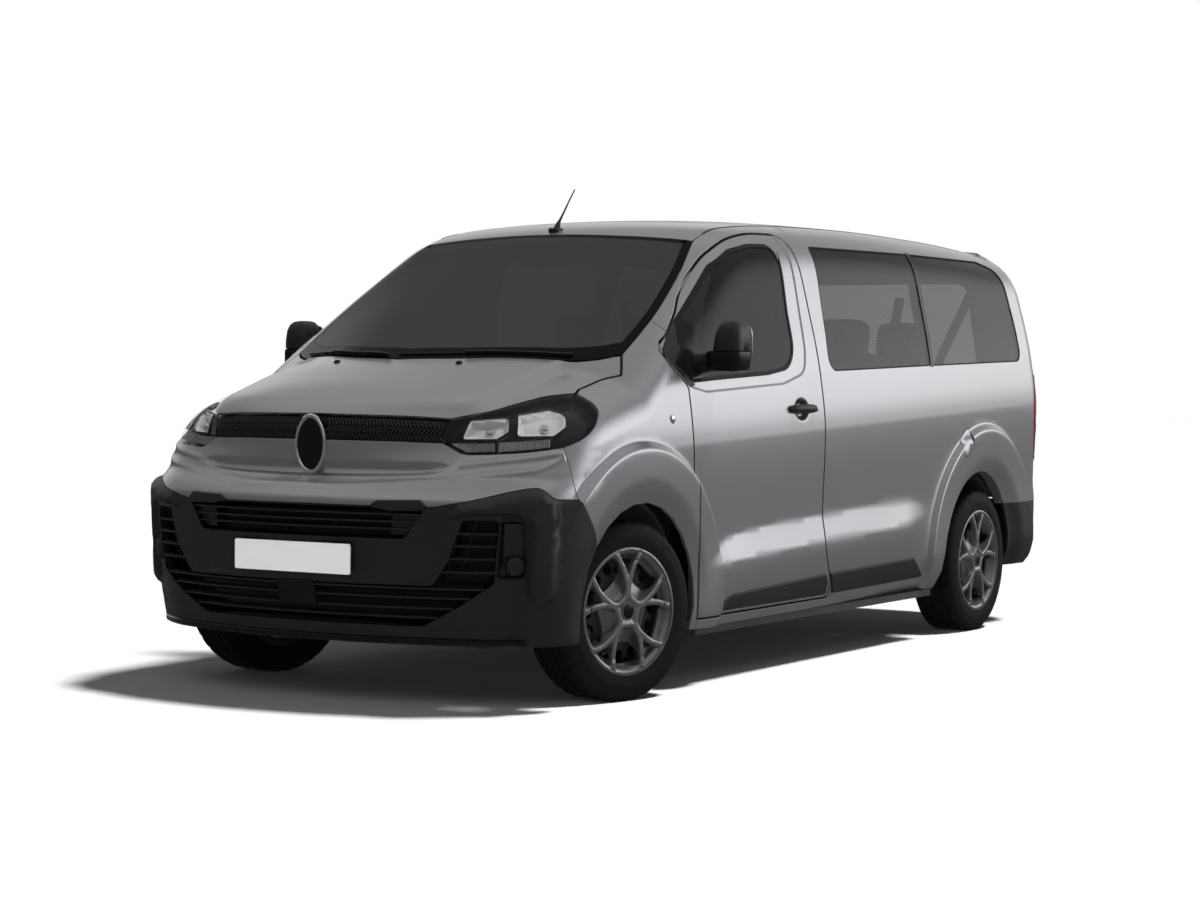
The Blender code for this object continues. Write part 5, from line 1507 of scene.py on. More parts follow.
def bumper_form(flat, skin):
    """Raised brackets at the corners, with a pocket inside each."""
    push = np.zeros(len(flat))
    for loop in BEZELS:
        inside = inside_loop(flat, loop)
        side = flat * [-1, 1] + [2 * N, 0] if loop[:, 0].mean() < N else flat
        outer_gap, inner_gap = line_gap(side, BEZEL_OUT), line_gap(side, BEZEL_IN)
        push = np.where(
            inside, 0.026 * np.minimum(outer_gap / 0.028, 1) ** 0.85 * np.minimum(inner_gap / 0.006, 1),
            push
        )
    for loop in POCKETS:
        inside = inside_loop(flat, loop)
        gap = near_points(flat, loop)[0]
        push = np.where(inside, -0.024 * np.minimum(gap / 0.004, 1), push)
    u = np.abs(flat[:, 0] - N)
    band = step(0.615, 0.600, flat[:, 1]) * step(0.47, 0.485, flat[:, 1]) * step(0.50, 0.44, u)
    return push - 0.006 * band + flared(flat, skin)


place(
    panel(
        "bumper_front", belt, bumper_loop, [hole(upper_grille), hole(mouth)], 0.034, (DARK, DARK),
        grid=0.016, shape=bumper_form, creases=[*BEZELS, *RIDGES, *POCKETS, *DEEPER]
    ),
    "body", "front_bumper", slot="dark_plastic"
)

# Hood, windscreen and roof
hood_loop = ring(
    seam(deck, deck_of(across3(HOOD_NOSE[::1])), D),
    seam(deck, deck_of(np.array([-1, 1, 1]) * flip(LAMP_HOOD)), D),
    seam(deck, deck_of(np.array([-1, 1, 1]) * flip(HOOD_SIDE)), D),
    seam(deck, deck_of(across3(flip(SCREEN_LOW)) * np.array([-1, 1, 1])), D),
    seam(deck, deck_of(HOOD_SIDE), D),
    seam(deck, deck_of(LAMP_HOOD), D),
)


HOOD_LINES = []
y = np.linspace(-2.20, -1.56, 40)
for more in (-0.02, 0.0, 0.02, 0.04, 0.06):
    x = 0.56 + 0.04 * (y + 2.2) + more
    HOOD_LINES += [deck_of(above(x, y)), deck_of(above(-x, y))]


def hood_form(flat, skin):
    """A crisp edge along the raised middle of the hood."""
    d = np.abs(skin[:, 0]) - (0.572 + 0.04 * (skin[:, 1] + 2.2))
    fade = step(-2.26, -2.12, skin[:, 1]) * (1 - step(-1.62, -1.50, skin[:, 1]))
    return (0.0045 * np.exp(-((d / 0.020) ** 2)) - 0.0035 * np.exp(-(((d - 0.05) / 0.028) ** 2))) * fade


place(
    panel(
        "bonnet", deck, hood_loop, [], HOOD_WALL, (PAINT, UNDER), grid=0.018, shape=hood_form,
        lines=HOOD_LINES
    ),
    "hood", "hood", slot="paint"
)
screen_loop = ring(
    seam(plan_chart, plan(across3(flip(SCREEN_LOW)) * np.array([-1, 1, 1])), D), (plan(SCREEN_SIDE), S),
    (plan(across3(SCREEN_TOP)), S), (plan(flip(SCREEN_SIDE) * np.array([-1, 1, 1])), S),
)
clear_loop = shrink(screen_loop, np.full(len(screen_loop), 0.032))
clear_loop[:, 1] = np.where(
    clear_loop[:, 1] < -1.1, clear_loop[:, 1] + 0.05 * step(-1.1, -1.5, clear_loop[:, 1]), clear_loop[:, 1]
)
place(
    panel("screen_border", plan_chart, screen_loop, [clear_loop], SCREEN_WALL, (BORDER, TRIM), grid=0.03),
    "body", "windscreen", slot="glass"
)
place(
    panel("screen_pane", plan_chart, clear_loop, [], SCREEN_WALL, (SCREEN, SCREEN), grid=0.04, rim=0),
    "body", slot="glass"
)
roof_half = np.concatenate([ROOF_SIDE, roof_corner[1:]])
roof_loop = ring(
    (plan(flip(across3(SCREEN_TOP))), S), (plan(roof_half), S),
    seam(plan_chart, plan(across3(ROOF_TAIL)), D), (plan(flip(roof_half) * np.array([-1, 1, 1])), S),
)
place(
    panel("roof_skin", plan_chart, roof_loop, [], ROOF_WALL, PANEL, grid=0.045), "body", "roof_panel",
    slot="paint"
)

# Back
gate_half = np.concatenate(
    [split([(TAIL_U, BUMPER_Z), (TAIL_SIDE_U, BUMPER_Z)], 0.3), tail_side[1:], tail_top[1:]]
)
gate_loop = ring(
    seam(belt, gate_half, D),
    seam(belt, np.stack([2 * TAIL_U - flip(gate_half)[:, 0], flip(gate_half)[:, 1]], -1), D)
)
T = TAIL_U
gate_glass = rounded(
    [(T - 0.62, 1.20, 0.08), (T + 0.62, 1.20, 0.08), (T + 0.55, 1.715, 0.08), (T - 0.55, 1.715, 0.08)]
)


def plate_dish(flat, skin):
    """The hollow round the rear number plate."""
    u, z = np.abs(flat[:, 0] - T), flat[:, 1] - 0.96
    return -0.022 * (1 - step(0.30, 0.33, u)) * (1 - step(0.095, 0.125, np.abs(z)))


place(
    panel(
        "gate_skin", belt, gate_loop, [hole(gate_glass)], TAILGATE_WALL, PANEL, grid=0.022, shape=plate_dish
    ),
    "tailgate", "tailgate", slot="paint"
)
window("gate_window", belt, gate_glass, "tailgate", "glass_tailgate", frame_in=0.020)
bumper_base = split([rear_bumper_arc[-1], (TAIL_U, REAR_DROP)], 0.25)
gate_sill = split([(TAIL_SIDE_U, BUMPER_Z), (TAIL_U, BUMPER_Z)], 0.25)


def over(line):
    """A line of the belt carried over to the right side of the tail."""
    return np.stack([2 * TAIL_U - line[:, 0], line[:, 1]], -1)


rear_loop = ring(
    (bumper_top, S), (gate_sill, D), (over(flip(gate_sill)), D), (over(flip(bumper_top)), S),
    (over(rear_bumper_arc), 0),
    (over(bumper_base), 0), (flip(bumper_base), 0), (flip(rear_bumper_arc), 0),
)
place(
    panel(
        "bumper_rear", belt, rear_loop, [], BUMPER_WALL, (DARK, DARK), sink=0.0009, grid=0.022, shape=flared
    ),
    "body", "rear_bumper", slot="dark_plastic"
)


# Front details: grilles, lamps, badge disc, wipers


def strip_on(name, line, width_m, height, look, sink=0.0, right=False):
    """A bar that lies on the belt along a line in its chart, with a rounded section."""
    p = split(np.asarray(line, float), 0.12)
    q = belt(p)
    n = slope(q)
    ahead = np.gradient(q, axis=0)
    ahead /= np.linalg.norm(ahead, axis=1)[:, None]
    across_way = np.cross(n, ahead)
    section_pts = [(-0.5, -0.5), (-0.5, 0.2), (-0.32, 0.5), (0.32, 0.5), (0.5, 0.2), (0.5, -0.5)]
    points, faces = [], []
    for i in range(len(p)):
        for a, h in section_pts:
            points.append(q[i] + across_way[i] * a * width_m + n[i] * (h * height - sink))
    m = len(section_pts)
    for i in range(len(p) - 1):
        faces += [
            (i * m + j, i * m + (j + 1) % m, (i + 1) * m + (j + 1) % m, (i + 1) * m + j) for j in range(m)
        ]
    faces += [tuple(range(m))[::-1], tuple(range((len(p) - 1) * m, len(p) * m))]
    points = np.array(points)
    if right:
        points[:, 0] *= -1
        faces = [f[::-1] for f in faces]
    made = new_object(name, points, faces, look)
    crisp(made, 40)
    return made


def span(loop, z):
    """Where a level line crosses a loop: its least and greatest u."""
    hits = []
    for p, q in zip(loop, np.roll(loop, -1, axis=0)):
        if (p[1] > z) != (q[1] > z):
            hits.append(p[0] + (z - p[1]) / (q[1] - p[1]) * (q[0] - p[0]))
    return sorted(hits)


bars = []
for k, z in enumerate((0.716, 0.690, 0.664)):
    ends = span(upper_grille, z)
    bars.append(strip_on(f"u_bar{k}", [(ends[0], z), (ends[-1], z)], 0.009, 0.026, DARK, sink=0.020))
for s in (-1, 1):
    outline_end = rounded(
        [
            (N + s * 0.400, 0.722), (N + s * 0.500, 0.722, 0.01), (N + s * 0.452, 0.643, 0.01),
            (N + s * 0.395, 0.643)
        ]
    )
    bars.append(
        panel(
            f"u_end{s}", belt, outline_end if s > 0 else outline_end[::-1], [], 0.006, (DARK, DARK),
            sink=0.022, grid=0.04, rim=0.001
        )
    )
back = panel(
    "u_back", belt,
    rounded(
        [(N - 0.56, 0.605, 0.01), (N + 0.56, 0.605, 0.01), (N + 0.56, 0.77, 0.01), (N - 0.56, 0.77, 0.01)]
    ),
    [], 0.004, (GLOSS, GLOSS), sink=0.048, grid=0.06, rim=0
)
place(merged("upper_grille", [*bars, back]), "body", "grille_upper", slot="dark_plastic")

bars = []
for k, z in enumerate((0.452, 0.418, 0.380, 0.346)):
    ends = span(mouth, z)
    bars.append(strip_on(f"l_bar{k}", [(ends[0], z), (ends[-1], z)], 0.010, 0.026, DARK, sink=0.018))
for k, z in enumerate((0.652, 0.608, 0.562, 0.514)):
    ends = span(mouth, z)
    for a, b in ((ends[0], ends[1]), (ends[2], ends[3])):
        bars.append(strip_on(f"s_bar{k}", [(a, z), (b, z)], 0.010, 0.022, DARK, sink=0.014))
for s in (-1, 1):
    for u in (0.655, 0.615):
        bars.append(
            strip_on(
                "v_bar", [(N + s * u, 0.70), (N + s * (u - 0.05), 0.49)], 0.004, 0.010, DARK, sink=0.028
            )
        )
back = panel(
    "l_back", belt,
    rounded(
        [
            (N - 0.80, 0.272, 0.02), (N + 0.80, 0.272, 0.02), (N + 0.80, 0.475, 0.02),
            (N + 0.76, 0.725, 0.02), (N - 0.76, 0.725, 0.02), (N - 0.80, 0.475, 0.02)
        ]
    ),
    [], 0.004, (GLOSS, GLOSS), sink=0.065, grid=0.06, rim=0
)
square = rounded(
    [
        (N - 0.083, 0.375, 0.006), (N + 0.083, 0.375, 0.006), (N + 0.083, 0.470, 0.006),
        (N - 0.083, 0.470, 0.006)
    ]
)
radar = panel("radar_cover", belt, square, [], 0.02, (GLOSS, GLOSS), sink=-0.002, grid=0.03, rim=0.003)
place(merged("lower_grille", [*bars, back, radar]), "body", "grille_lower", slot="dark_plastic")

for name, right in (("left", False), ("right", True)):
    tab = rounded(
        [
            (N + 0.318, 0.742, 0.004), (N + 0.354, 0.766, 0.01), (N + 0.500, 0.770, 0.012),
            (N + 0.522, 0.742, 0.008), (N + 0.49, 0.728, 0.01), (N + 0.40, 0.728)
        ]
    )
    place(
        panel(
            "grille_hook_" + name, belt, tab, [], 0.02, (DARK, DARK), right, sink=-0.006, grid=0.02,
            rim=0.005
        ),
        "body", slot="dark_plastic"
    )
    at = belt([(N + 0.765, 0.538)])[0]
    out_way = slope(at[None])[0]
    spots = []
    for r, h in (
        (0.036, -0.022), (0.036, -0.004), (0.034, 0.004), (0.028, 0.009), (0.018, 0.012), (0.007, 0.0135)
    ):
        spots.append((h, r))
    cap = spin("fog_cap_" + name, [(-0.022, 0.0005), *spots, (0.0137, 0.0005)], 40, DARK, sharp=50)
    turn = Vector((1, 0, 0)).rotation_difference(Vector(out_way)).to_matrix().to_4x4()
    cap.data.transform(Matrix.Translation(Vector(at)) @ turn)
    if right:
        cap.data.transform(Matrix.Scale(-1, 4, (1, 0, 0)))
        cap.data.flip_normals()
    place(cap, "body", slot="dark_plastic")
    low_flap = rounded(
        [
            (N + 0.728, 0.570, 0.004), (N + 0.789, 0.570, 0.004), (N + 0.789, 0.690, 0.008),
            (N + 0.730, 0.690, 0.008)
        ]
    )
    place(
        panel(
            "duct_cover_" + name, belt, low_flap, [], 0.004, (DARK, DARK), right, sink=0.012, grid=0.03,
            rim=0.0015
        ),
        "body", slot="dark_plastic"
    )

# Lip under the bumper
lip_line = [(N - 0.80, 0.262), (N - 0.48, 0.262), (N, 0.262), (N + 0.48, 0.262), (N + 0.80, 0.262)]
place(strip_on("bumper_lip", lip_line, 0.024, 0.020, GLOSS, sink=0.002), "body", slot="dark_plastic")

# Woven strip between the lamps
edge_top, edge_low = across(hood_nose, NOSE_U), across(strip_low, NOSE_U)


def level_at(line, u):
    """Height of a line of the belt at a place along it."""
    order = np.argsort(line[:, 0])
    return np.interp(u, line[order, 0], line[order, 1])


points, faces = [], []
for s in (-1, 1):
    for tier in range(3):
        for k in range(34):
            u0 = 0.062 + k * 0.0142
            top_z, low_z = level_at(edge_top, N + u0) - 0.006, level_at(edge_low, N + u0) + 0.004
            za = low_z + (top_z - low_z) * tier / 3 + 0.0015
            zb = low_z + (top_z - low_z) * (tier + 1) / 3 - 0.0015
            lean = 0.016 if tier % 2 else -0.016
            quad = [
                (N + s * (u0 - lean / 2), za), (N + s * (u0 + 0.0068 - lean / 2), za),
                (N + s * (u0 + 0.0068 + lean / 2), zb), (N + s * (u0 + lean / 2), zb)
            ]
            if u0 + 0.012 > 0.525:
                continue
            skin = belt(np.array(quad))
            n = slope(skin)
            base = len(points)
            points += list(skin - n * 0.016) + list(skin - n * 0.005)
            f = [(0, 1, 2, 3), (4, 7, 6, 5), (0, 4, 5, 1), (1, 5, 6, 2), (2, 6, 7, 3), (3, 7, 4, 0)]
            faces += [tuple(base + i for i in (q if s < 0 else q[::-1])) for q in f]
weave = new_object("woven_strip", points, faces, DARK)
crisp(weave, 20)
place(weave, "body", slot="dark_plastic")

# Plain disc where a badge would sit
centre = belt([(N, 0.956)])[0]
dish = []
for r, h in (
    (0.092, -0.012), (0.094, 0.004), (0.090, 0.0085), (0.082, 0.0085), (0.079, 0.004), (0.060, 0.006),
    (0.030, 0.0075), (0.0006, 0.008)
):
    dish.append((h, r))
disc = spin("badge_disc", [(-0.012, 0.0006), *dish], 72, CHROME, sharp=40)
disc.data.materials.append(GLOSS)
for polygon in disc.data.polygons:
    r = math.hypot(polygon.center.y, polygon.center.z)
    polygon.material_index = 1 if r < 0.0785 and polygon.center.x > 0 else 0
disc.data.transform(
    Matrix.Translation(
        Vector(centre) + Vector((0, 0.001, 0))
    ) @ Matrix.Rotation(math.radians(-90), 4, "Z") @ Matrix.Diagonal((1, 0.74, 1.18, 1))
)
place(disc, "body", slot="dark_plastic")

# Lamp insides
modules = {
    "a": [
        (0.579, 0.985, 0.008), (0.600, 1.053, 0.010), (0.744, 1.066, 0.010), (0.741, 1.013, 0.008),
        (0.700, 0.988, 0.010)
    ],
    "b": [
        (0.773, 0.998, 0.010), (0.782, 1.075, 0.012), (0.934, 1.093, 0.014), (0.990, 1.081, 0.012),
        (0.966, 1.034, 0.010), (0.906, 1.000, 0.010)
    ],
}
strips = {
    "c": [(0.540, 0.968), (0.690, 0.976), (0.692, 0.946), (0.594, 0.941)],
    "d": [(0.704, 0.978), (0.898, 0.992), (0.890, 0.962), (0.704, 0.944)]
}


def bowl(flat, skin, loop, depth, run):
    """The depth of a lamp's bowl within its outline."""
    gap = near_points(flat, loop)[0]
    u = np.minimum(gap / run, 1)
    return -depth * (1 - (1 - u) ** 2)


for name, right in (("left", False), ("right", True)):
    bits = []
    for key, shape_pts in modules.items():
        loop = split(np.concatenate([rounded(shape_pts), rounded(shape_pts)[:1]]), 0.10)[:-1] + [N, 0]
        bits.append(
            panel(
                "bowl_" + key, belt, loop, [], 0.040, (REFLECTOR, GLOSS), right, sink=0.008, grid=0.007,
                rim=0, shape=lambda flat, skin, loop=loop: bowl(flat, skin, loop, 0.032, 0.028)
            )
        )
        frame_out = shrink(loop, np.full(len(loop), -0.006))
        bits.append(
            panel(
                "bowl_rim_" + key, belt, frame_out, [loop], 0.010, (GLOSS, GLOSS), right, sink=0.006,
                grid=0.02, rim=0.001
            )
        )
        mid = loop.mean(0) + [0.004, 0]
        at = belt([mid])[0]
        n = slope(at[None])[0]
        globe = spin(
            "bulb_" + key,
            [
                (-0.03, 0.0005), (-0.03, 0.016), (-0.006, 0.019), (0.0, 0.017), (0.006, 0.011),
                (0.009, 0.0005)
            ],
            32, CHROME, sharp=60
        )
        globe.data.transform(
            facing(at - n * 0.030, n)
        )
        if right:
            globe.data.transform(Matrix.Scale(-1, 4, (1, 0, 0)))
            globe.data.flip_normals()
        bits.append(globe)
    for key, quad in strips.items():
        count = 14 if key == "c" else 20
        q = np.array(quad)
        for k in range(count):
            t = (k + 0.5) / count
            top_pt, low_pt = q[0] + (q[1] - q[0]) * t, q[3] + (q[2] - q[3]) * t
            bits.append(
                strip_on(
                    "rib", [top_pt + [N, 0], low_pt + [N, 0]], 0.0062, 0.008, RIB, sink=0.020, right=right
                )
            )
        loop = split(np.concatenate([q, q[:1]]), 0.1)[:-1] + [N, 0]
        bits.append(
            panel("rib_back", belt, loop, [], 0.003, (RIB, RIB), right, sink=0.025, grid=0.02, rim=0)
        )
    place(merged("lamp_inside_" + name, bits), "body", slot="silver")

# Wipers and washer nozzles
for name, points_xy in (
    ("wiper_left", [(0.62, -1.560), (0.40, -1.680), (0.10, -1.782), (-0.02, -1.794)]),
    ("wiper_right", [(-0.06, -1.800), (-0.25, -1.752), (-0.50, -1.632), (-0.62, -1.562)]),
):
    line = smooth(points_xy, 0.2)
    skin = above(line[:, 0], line[:, 1])
    n = slope(skin)
    blade = sweep(name + "_blade", skin + n * 0.005, 0.004, SEAL, 8, flat=1.0)
    arm = sweep(name + "_arm", (skin + n * 0.013)[: len(skin) // 2 + 3], 0.0055, DARK, 8, flat=0.6)
    place(merged(name, [blade, arm]), "body", slot="dark_plastic")
for name, s in (("left", 1), ("right", -1)):
    spot = above(s * 0.285, -1.835)[0]
    jet = spin(
        "nozzle_" + name,
        [(-0.004, 0.0005), (-0.004, 0.014), (0.004, 0.013), (0.008, 0.008), (0.009, 0.0005)], 24, GLOSS,
        sharp=60
    )
    n = slope(spot[None])[0]
    jet.data.transform(
        facing(spot, n)
    )
    place(jet, "hood", slot="dark_plastic")


# Wheels: tyre with tread, plastic cover with five loops, steel disc and brake behind it
BORE_R, RIM_R = 0.0244, 0.2155


def tyre(name):
    """Half the section, from bead to the middle of the tread, mirrored, with cut shoulders and grooves."""
    side = [
        (0.085, RIM_R + 0.0004), (0.094, 0.222), (0.1015, 0.236), (0.1025, 0.2385), (0.1045, 0.240),
        (0.1072, 0.262), (0.1075, 0.276), (0.1062, 0.294), (0.1050, 0.2965), (0.1046, 0.2995),
        (0.1035, 0.308), (0.1000, 0.3195), (0.0965, 0.3262), (0.0935, 0.3300)
    ]
    tread = [
        (0.0895, 0.3345, 1), (0.0840, 0.3378, 1), (0.0760, 0.3402, 1), (0.0640, 0.3408, 1),
        (0.0560, 0.3410, 1), (0.0540, 0.3350, 0), (0.0465, 0.3350, 0), (0.0445, 0.3411, 2),
        (0.0330, 0.3411, 2), (0.0235, 0.3411, 2), (0.0215, 0.3352, 0), (0.0135, 0.3352, 0),
        (0.0115, 0.3411, 3), (0.0, 0.3411, 3)
    ]
    half = [(x, r, 0) for x, r in side] + tread
    full = half + [(-x, r, k) for x, r, k in half[::-1][1:]]
    count = 180
    t = 2 * math.pi * (np.arange(count) + 0.5) / count
    points = np.zeros((count, len(full), 3))
    for j, (x, r, kind) in enumerate(full):
        rr = np.full(count, r)
        phase = np.arange(count)
        if kind == 1:
            slot_here = ((phase + (2 if x < 0 else 0) + int(abs(x) * 40)) % 5) == 0
            rr = np.where(slot_here, r - 0.0065, rr)
        elif kind == 2:
            slot_here = ((phase + int((x if x > 0 else -x) * 160)) % 6) == 0
            rr = np.where(slot_here, r - 0.005, rr)
        points[:, j] = np.stack([np.full(count, x), rr * np.cos(t), rr * np.sin(t)], -1)
    n = len(full)
    faces = []
    for k in range(count):
        a, b = k * n, (k + 1) % count * n
        faces += [(a + i, a + (i + 1) % n, b + (i + 1) % n, b + i) for i in range(n)]
    made = new_object(name, points.reshape(-1, 3), faces, TYRE)
    crisp(made, 38)
    return made


PETALS = [math.radians(270 + 72 * k) for k in range(5)]


def turned_loop(points, angle):
    """A flat loop turned about the wheel's middle."""
    c, s = math.cos(angle), math.sin(angle)
    return np.array([(p[0] * c - p[1] * s, p[0] * s + p[1] * c) for p in np.asarray(points)])


ridge_half = smooth(
    [
        (0.0485, 0.0), (0.0490, 0.018), (0.0535, 0.031), (0.063, 0.042), (0.080, 0.0530), (0.103, 0.0625),
        (0.135, 0.0715), (0.166, 0.0760), (0.219, 0.0745)
    ],
    0.05
)
ridge_line = np.concatenate([ridge_half[::-1], (ridge_half * [1, -1])[1:]])
big_window = rounded(
    [
        (0.120, -0.046, 0.014), (0.140, -0.0605, 0.03), (0.166, -0.0655, 0.03), (0.190, -0.0640, 0.008),
        (0.198, 0.0, 0.21), (0.190, 0.0640, 0.008), (0.166, 0.0655, 0.03), (0.140, 0.0605, 0.03),
        (0.120, 0.046, 0.014), (0.116, 0.0, 0.12)
    ]
)
small_window = rounded(
    [
        (0.153, 0.0, 0.004), (0.170, -0.014, 0.02), (0.192, -0.036, 0.006), (0.200, 0.0, 0.20),
        (0.192, 0.036, 0.006), (0.170, 0.014, 0.02)
    ]
)


def cover_height(p):
    """How far the face of the cover stands out at each point of its plane."""
    r = np.hypot(p[:, 0], p[:, 1])
    rim_high = np.interp(
        r, [0, 0.200, 0.205, 0.213, 0.221, 0.228, 0.2305, 0.238, 0.242],
        [0, 0.066, 0.070, 0.0890, 0.0982, 0.1000, 0.1062, 0.1062, 0.1025]
    )
    outside = np.interp(
        r, [0, 0.048, 0.056, 0.100, 0.138, 0.154, 0.21],
        [0.0985, 0.0985, 0.1000, 0.1008, 0.0985, 0.072, 0.066]
    )
    high = outside.copy()
    nearest = np.full(len(p), 9.0)
    for a in PETALS:
        q = turned_loop(p, -a)
        gap = line_gap(q, ridge_line)
        inside = (q[:, 0] > 0.0485) & (
            np.abs(q[:, 1]) < np.interp(q[:, 0], ridge_half[:, 0], ridge_half[:, 1])
        )
        scoop = np.interp(
            q[:, 0], [0.0485, 0.060, 0.080, 0.100, 0.120, 0.2],
            [0.094, 0.0875, 0.0765, 0.0695, 0.066, 0.066]
        )
        high = np.where(inside, scoop, high)
        nearest = np.minimum(nearest, gap)
    crown = 0.1010 + 0.0014 * (1 - np.clip(nearest / 0.0100, 0, 1) ** 2)
    high = high + (np.maximum(crown, high) - high) * (1 - step(0.0098, 0.0165, nearest))
    return np.maximum(high * (r < 0.228), rim_high)


def ribbon(gap):
    """A closed outline round the ridge at this distance, for crisp shoulders."""
    ahead = np.gradient(ridge_line, axis=0)
    ahead /= np.linalg.norm(ahead, axis=1)[:, None]
    away = np.stack([-ahead[:, 1], ahead[:, 0]], -1) * gap
    return np.concatenate([ridge_line + away, (ridge_line - away)[::-1]])


def wheel_cover(name):
    """The plastic cover: five forked spokes with rounded crowns, cut through between them."""
    t = np.linspace(0, 2 * math.pi, 181)[:-1]
    outer = np.stack([0.242 * np.cos(t), 0.242 * np.sin(t)], -1)
    holes = [turned_loop(big_window, a) for a in PETALS] + [
        turned_loop(small_window, a + math.radians(36)) for a in PETALS
    ]
    holes = [split(np.concatenate([h, h[:1]]), 0.05)[:-1] for h in holes]
    t2 = np.linspace(0, 2 * math.pi, 121)[:-1]
    rings = [
        np.stack([r * np.cos(t2), r * np.sin(t2)], -1) for r in (
            0.0495, 0.205, 0.213, 0.221, 0.228, 0.2305, 0.238
        )
    ]
    flat, faces = sheet_mesh(
        outer, holes, 0.0078, (0.0015,),
        creases=rings + [turned_loop(ribbon(gap), a) for a in PETALS for gap in (0.0099, 0.0165)]
    )
    high = cover_height(flat)
    gap = np.full(len(flat), 9.0)
    for h in holes:
        gap = np.minimum(gap, near_points(flat, h)[0])
    high = high - 0.0018 * (1 - np.clip(gap / 0.0015, 0, 1)) ** 2
    n = len(flat)
    area = np.cross(flat[faces[:, 1]] - flat[faces[:, 0]], flat[faces[:, 2]] - flat[faces[:, 0]])
    faces = np.where(area[:, None] > 0, faces, faces[:, ::-1])
    front = np.concatenate([high[:, None], flat], axis=1)
    thick = np.where(gap < 0.012, 0.014, 0.005)
    back_side = np.concatenate([(high - thick)[:, None], flat], axis=1)
    ends = {(a, b) for f in faces for a, b in ((f[0], f[1]), (f[1], f[2]), (f[2], f[0]))}
    everything = [tuple(f) for f in faces] + [tuple(f[::-1] + n) for f in faces]
    everything += [(b, a, a + n, b + n) for a, b in ends if (b, a) not in ends]
    made = new_object(name, np.concatenate([front, back_side]), everything, SILVER)
    crisp(made, 42)
    return made


def steel_disc(name):
    """The steel disc of the wheel with its ring of round holes."""
    t = np.linspace(0, 2 * math.pi, 121)[:-1]
    ring_pts = np.stack([np.cos(t), np.sin(t)], -1)
    small_t = np.linspace(0, 2 * math.pi, 25)[:-1]
    small = np.stack([np.cos(small_t), np.sin(small_t)], -1) * 0.0205
    turns = np.linspace(0, 2 * math.pi, 17)[:-1]
    holes = [small + 0.168 * np.array([math.cos(a), math.sin(a)]) for a in turns]
    flat, faces = sheet_mesh(ring_pts * 0.197, [ring_pts[::2] * BORE_R, *holes], 0.012, (0.002,))
    r = np.hypot(flat[:, 0], flat[:, 1])
    high = np.interp(
        r, [0, 0.06, 0.09, 0.12, 0.15, 0.18, 0.197], [0.040, 0.040, 0.052, 0.056, 0.054, 0.050, 0.038]
    )
    area = np.cross(flat[faces[:, 1]] - flat[faces[:, 0]], flat[faces[:, 2]] - flat[faces[:, 0]])
    faces = np.where(area[:, None] > 0, faces, faces[:, ::-1])
    n = len(flat)
    ends = {(a, b) for f in faces for a, b in ((f[0], f[1]), (f[1], f[2]), (f[2], f[0]))}
    everything = [tuple(f) for f in faces] + [tuple(f[::-1] + n) for f in faces]
    everything += [(b, a, a + n, b + n) for a, b in ends if (b, a) not in ends]
    points = np.concatenate(
        [np.concatenate([high[:, None], flat], 1), np.concatenate([high[:, None] - 0.005, flat], 1)]
    )
    made = new_object(name, points, everything, WHEEL_STEEL)
    crisp(made, 42)
    return made


rim_profile = [
    (-0.100, 0.200), (-0.104, 0.208), (-0.102, 0.232), (-0.098, 0.233), (-0.094, 0.216), (-0.06, 0.2145),
    (-0.03, 0.206), (0.02, 0.206), (0.05, 0.2145), (0.060, 0.2145), (0.060, 0.2085), (0.050, 0.207),
    (0.030, 0.198), (-0.040, 0.198), (-0.080, 0.206)
]
corners = (
    ("front_left", 1, FRONT_AXLE_Y, REST_STEER, "steer_left"), (
        "front_right", -1, FRONT_AXLE_Y, REST_STEER, "steer_right"
    ),
    ("rear_left", 1, REAR_AXLE_Y, 0.0, "body"), ("rear_right", -1, REAR_AXLE_Y, 0.0, "body"),
)
pattern = (
    tyre("rubber"),
    merged(
        "rim",
        [
            spin("barrel", rim_profile, 96, WHEEL_STEEL), steel_disc("disc"),
            spin("valve", [(0.07, 0.001), (0.07, 0.004), (0.088, 0.003), (0.09, 0.001)], 10, SEAL)
        ]
    ),
    merged(
        "cover",
        [
            wheel_cover("face"),
            spin(
                "cap",
                [
                    (0.086, 0.0006), (0.086, 0.033), (0.1010, 0.033), (0.1034, 0.0315), (0.1034, 0.0292),
                    (0.1015, 0.0280), (0.1010, 0.0006)
                ],
                48, SILVER, sharp=40
            ),
            spin(
                "cap_face",
                [(0.0995, 0.0006), (0.0995, 0.0278), (0.1020, 0.0272), (0.1040, 0.018), (0.1044, 0.0006)],
                48, GLOSS, sharp=40
            )
        ]
    ),
    merged("brake", [
        spin(
            "rotor",
            [
                (0.018, 0.045), (0.018, 0.138), (0.030, 0.138), (0.030, 0.070), (0.045, 0.066),
                (0.045, 0.045)
            ],
            72, BRAKE
        ),
        block("caliper", (0.006, 0.082, -0.055), (0.044, 0.150, 0.055), CAST, 0.006),
    ]),
)
for name, side, y, angle, carrier in corners:
    copies = []
    for model in pattern:
        made = bpy.data.objects.new(f"{model.name}_{name}", model.data.copy())
        bpy.context.scene.collection.objects.link(made)
        copies.append(made)
    rubber, rim, cover, hub = copies
    for piece in (rubber, rim, cover, hub):
        if side < 0:
            piece.data.transform(Matrix.Scale(-1, 4, (1, 0, 0)))
            piece.data.flip_normals()
        moved(piece, (side * TRACK_X, y, HUB_Z))
        if angle:
            turned_about(piece, (side * KINGPIN_X, y), angle)
    place(rubber, "wheel_" + name, "tyre_" + name, slot="rubber")
    place(rim, "wheel_" + name, slot="steel")
    place(cover, "wheel_" + name, "wheel_" + name, slot="silver")
    place(hub, carrier, slot="steel")
for model in pattern:
    bpy.data.objects.remove(model)


# Cab: padded seats, belts, dashboard, steering wheel, carpet


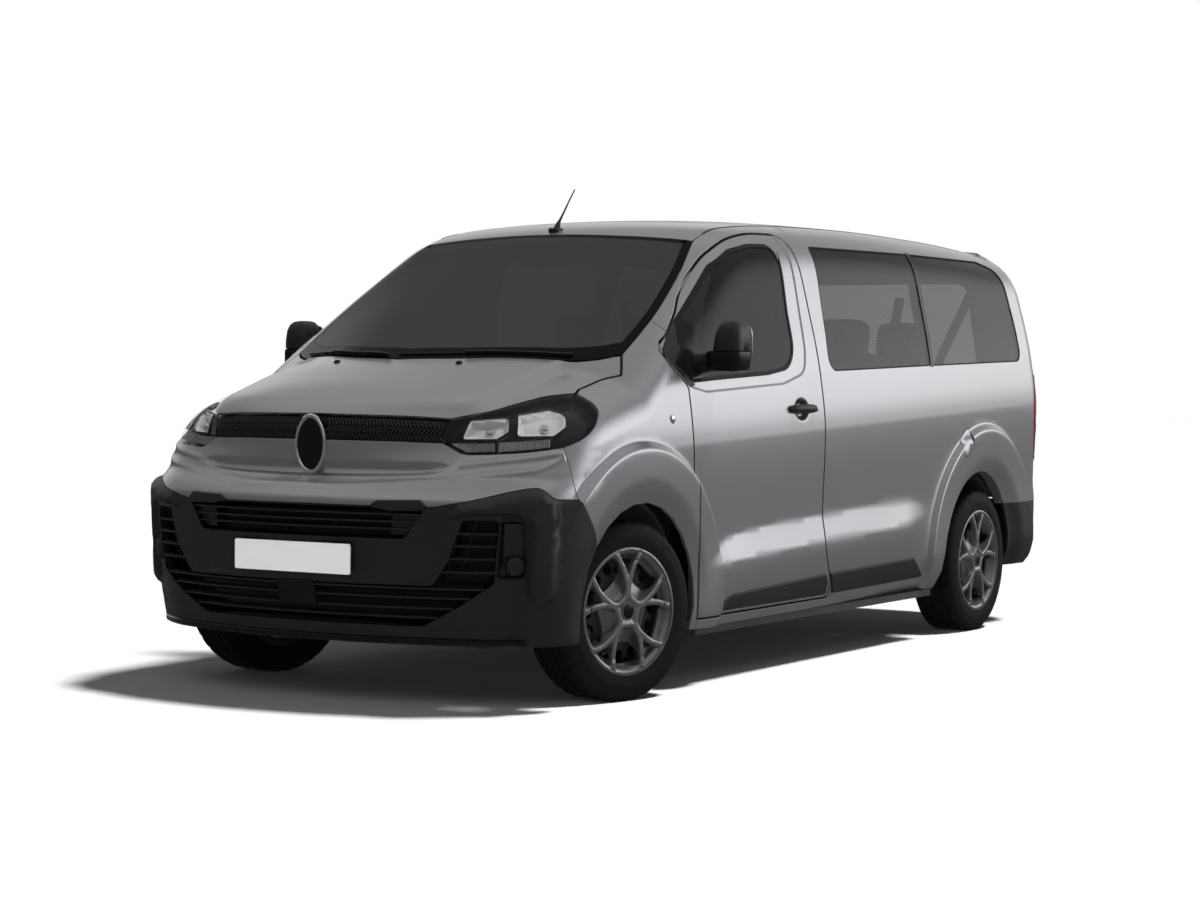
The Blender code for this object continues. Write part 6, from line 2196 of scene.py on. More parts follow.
def pillow(name, size, seams=(), look=CLOTH, crown=0.35, steps=13, dip=0.0, edge=0.30):
    """A stuffed block about its own middle: full in the face, drawn in along its seams, with a welt."""
    sx, sy, sz = (s / 2 for s in size)
    n = steps
    t = np.linspace(-1, 1, n)
    points, faces, index = [], [], {}

    def vertex(p):
        key = tuple(np.round(p, 5))
        if key not in index:
            index[key] = len(points)
            points.append(p)
        return index[key]

    for axis in range(3):
        for sign in (-1, 1):
            for i in range(n - 1):
                for j in range(n - 1):
                    quad = []
                    for a, b in ((t[i], t[j]), (t[i + 1], t[j]), (t[i + 1], t[j + 1]), (t[i], t[j + 1])):
                        p = np.zeros(3)
                        p[axis] = sign
                        p[(axis + 1) % 3], p[(axis + 2) % 3] = a, b
                        quad.append(vertex(p))
                    faces.append(quad if sign > 0 else quad[::-1])
    p = np.array(points)
    r = (np.abs(p) ** 5).sum(1) ** (1 / 5)
    round_p = p / r[:, None]
    full = 1 - crown * 0.25 * (p[:, 0] ** 2 + p[:, 1] ** 2) / 2
    q = round_p * [sx, sy, sz]
    top_side = np.clip(round_p[:, 2], 0, 1)
    q[:, 2] += sz * crown * (1 - round_p[:, 0] ** 2) * (1 - round_p[:, 1] ** 2) * top_side * 0.5 * full
    q[:, 2] -= dip * np.exp(
        -((round_p[:, 0] / 0.45) ** 2)
    ) * np.exp(-((round_p[:, 1] / 0.6) ** 2)) * top_side
    for axis, at in seams:
        near = np.exp(-(((q[:, axis] - at) / 0.007) ** 2))
        q[:, 2] -= 0.009 * near * top_side
    welt = np.exp(-(((np.abs(round_p[:, 2]) - edge) / 0.05) ** 2))
    out = np.zeros_like(q)
    out[:, :2] = round_p[:, :2]
    q += out * 0.0035 * welt[:, None]
    made = new_object(name, q, faces, look)
    crisp(made, 75)
    m = made.modifiers.new("fine", "SUBSURF")
    m.levels = 1
    m.render_levels = 1
    return made


def lay(made, at, tilt=0.0):
    """A cushion tilted and put in its place."""
    made.data.transform(Matrix.Translation(at) @ Matrix.Rotation(tilt, 4, "X"))
    return made


def one_seat(name, x0, x1, y0, parts, stand=FLOOR_TOP):
    """Cushion, back, headrest on posts and a plinth for one place."""
    mid, wide = (x0 + x1) / 2, x1 - x0 - 0.012
    lean = math.radians(72)
    pads = [
        lay(
            pillow(
                name + "_cushion", (wide, 0.52, 0.135), ((0, wide * 0.30), (0, -wide * 0.30), (1, 0.12)),
                dip=0.012
            ),
            (mid, y0 + 0.27, 0.868), math.radians(4)
        ),
        lay(
            pillow(
                name + "_back", (wide, 0.50, 0.11), ((0, wide * 0.30), (0, -wide * 0.30), (1, -0.05)),
                dip=0.010
            ),
            (mid, y0 + 0.615, 1.085), lean
        ),
        lay(
            pillow(name + "_rest", (min(wide * 0.62, 0.27), 0.19, 0.085), (), CLOTH, steps=12),
            (mid, y0 + 0.668, 1.385), math.radians(78)
        ),
    ]
    for pad in pads:
        parts.append(("pad", pad))
    for s in (-1, 1):
        parts.append(
            (
                "hard",
                sweep(
                    name + "_post",
                    [(mid + s * 0.06, y0 + 0.660, 1.27), (mid + s * 0.06, y0 + 0.668, 1.385)], 0.006,
                    CHROME, 10, up=(0, 1, 0)
                )
            )
        )
    parts.append(
        (
            "hard",
            block(
                name + "_shell", (mid - wide * 0.44, y0 + 0.045, 0.775),
                (mid + wide * 0.44, y0 + 0.52, 0.805), TRIM, 0.012
            )
        )
    )
    for s in (-1, 1):
        parts.append(
            (
                "hard",
                block(
                    name + "_leg", (mid + s * wide * 0.36 - 0.014, y0 + 0.09, stand + 0.001),
                    (mid + s * wide * 0.36 + 0.014, y0 + 0.49, 0.790), TRIM, 0.006
                )
            )
        )


for node, places, stand in (
    ("driver_seat", [(0.15, 0.65, -0.42)], FLOOR_TOP),
    ("passenger_seat", [(-0.65, -0.285, -0.42), (-0.285, 0.08, -0.42)], FLOOR_TOP),
    ("bench_row2", [(-0.70, -0.233, 0.42), (-0.233, 0.233, 0.42), (0.233, 0.70, 0.42)], FLOOR_TOP),
    ("bench_row3", [(-0.55, -0.183, 1.28), (-0.183, 0.183, 1.28), (0.183, 0.55, 1.28)], FLOOR_TOP),
):
    parts = []
    for k, (x0, x1, y0) in enumerate(places):
        one_seat(f"{node}_{k}", x0, x1, y0, parts, stand)
    soft = merged(node + "_pads", [p for kind, p in parts if kind == "pad"])
    hard = merged(node + "_frame", [p for kind, p in parts if kind == "hard"])
    place(soft, "body", node, slot="cloth", pad=0.6)
    place(hard, "body", slot="dark_plastic")

# Belts of the two back rows and the front doors' pillars
webs = []
for s in (-1, 1):
    webs.append(
        sweep(
            "belt_front", [(s * 0.76, -0.02, 1.55), (s * 0.745, -0.03, 1.30), (s * 0.74, -0.04, 0.72)],
            0.024, BELT_WEB, 8, flat=0.06, up=(0, 1, 0.01)
        )
    )
    webs.append(
        sweep(
            "belt_mid", [(s * 0.745, 1.13, 1.58), (s * 0.70, 1.12, 1.32), (s * 0.69, 1.05, 0.85)], 0.024,
            BELT_WEB, 8, flat=0.06, up=(0, 1, 0.01)
        )
    )
    webs.append(
        sweep(
            "belt_back", [(s * 0.735, 1.98, 1.62), (s * 0.60, 1.93, 1.30), (s * 0.545, 1.86, 0.92)], 0.024,
            BELT_WEB, 8, flat=0.06, up=(0, 1, 0.01)
        )
    )
place(merged("seat_belts", webs), "body", slot="cloth")

# Dashboard, with a hooded cluster, vents and a centre stack
dash_line = rounded(
    [
        (-1.10, 0.80), (-1.10, 1.135), (-1.02, 1.160, 0.03), (-0.86, 1.135, 0.04), (-0.80, 1.085, 0.02),
        (-0.785, 1.02, 0.03), (-0.80, 0.86, 0.03), (-0.90, 0.80, 0.02)
    ]
)
bits = [extrude("dash_body", dash_line, "x", -0.755, 0.755, TRIM, 0.006)]
hood_line = rounded([(-0.98, 1.12), (-0.93, 1.185, 0.03), (-0.83, 1.170, 0.02), (-0.80, 1.10)])
bits.append(extrude("dash_cluster", hood_line, "x", 0.22, 0.57, TRIM, 0.012, 3))
bits.append(block("dash_screen", (-0.12, -0.805, 1.03), (0.12, -0.786, 1.16), GLOSS, 0.006))
bits.append(block("dash_stack", (-0.11, -0.83, 0.66), (0.11, -0.785, 1.02), TRIM, 0.012))
for x in (-0.66, -0.19, 0.19, 0.66):
    bits.append(block("dash_vent", (x - 0.055, -0.795, 1.02), (x + 0.055, -0.779, 1.075), GLOSS, 0.006))
    for k in range(4):
        bits.append(
            block(
                "dash_fin", (x - 0.05, -0.785, 1.029 + k * 0.011), (x + 0.05, -0.775, 1.032 + k * 0.011),
                TRIM
            )
        )
bits.append(
    extrude(
        "column", rounded([(0.35, 0.90, 0.02), (0.43, 0.90, 0.02), (0.43, 0.97, 0.03), (0.35, 0.97, 0.03)]),
        "y", -0.86, -0.68, TRIM, 0.004
    )
)
place(merged("dash", bits), "body", "dashboard", slot="dark_plastic")

tilt = math.radians(28)
hub_at = Vector((0.39, -0.60, 0.985))
t = np.linspace(0, 2 * math.pi, 65)[:-1]
rim = sweep(
    "rim", np.stack([0.185 * np.cos(t), 0 * t, 0.185 * np.sin(t)], -1), 0.0145, TRIM, 14, closed=True,
    up=(0, 1, 0)
)
boss = extrude(
    "boss",
    rounded([(-0.075, -0.06, 0.03), (0.075, -0.06, 0.03), (0.065, 0.065, 0.03), (-0.065, 0.065, 0.03)]),
    "y", -0.045, 0.018, TRIM, 0.010, 3
)
arms = [
    sweep(
        "arm",
        [(math.cos(a) * 0.05, 0.0, math.sin(a) * 0.05), (math.cos(a) * 0.182, -0.004, math.sin(a) * 0.182)],
        0.019, TRIM, 10, flat=0.4, up=(0, 1, 0)
    ) for a in (0, math.pi, math.radians(250), math.radians(290))
]
helm = merged("helm", [rim, boss, *arms])
helm.data.transform(Matrix.Translation(hub_at) @ Matrix.Rotation(-tilt, 4, "X"))
place(helm, "body", "steering_wheel", slot="dark_plastic")

carpet = merged("cab_carpet", [
    block("mat", (-0.775, -1.09, FLOOR_TOP + 0.0005), (0.775, 1.15, FLOOR_TOP + 0.008), CARPET, 0.003),
    block("mat_rear", (-0.565, 1.15, FLOOR_TOP + 0.0005), (0.565, 2.34, FLOOR_TOP + 0.008), CARPET, 0.003),
])
place(carpet, "body", slot="cloth")
glass_mirror = merged("cab_mirror", [
    extrude(
        "inner_mirror",
        rounded([(-0.115, 1.655, 0.02), (0.115, 1.655, 0.02), (0.115, 1.715, 0.02), (-0.115, 1.715, 0.02)]),
        "y", -0.80, -0.775, TRIM, 0.006
    ),
    sweep("stalk", [(0, -0.80, 1.69), (0, -0.86, 1.735)], 0.008, TRIM, 8),
])
place(glass_mirror, "body", slot="dark_plastic")


# Mirrors, handles, claddings, lamps' trims, plate, aerial and underside


def side_plate(
    name, outline_yz, thick, look, body, right=False, sink=0.0, rim=0.002, grid=0.03, slot="dark_plastic"
):
    """A plate that lies on the body's side."""
    loop = split(np.concatenate([outline_yz, outline_yz[:1]]), 0.25)[:-1]
    return place(
        panel(name, belt, loop, [], thick, (look, look), right, sink=sink, grid=grid, rim=rim), body,
        slot=slot
    )


for name, right in (("left", False), ("right", True)):
    s = -1 if right else 1
    body = "door_" + name
    shell = loft("shell", [
        (1.233, 0.975, 1.080, -1.100, -1.035, 3), (1.238, 0.952, 1.094, -1.113, -1.022, 4), (
            1.255, 0.945, 1.0985, -1.119, -1.016, 5
        ),
        (
            1.296, 0.948, 1.0990, -1.119, -1.014, 5
        ), (1.310, 0.953, 1.0975, -1.117, -1.015, 5), (1.3135, 0.962, 1.092, -1.110, -1.020, 4),
    ], GLOSS)
    hood_cap = loft("cap", [
        (1.3120, 0.985, 1.093, -1.108, -1.020, 4), (
            1.3150, 0.978, 1.0965, -1.114, -1.015, 5
        ), (1.350, 0.983, 1.0965, -1.113, -1.014, 5),
        (
            1.390, 0.990, 1.0930, -1.110, -1.014, 4.5
        ), (1.414, 0.999, 1.0860, -1.103, -1.016, 4), (1.427, 1.012, 1.0740, -1.092, -1.022, 3.5),
        (1.4315, 1.028, 1.0580, -1.075, -1.035, 3),
    ], DARK)
    for part in (shell, hood_cap):
        part.data.transform(
            Matrix.Translation((0, -1.067, 0)) @ Matrix.Scale(1.38, 4, (0, 1, 0))
            @ Matrix.Translation((0, 1.067, 0))
        )
        if s < 0:
            part.data.transform(Matrix.Scale(-1, 4, (1, 0, 0)))
            part.data.flip_normals()
    cheek = pillow("cheek", (0.104, 0.010, 0.150), (), MIRROR_GLASS, crown=0.0, steps=12, edge=2.0)
    cheek.data.transform(Matrix.Translation((s * 1.037, -0.9935, 1.338)))
    arm = sweep(
        "arm",
        [
            (s * 0.880, -1.120, 1.258), (s * 0.925, -1.112, 1.263), (s * 0.965, -1.095, 1.270),
            (s * 0.99, -1.075, 1.274)
        ],
        [0.042, 0.040, 0.038, 0.034], GLOSS, 24, flat=0.95
    )
    foot = panel(
        "foot", belt,
        rounded(
            [
                (-1.270, 1.262, 0.01), (-1.175, 1.196, 0.02), (-1.075, 1.200, 0.03), (-1.080, 1.290, 0.04),
                (-1.190, 1.330, 0.03)
            ]
        ),
        [], 0.014, (GLOSS, GLOSS), right, sink=-0.006, grid=0.02, rim=0.006
    )
    place(
        merged("mirror_" + name + "_dressed", [shell, hood_cap, cheek, arm, foot]), body, "mirror_" + name,
        slot="dark_plastic"
    )

    y, z = HANDLE
    line = [(y - 0.120 + 0.24 * k / 12, z + 0.002) for k in range(13)]
    skin = side_of(line)
    n = slope(skin)
    lift = np.interp(np.linspace(0, 1, 13), [0, 0.12, 0.5, 0.88, 1], [-0.002, 0.010, 0.014, 0.010, -0.002])
    path = skin + n * lift[:, None]
    path[:, 0] *= s
    bar = sweep(
        "bar", path,
        np.interp(np.linspace(0, 1, 13), [0, 0.1, 0.5, 0.9, 1], [0.010, 0.017, 0.020, 0.017, 0.010]), DARK,
        16, flat=0.95, up=(1, 0, 0)
    )
    bar.name = "door_handle_" + name
    place(bar, body, slot="dark_plastic")
    lock = side_of([(y + 0.10, z)])[0]
    if not right:
        keyhole = spin(
            "door_lock_left", [(-0.004, 0.0005), (-0.004, 0.009), (0.001, 0.0085), (0.0015, 0.0005)], 20,
            CHROME, sharp=40
        )
        keyhole.data.transform(Matrix.Translation((s * (lock[0] + 0.020), lock[1], lock[2])))
        place(keyhole, body, slot="silver")
    spot = side_of([(-1.356, 1.050)])[0]
    rep = spin(
        "repeater_" + name,
        [(-0.004, 0.0005), (-0.004, 0.0175), (0.002, 0.017), (0.005, 0.012), (0.006, 0.0005)], 28, CHROME,
        sharp=50
    )
    rep.data.transform(
        Matrix.Translation((s * spot[0], spot[1], spot[2])) @ (
            Matrix.Identity(4) if s > 0 else Matrix.Rotation(math.pi, 4, "Z")
        )
    )
    place(rep, "body", slot="clear")

    clad = rounded(
        [
            (-1.052, 0.290, 0.02), (-0.862, 0.352, 0.03), (-0.036, 0.379, 0.01), (-0.004, 0.342, 0.01),
            (-0.004, 0.290, 0.005)
        ]
    )
    side_plate("cladding_door_" + name, clad, 0.004, DARK, body, right, sink=-0.007, rim=0.006)
    clad = rounded(
        [
            (0.000, 0.380, 0.005), (0.880, 0.395, 0.03), (1.031, 0.300, 0.01), (0.065, 0.290, 0.005),
            (0.040, 0.330, 0.02)
        ]
    )
    if right:
        clad = rounded(
            [(0.080, 0.383, 0.01), (0.880, 0.395, 0.03), (1.031, 0.300, 0.01), (0.080, 0.292, 0.005)]
        )
    side_plate("cladding_body_" + name, clad, 0.004, DARK, "body", right, sink=-0.007, rim=0.006)

# Handle and lower rail of the sliding door
line = [(0.145 + 0.22 * k / 12, 1.062) for k in range(13)]
skin = side_of(line)
n = slope(skin)
lift = np.interp(np.linspace(0, 1, 13), [0, 0.12, 0.5, 0.88, 1], [0.003, 0.018, 0.026, 0.018, 0.003])
path = (skin + n * lift[:, None]) * [-1, 1, 1]
place(
    sweep(
        "slider_handle", path,
        np.interp(np.linspace(0, 1, 13), [0, 0.1, 0.5, 0.9, 1], [0.008, 0.015, 0.018, 0.015, 0.008]), DARK,
        16, flat=0.55
    ),
    "body", slot="dark_plastic"
)
rail = belt(split([(1.12, 1.005), (2.30, 1.045)], 0.3))
n = slope(rail)
place(sweep("slider_rail", (rail + n * 0.001) * [-1, 1, 1], 0.0065, GLOSS, 8), "body", slot="dark_plastic")

# Roof seams and aerial
for s, name in ((1, "left"), (-1, "right")):
    line = ROOF_SIDE[3:-2]
    n = slope(line)
    place(
        sweep("roof_seam_" + name, (line + n * 0.0002) * [s, 1, 1], 0.0024, SEAL, 6, flat=0.6), "body",
        slot="rubber"
    )
foot = above(0, -0.70)[0]
spot = np.array([0, foot[1], foot[2]])
tip = spot + np.array([0, 0.150, 0.1815])
path = np.array(
    [
        spot + (0, 0.010, -0.002), spot + (0, 0.012, 0.012), spot + (0, 0.020, 0.030),
        spot + (0, 0.034, 0.046), spot + (0, 0.060, 0.076), spot + (0, 0.100, 0.124), tip
    ]
)
mast = sweep("mast", path, [0.020, 0.015, 0.0095, 0.0055, 0.0042, 0.0034, 0.0026], DARK, 18, up=(1, 0, 0))
base = pillow("mast_foot", (0.046, 0.085, 0.020), (), DARK, crown=0.0, steps=14, edge=2.0)
base.data.transform(Matrix.Translation(spot + (0, 0.012, 0.002)))
place(merged("aerial_dressed", [mast, base]), "body", "roof_aerial", slot="dark_plastic")

# Tailgate fittings
def gate_piece(name, points, thick, look, sink, rim=0.003, slot="dark_plastic"):
    loop = split(np.concatenate([points, points[:1]]), 0.2)[:-1]
    return place(
        panel(name, belt, loop, [], thick, (look, look), sink=sink, grid=0.03, rim=rim), "tailgate",
        slot=slot
    )


gate_piece(
    "rear_plate",
    rounded(
        [
            (T - 0.26, 0.905, 0.006), (T + 0.26, 0.905, 0.006), (T + 0.26, 1.015, 0.006),
            (T - 0.26, 1.015, 0.006)
        ]
    ),
    0.003, PLATE, 0.014, 0.0012, "white"
)
gate_piece(
    "gate_grip",
    rounded(
        [
            (T - 0.33, 1.065, 0.010), (T + 0.33, 1.065, 0.010), (T + 0.33, 1.108, 0.012),
            (T - 0.33, 1.108, 0.012)
        ]
    ),
    0.018, DARK, -0.009, 0.007
)
gate_piece(
    "high_brake_lamp",
    rounded(
        [
            (T - 0.15, 1.755, 0.006), (T + 0.15, 1.755, 0.006), (T + 0.15, 1.778, 0.006),
            (T - 0.15, 1.778, 0.006)
        ]
    ),
    0.006, RED, -0.003, 0.003, "red"
)
for name, right in (("left", False), ("right", True)):
    clear = rounded(
        [
            (TAIL_SIDE_U - 0.012, 0.995, 0.006), (2.335, 0.992, 0.006), (2.332, 0.935, 0.006),
            (TAIL_SIDE_U - 0.012, 0.930, 0.006)
        ]
    )
    place(
        panel(
            "reverse_lamp_" + name, belt, split(np.concatenate([clear, clear[:1]]), 0.2)[:-1][::-1], [],
            0.004, (CHROME, CHROME), right, sink=-0.0055, grid=0.02, rim=0.002
        ),
        "body", slot="clear"
    )
    refl = rounded(
        [
            (T - 0.66, 0.42, 0.008), (T - 0.52, 0.42, 0.008), (T - 0.52, 0.455, 0.008),
            (T - 0.66, 0.455, 0.008)
        ]
    )
    place(
        panel(
            "reflector_" + name, belt, split(np.concatenate([refl, refl[:1]]), 0.2)[:-1], [], 0.004,
            (RED, RED), right, sink=-0.003, grid=0.02, rim=0.002
        ),
        "body", slot="red"
    )
pivot = belt([(T, 1.165)])[0]
arm_line = belt([(T, 1.165), (T - 0.15, 1.210), (T - 0.38, 1.235)])
n = slope(arm_line)
place(merged("rear_wiper", [
    sweep("arm", arm_line + n * 0.014, [0.011, 0.008, 0.006], DARK, 10, flat=0.7),
    sweep(
        "blade", belt(split([(T - 0.20, 1.222), (T - 0.56, 1.250)], 0.3)) + [0, 0.006, 0], 0.005, SEAL, 8
    ),
    sweep("pin", [pivot, pivot + n[0] * 0.019], 0.012, DARK, 16),
]), "tailgate", slot="dark_plastic")

# Front plate
plate_mid = belt([(NOSE_U, 0.551)])[0]
plate_face = extrude(
    "front_plate",
    rounded([(-0.26, 0.496, 0.008), (0.26, 0.496, 0.008), (0.26, 0.606, 0.008), (-0.26, 0.606, 0.008)]),
    "y", plate_mid[1] - 0.0078, plate_mid[1] + 0.0012, PLATE, 0.0012
)
place(plate_face, "body", "number_plate", slot="white")

# Underside
pipe = smooth(
    [
        (-0.10, -1.25, 0.235), (-0.16, -0.80, 0.245), (-0.16, 0.60, 0.250), (-0.25, 1.00, 0.260),
        (-0.30, 1.30, 0.265), (-0.34, 1.55, 0.262)
    ],
    0.3
)
tail_pipe = smooth(
    [(-0.40, 1.92, 0.262), (-0.47, 2.10, 0.262), (-0.50, 2.34, 0.262), (-0.50, 2.44, 0.252)], 0.3
)
box_loop = [
    (math.cos(a) * 0.115 - 0.37, math.sin(a) * 0.062 + 0.268) for a in np.linspace(0, 2 * math.pi, 33)[:-1]
]
hangers = [
    block(
        "hanger", (x - 0.008, y - 0.012, 0.27), (x + 0.008, y + 0.012, FLOOR_TOP - 0.028), UNDER, 0.002
    ) for x,
    y in ((-0.16, -0.3), (-0.16, 0.7), (-0.37, 1.24), (-0.48, 2.2))
]
exhaust = merged(
    "exhaust",
    [
        sweep("pipe", pipe, 0.026, CAST, 16), sweep("tail_pipe", tail_pipe, 0.024, CAST, 16),
        extrude("silencer", box_loop, "y", 1.50, 1.95, CAST, 0.014), *hangers
    ]
)
place(exhaust, "body", slot="steel")
tank = extrude(
    "fuel_tank", rounded([(0.10, 0.26, 0.05), (0.62, 0.26, 0.05), (0.62, 0.47, 0.04), (0.10, 0.47, 0.04)]),
    "y", 0.10, 0.95, UNDER, 0.02, 3
)
straps = [
    block("strap", (0.09, y - 0.018, 0.255), (0.63, y + 0.018, 0.475), CAST, 0.003) for y in (0.28, 0.76)
]
legs = [
    block(
        "tank_post", (0.30, y - 0.02, 0.465), (0.34, y + 0.02, FLOOR_TOP - 0.028), UNDER
    ) for y in (0.28, 0.76)
]
place(merged("tank_under", [tank, *straps, *legs]), "body", slot="dark_plastic")
ribs = [
    block(
        "rib", (-0.68, y - 0.03, FLOOR_TOP - 0.058), (0.68, y + 0.03, FLOOR_TOP - 0.029), UNDER, 0.008
    ) for y in (-0.85, -0.45, -0.05, 1.02)
]
rails = [
    block(
        "long_rail", (s * 0.50 - 0.035, -1.09, FLOOR_TOP - 0.085),
        (s * 0.50 + 0.035, 1.10, FLOOR_TOP - 0.029), UNDER, 0.010
    ) for s in (-1, 1)
]
place(merged("floor_ribs", [*ribs, *rails]), "body", slot="steel")
springs = []
for s in (-1, 1):
    t = np.linspace(0, 2 * math.pi * 5, 90)
    coil = np.stack([s * 0.47 + 0.055 * np.cos(t), 1.56 + 0.055 * np.sin(t), 0.350 + 0.145 * t / t[-1]], -1)
    springs.append(sweep("coil", coil, 0.0075, CAST, 8))
place(merged("rear_springs", springs), "body", slot="steel")


# Floor, light and camera
FLOOR_HALF = 60.0
FLOOR_COLOUR = (0.80, 0.80, 0.80)
FLOOR_GLOW = 0.01
FLOOR_IN_PAINT = 0.08
FLOOR_IN_PAINT_SHARE = 0.93
AMBIENT = 0.03
BACKDROP = 1.0
SKY_IN_PAINT = 2.5
SUN_POWER = 4.4
SUN_WAY = (0.33, 0.19, 0.92)
SUN_WIDTH = math.radians(10)
FILL_AT = (3.5, -8.0, 4.5)
FILL_TARGET = (0, -1.5, 0.8)
FILL_SIZE = (5, 3)
FILL_POWER = 95
CAM_AT = Vector((5.831, -10.036, 1.243))
CAM_AZIMUTH = math.radians(30.974)
CAM_ELEVATION = math.radians(1.794)
CAM_ROLL = math.radians(0.544)
SENSOR_MM = 36.0
PHOTO_WIDTH_PX = 1200
FOCAL_PX = 2622.474

floor_corners = [
    (-FLOOR_HALF, -FLOOR_HALF, 0), (FLOOR_HALF, -FLOOR_HALF, 0), (FLOOR_HALF, FLOOR_HALF, 0),
    (-FLOOR_HALF, FLOOR_HALF, 0)
]
floor_look = look("floor_pale", FLOOR_COLOUR, 0.9, vary=0.01, grain=2)
floor = new_object("studio_floor", floor_corners, [(0, 1, 2, 3)], floor_look)
nodes, links = floor.data.materials[0].node_tree.nodes, floor.data.materials[0].node_tree.links
out = nodes["Material Output"]
path = nodes.new("ShaderNodeLightPath")
glow = nodes.new("ShaderNodeEmission")
add = nodes.new("ShaderNodeAddShader")
seen = nodes.new("ShaderNodeMath")
seen.operation = "MAXIMUM"
links.new(path.outputs["Is Camera Ray"], seen.inputs[0])
links.new(path.outputs["Is Glossy Ray"], seen.inputs[1])
seen2 = nodes.new("ShaderNodeMath")
seen2.operation = "MAXIMUM"
links.new(seen.outputs[0], seen2.inputs[0])
links.new(path.outputs["Is Transmission Ray"], seen2.inputs[1])
level = nodes.new("ShaderNodeMath")
level.operation = "MULTIPLY"
level.inputs[1].default_value = FLOOR_GLOW
links.new(seen2.outputs[0], level.inputs[0])
links.new(level.outputs[0], glow.inputs["Strength"])
links.new(nodes["Principled BSDF"].outputs[0], add.inputs[0])
links.new(glow.outputs[0], add.inputs[1])
dim = nodes.new("ShaderNodeEmission")
dim.inputs["Strength"].default_value = FLOOR_IN_PAINT
half = nodes.new("ShaderNodeMath")
half.operation = "MULTIPLY"
half.inputs[1].default_value = FLOOR_IN_PAINT_SHARE
links.new(path.outputs["Is Glossy Ray"], half.inputs[0])
floor_mix = nodes.new("ShaderNodeMixShader")
links.new(half.outputs[0], floor_mix.inputs[0])
links.new(add.outputs[0], floor_mix.inputs[1])
links.new(dim.outputs[0], floor_mix.inputs[2])
links.new(floor_mix.outputs[0], out.inputs["Surface"])

world = bpy.data.worlds.new("studio")
bpy.context.scene.world = world
world.use_nodes = True
nodes, links = world.node_tree.nodes, world.node_tree.links
back = nodes["Background"]
back.inputs["Strength"].default_value = AMBIENT
back.inputs["Color"].default_value = (1, 1, 1, 1)
white = nodes.new("ShaderNodeBackground")
white.inputs["Strength"].default_value = BACKDROP
white.inputs["Color"].default_value = (1, 1, 1, 1)
# What shiny surfaces see: a dim sky, brighter behind the vehicle and brightest beside its left side
studio = nodes.new("ShaderNodeBackground")
studio.inputs["Strength"].default_value = SKY_IN_PAINT
where = nodes.new("ShaderNodeTexCoord")
axes = nodes.new("ShaderNodeSeparateXYZ")
links.new(where.outputs["Generated"], axes.inputs["Vector"])


def sky_ramp(tones):
    """Tones of the sky by height, from level with the horizon to straight up."""
    ramp = nodes.new("ShaderNodeValToRGB")
    links.new(axes.outputs["Z"], ramp.inputs["Fac"])
    stops = ramp.color_ramp.elements
    for at, tone in tones:
        stop = stops[0] if at == 0 else stops[len(stops) - 1] if at == 1 else stops.new(at)
        stop.color = (tone, tone, tone, 1)
    return ramp


lit = sky_ramp(((0, 0.20), (0.04, 0.38), (0.09, 0.92), (0.14, 1.0), (0.46, 0.90), (0.62, 0.40), (1, 0.20)))
plain = sky_ramp(
    (
        (0, 0.045), (0.12, 0.06), (0.24, 0.12), (0.36, 0.14), (0.50, 0.11), (0.62, 0.18), (0.78, 0.23),
        (0.88, 0.19), (1, 0.14)
    )
)
rear = sky_ramp(
    (
        (0, 0.05), (0.10, 0.10), (0.18, 0.34), (0.36, 0.32), (0.48, 0.14), (0.78, 0.17), (0.88, 0.18),
        (1, 0.14)
    )
)


def toward(way, start, full, away, near):
    """One sky where a direction lies near this way, another elsewhere."""
    along = nodes.new("ShaderNodeVectorMath")
    along.operation = "DOT_PRODUCT"
    along.inputs[1].default_value = way
    links.new(where.outputs["Generated"], along.inputs[0])
    share = nodes.new("ShaderNodeMapRange")
    share.interpolation_type = "SMOOTHSTEP"
    share.inputs["From Min"].default_value = start
    share.inputs["From Max"].default_value = full
    links.new(along.outputs["Value"], share.inputs["Value"])
    both = nodes.new("ShaderNodeMix")
    both.data_type = "RGBA"
    links.new(share.outputs["Result"], both.inputs[0])
    links.new(away, both.inputs[6])
    links.new(near, both.inputs[7])
    return both.outputs[2]


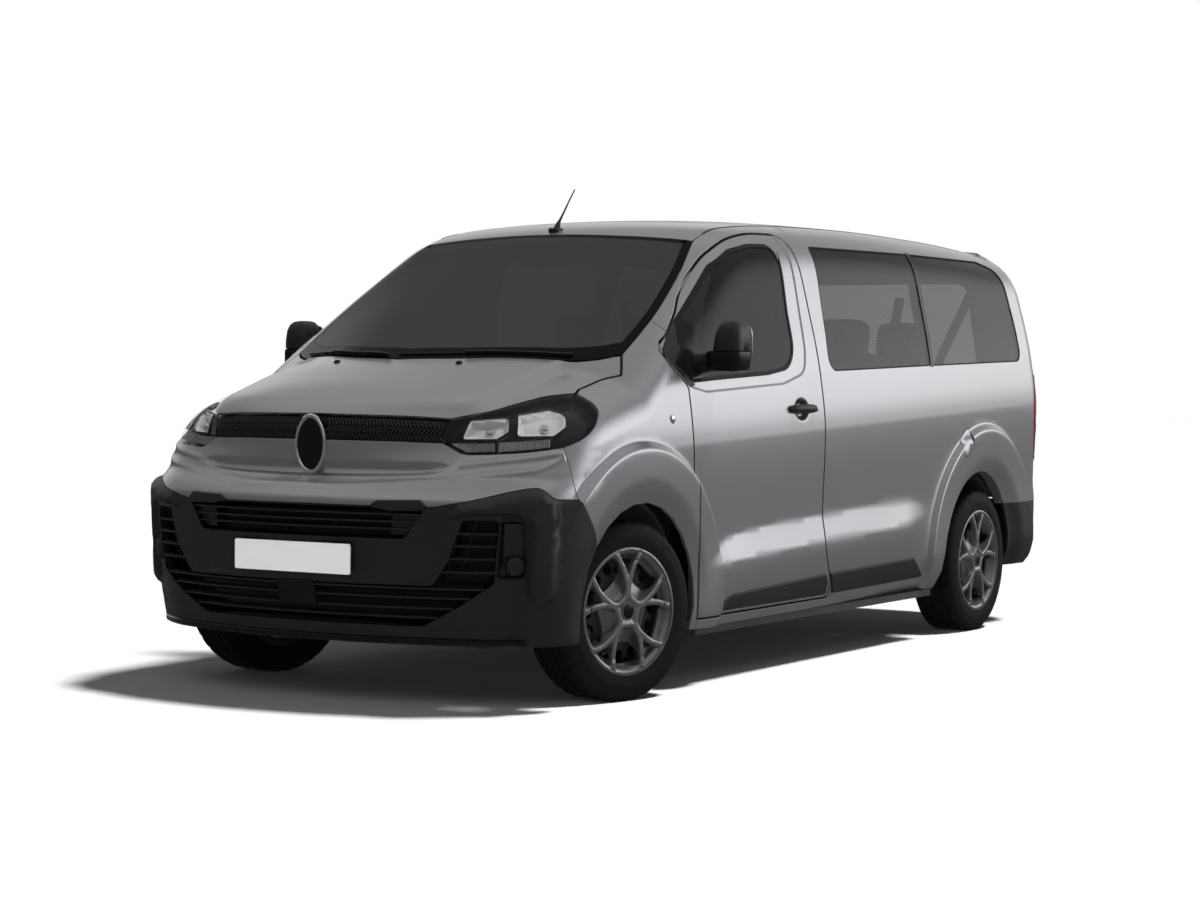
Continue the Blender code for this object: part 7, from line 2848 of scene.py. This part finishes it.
sky = toward((-0.50, 0.866, 0), 0.55, 0.90, plain.outputs["Color"], rear.outputs["Color"])
sky = toward((0.62, 0.78, 0), 0.80, 0.985, sky, lit.outputs["Color"])
links.new(sky, studio.inputs["Color"])
path = nodes.new("ShaderNodeLightPath")
seen = nodes.new("ShaderNodeMath")
seen.operation = "MAXIMUM"
links.new(path.outputs["Is Camera Ray"], seen.inputs[0])
links.new(path.outputs["Is Transmission Ray"], seen.inputs[1])
shiny = nodes.new("ShaderNodeMixShader")
links.new(path.outputs["Is Glossy Ray"], shiny.inputs[0])
links.new(back.outputs[0], shiny.inputs[1])
links.new(studio.outputs[0], shiny.inputs[2])
mix = nodes.new("ShaderNodeMixShader")
links.new(seen.outputs[0], mix.inputs[0])
links.new(shiny.outputs[0], mix.inputs[1])
links.new(white.outputs[0], mix.inputs[2])
links.new(mix.outputs[0], nodes["World Output"].inputs["Surface"])


def area_light(name, spot, target, size, power):
    """A square lamp that shiny surfaces don't mirror."""
    data = bpy.data.lights.new(name, "AREA")
    data.shape = "RECTANGLE"
    data.size, data.size_y = size
    data.energy = power
    made = bpy.data.objects.new(name, data)
    bpy.context.scene.collection.objects.link(made)
    made.visible_glossy = False
    made.location = spot
    made.rotation_euler = (Vector(target) - Vector(spot)).to_track_quat("-Z", "Y").to_euler()
    return made


sun_data = bpy.data.lights.new("key", "SUN")
sun_data.energy = SUN_POWER
sun_data.angle = SUN_WIDTH
sun = bpy.data.objects.new("key", sun_data)
sun.visible_glossy = False
bpy.context.scene.collection.objects.link(sun)
sun.rotation_euler = Vector(SUN_WAY).to_track_quat("Z", "Y").to_euler()
area_light("front_fill", FILL_AT, FILL_TARGET, FILL_SIZE, FILL_POWER)

ahead = Vector((
    -math.sin(CAM_AZIMUTH) * math.cos(CAM_ELEVATION),
    math.cos(CAM_AZIMUTH) * math.cos(CAM_ELEVATION),
    -math.sin(CAM_ELEVATION),
))
right_way = Vector((math.cos(CAM_AZIMUTH), math.sin(CAM_AZIMUTH), 0))
up_way = right_way.cross(ahead)
x_way = right_way * math.cos(CAM_ROLL) + up_way * math.sin(CAM_ROLL)
y_way = up_way * math.cos(CAM_ROLL) - right_way * math.sin(CAM_ROLL)
camera_data = bpy.data.cameras.new("camera")
camera_data.sensor_width = SENSOR_MM
camera_data.lens = FOCAL_PX * SENSOR_MM / PHOTO_WIDTH_PX
camera_data.clip_end = 200
camera = bpy.data.objects.new("camera", camera_data)
bpy.context.scene.collection.objects.link(camera)
camera.matrix_world = Matrix(
    (
        (x_way.x, y_way.x, -ahead.x, CAM_AT.x), (x_way.y, y_way.y, -ahead.y, CAM_AT.y),
        (x_way.z, y_way.z, -ahead.z, CAM_AT.z), (0, 0, 0, 1)
    )
)
bpy.context.scene.camera = camera
bpy.context.scene.view_settings.view_transform = "Standard"
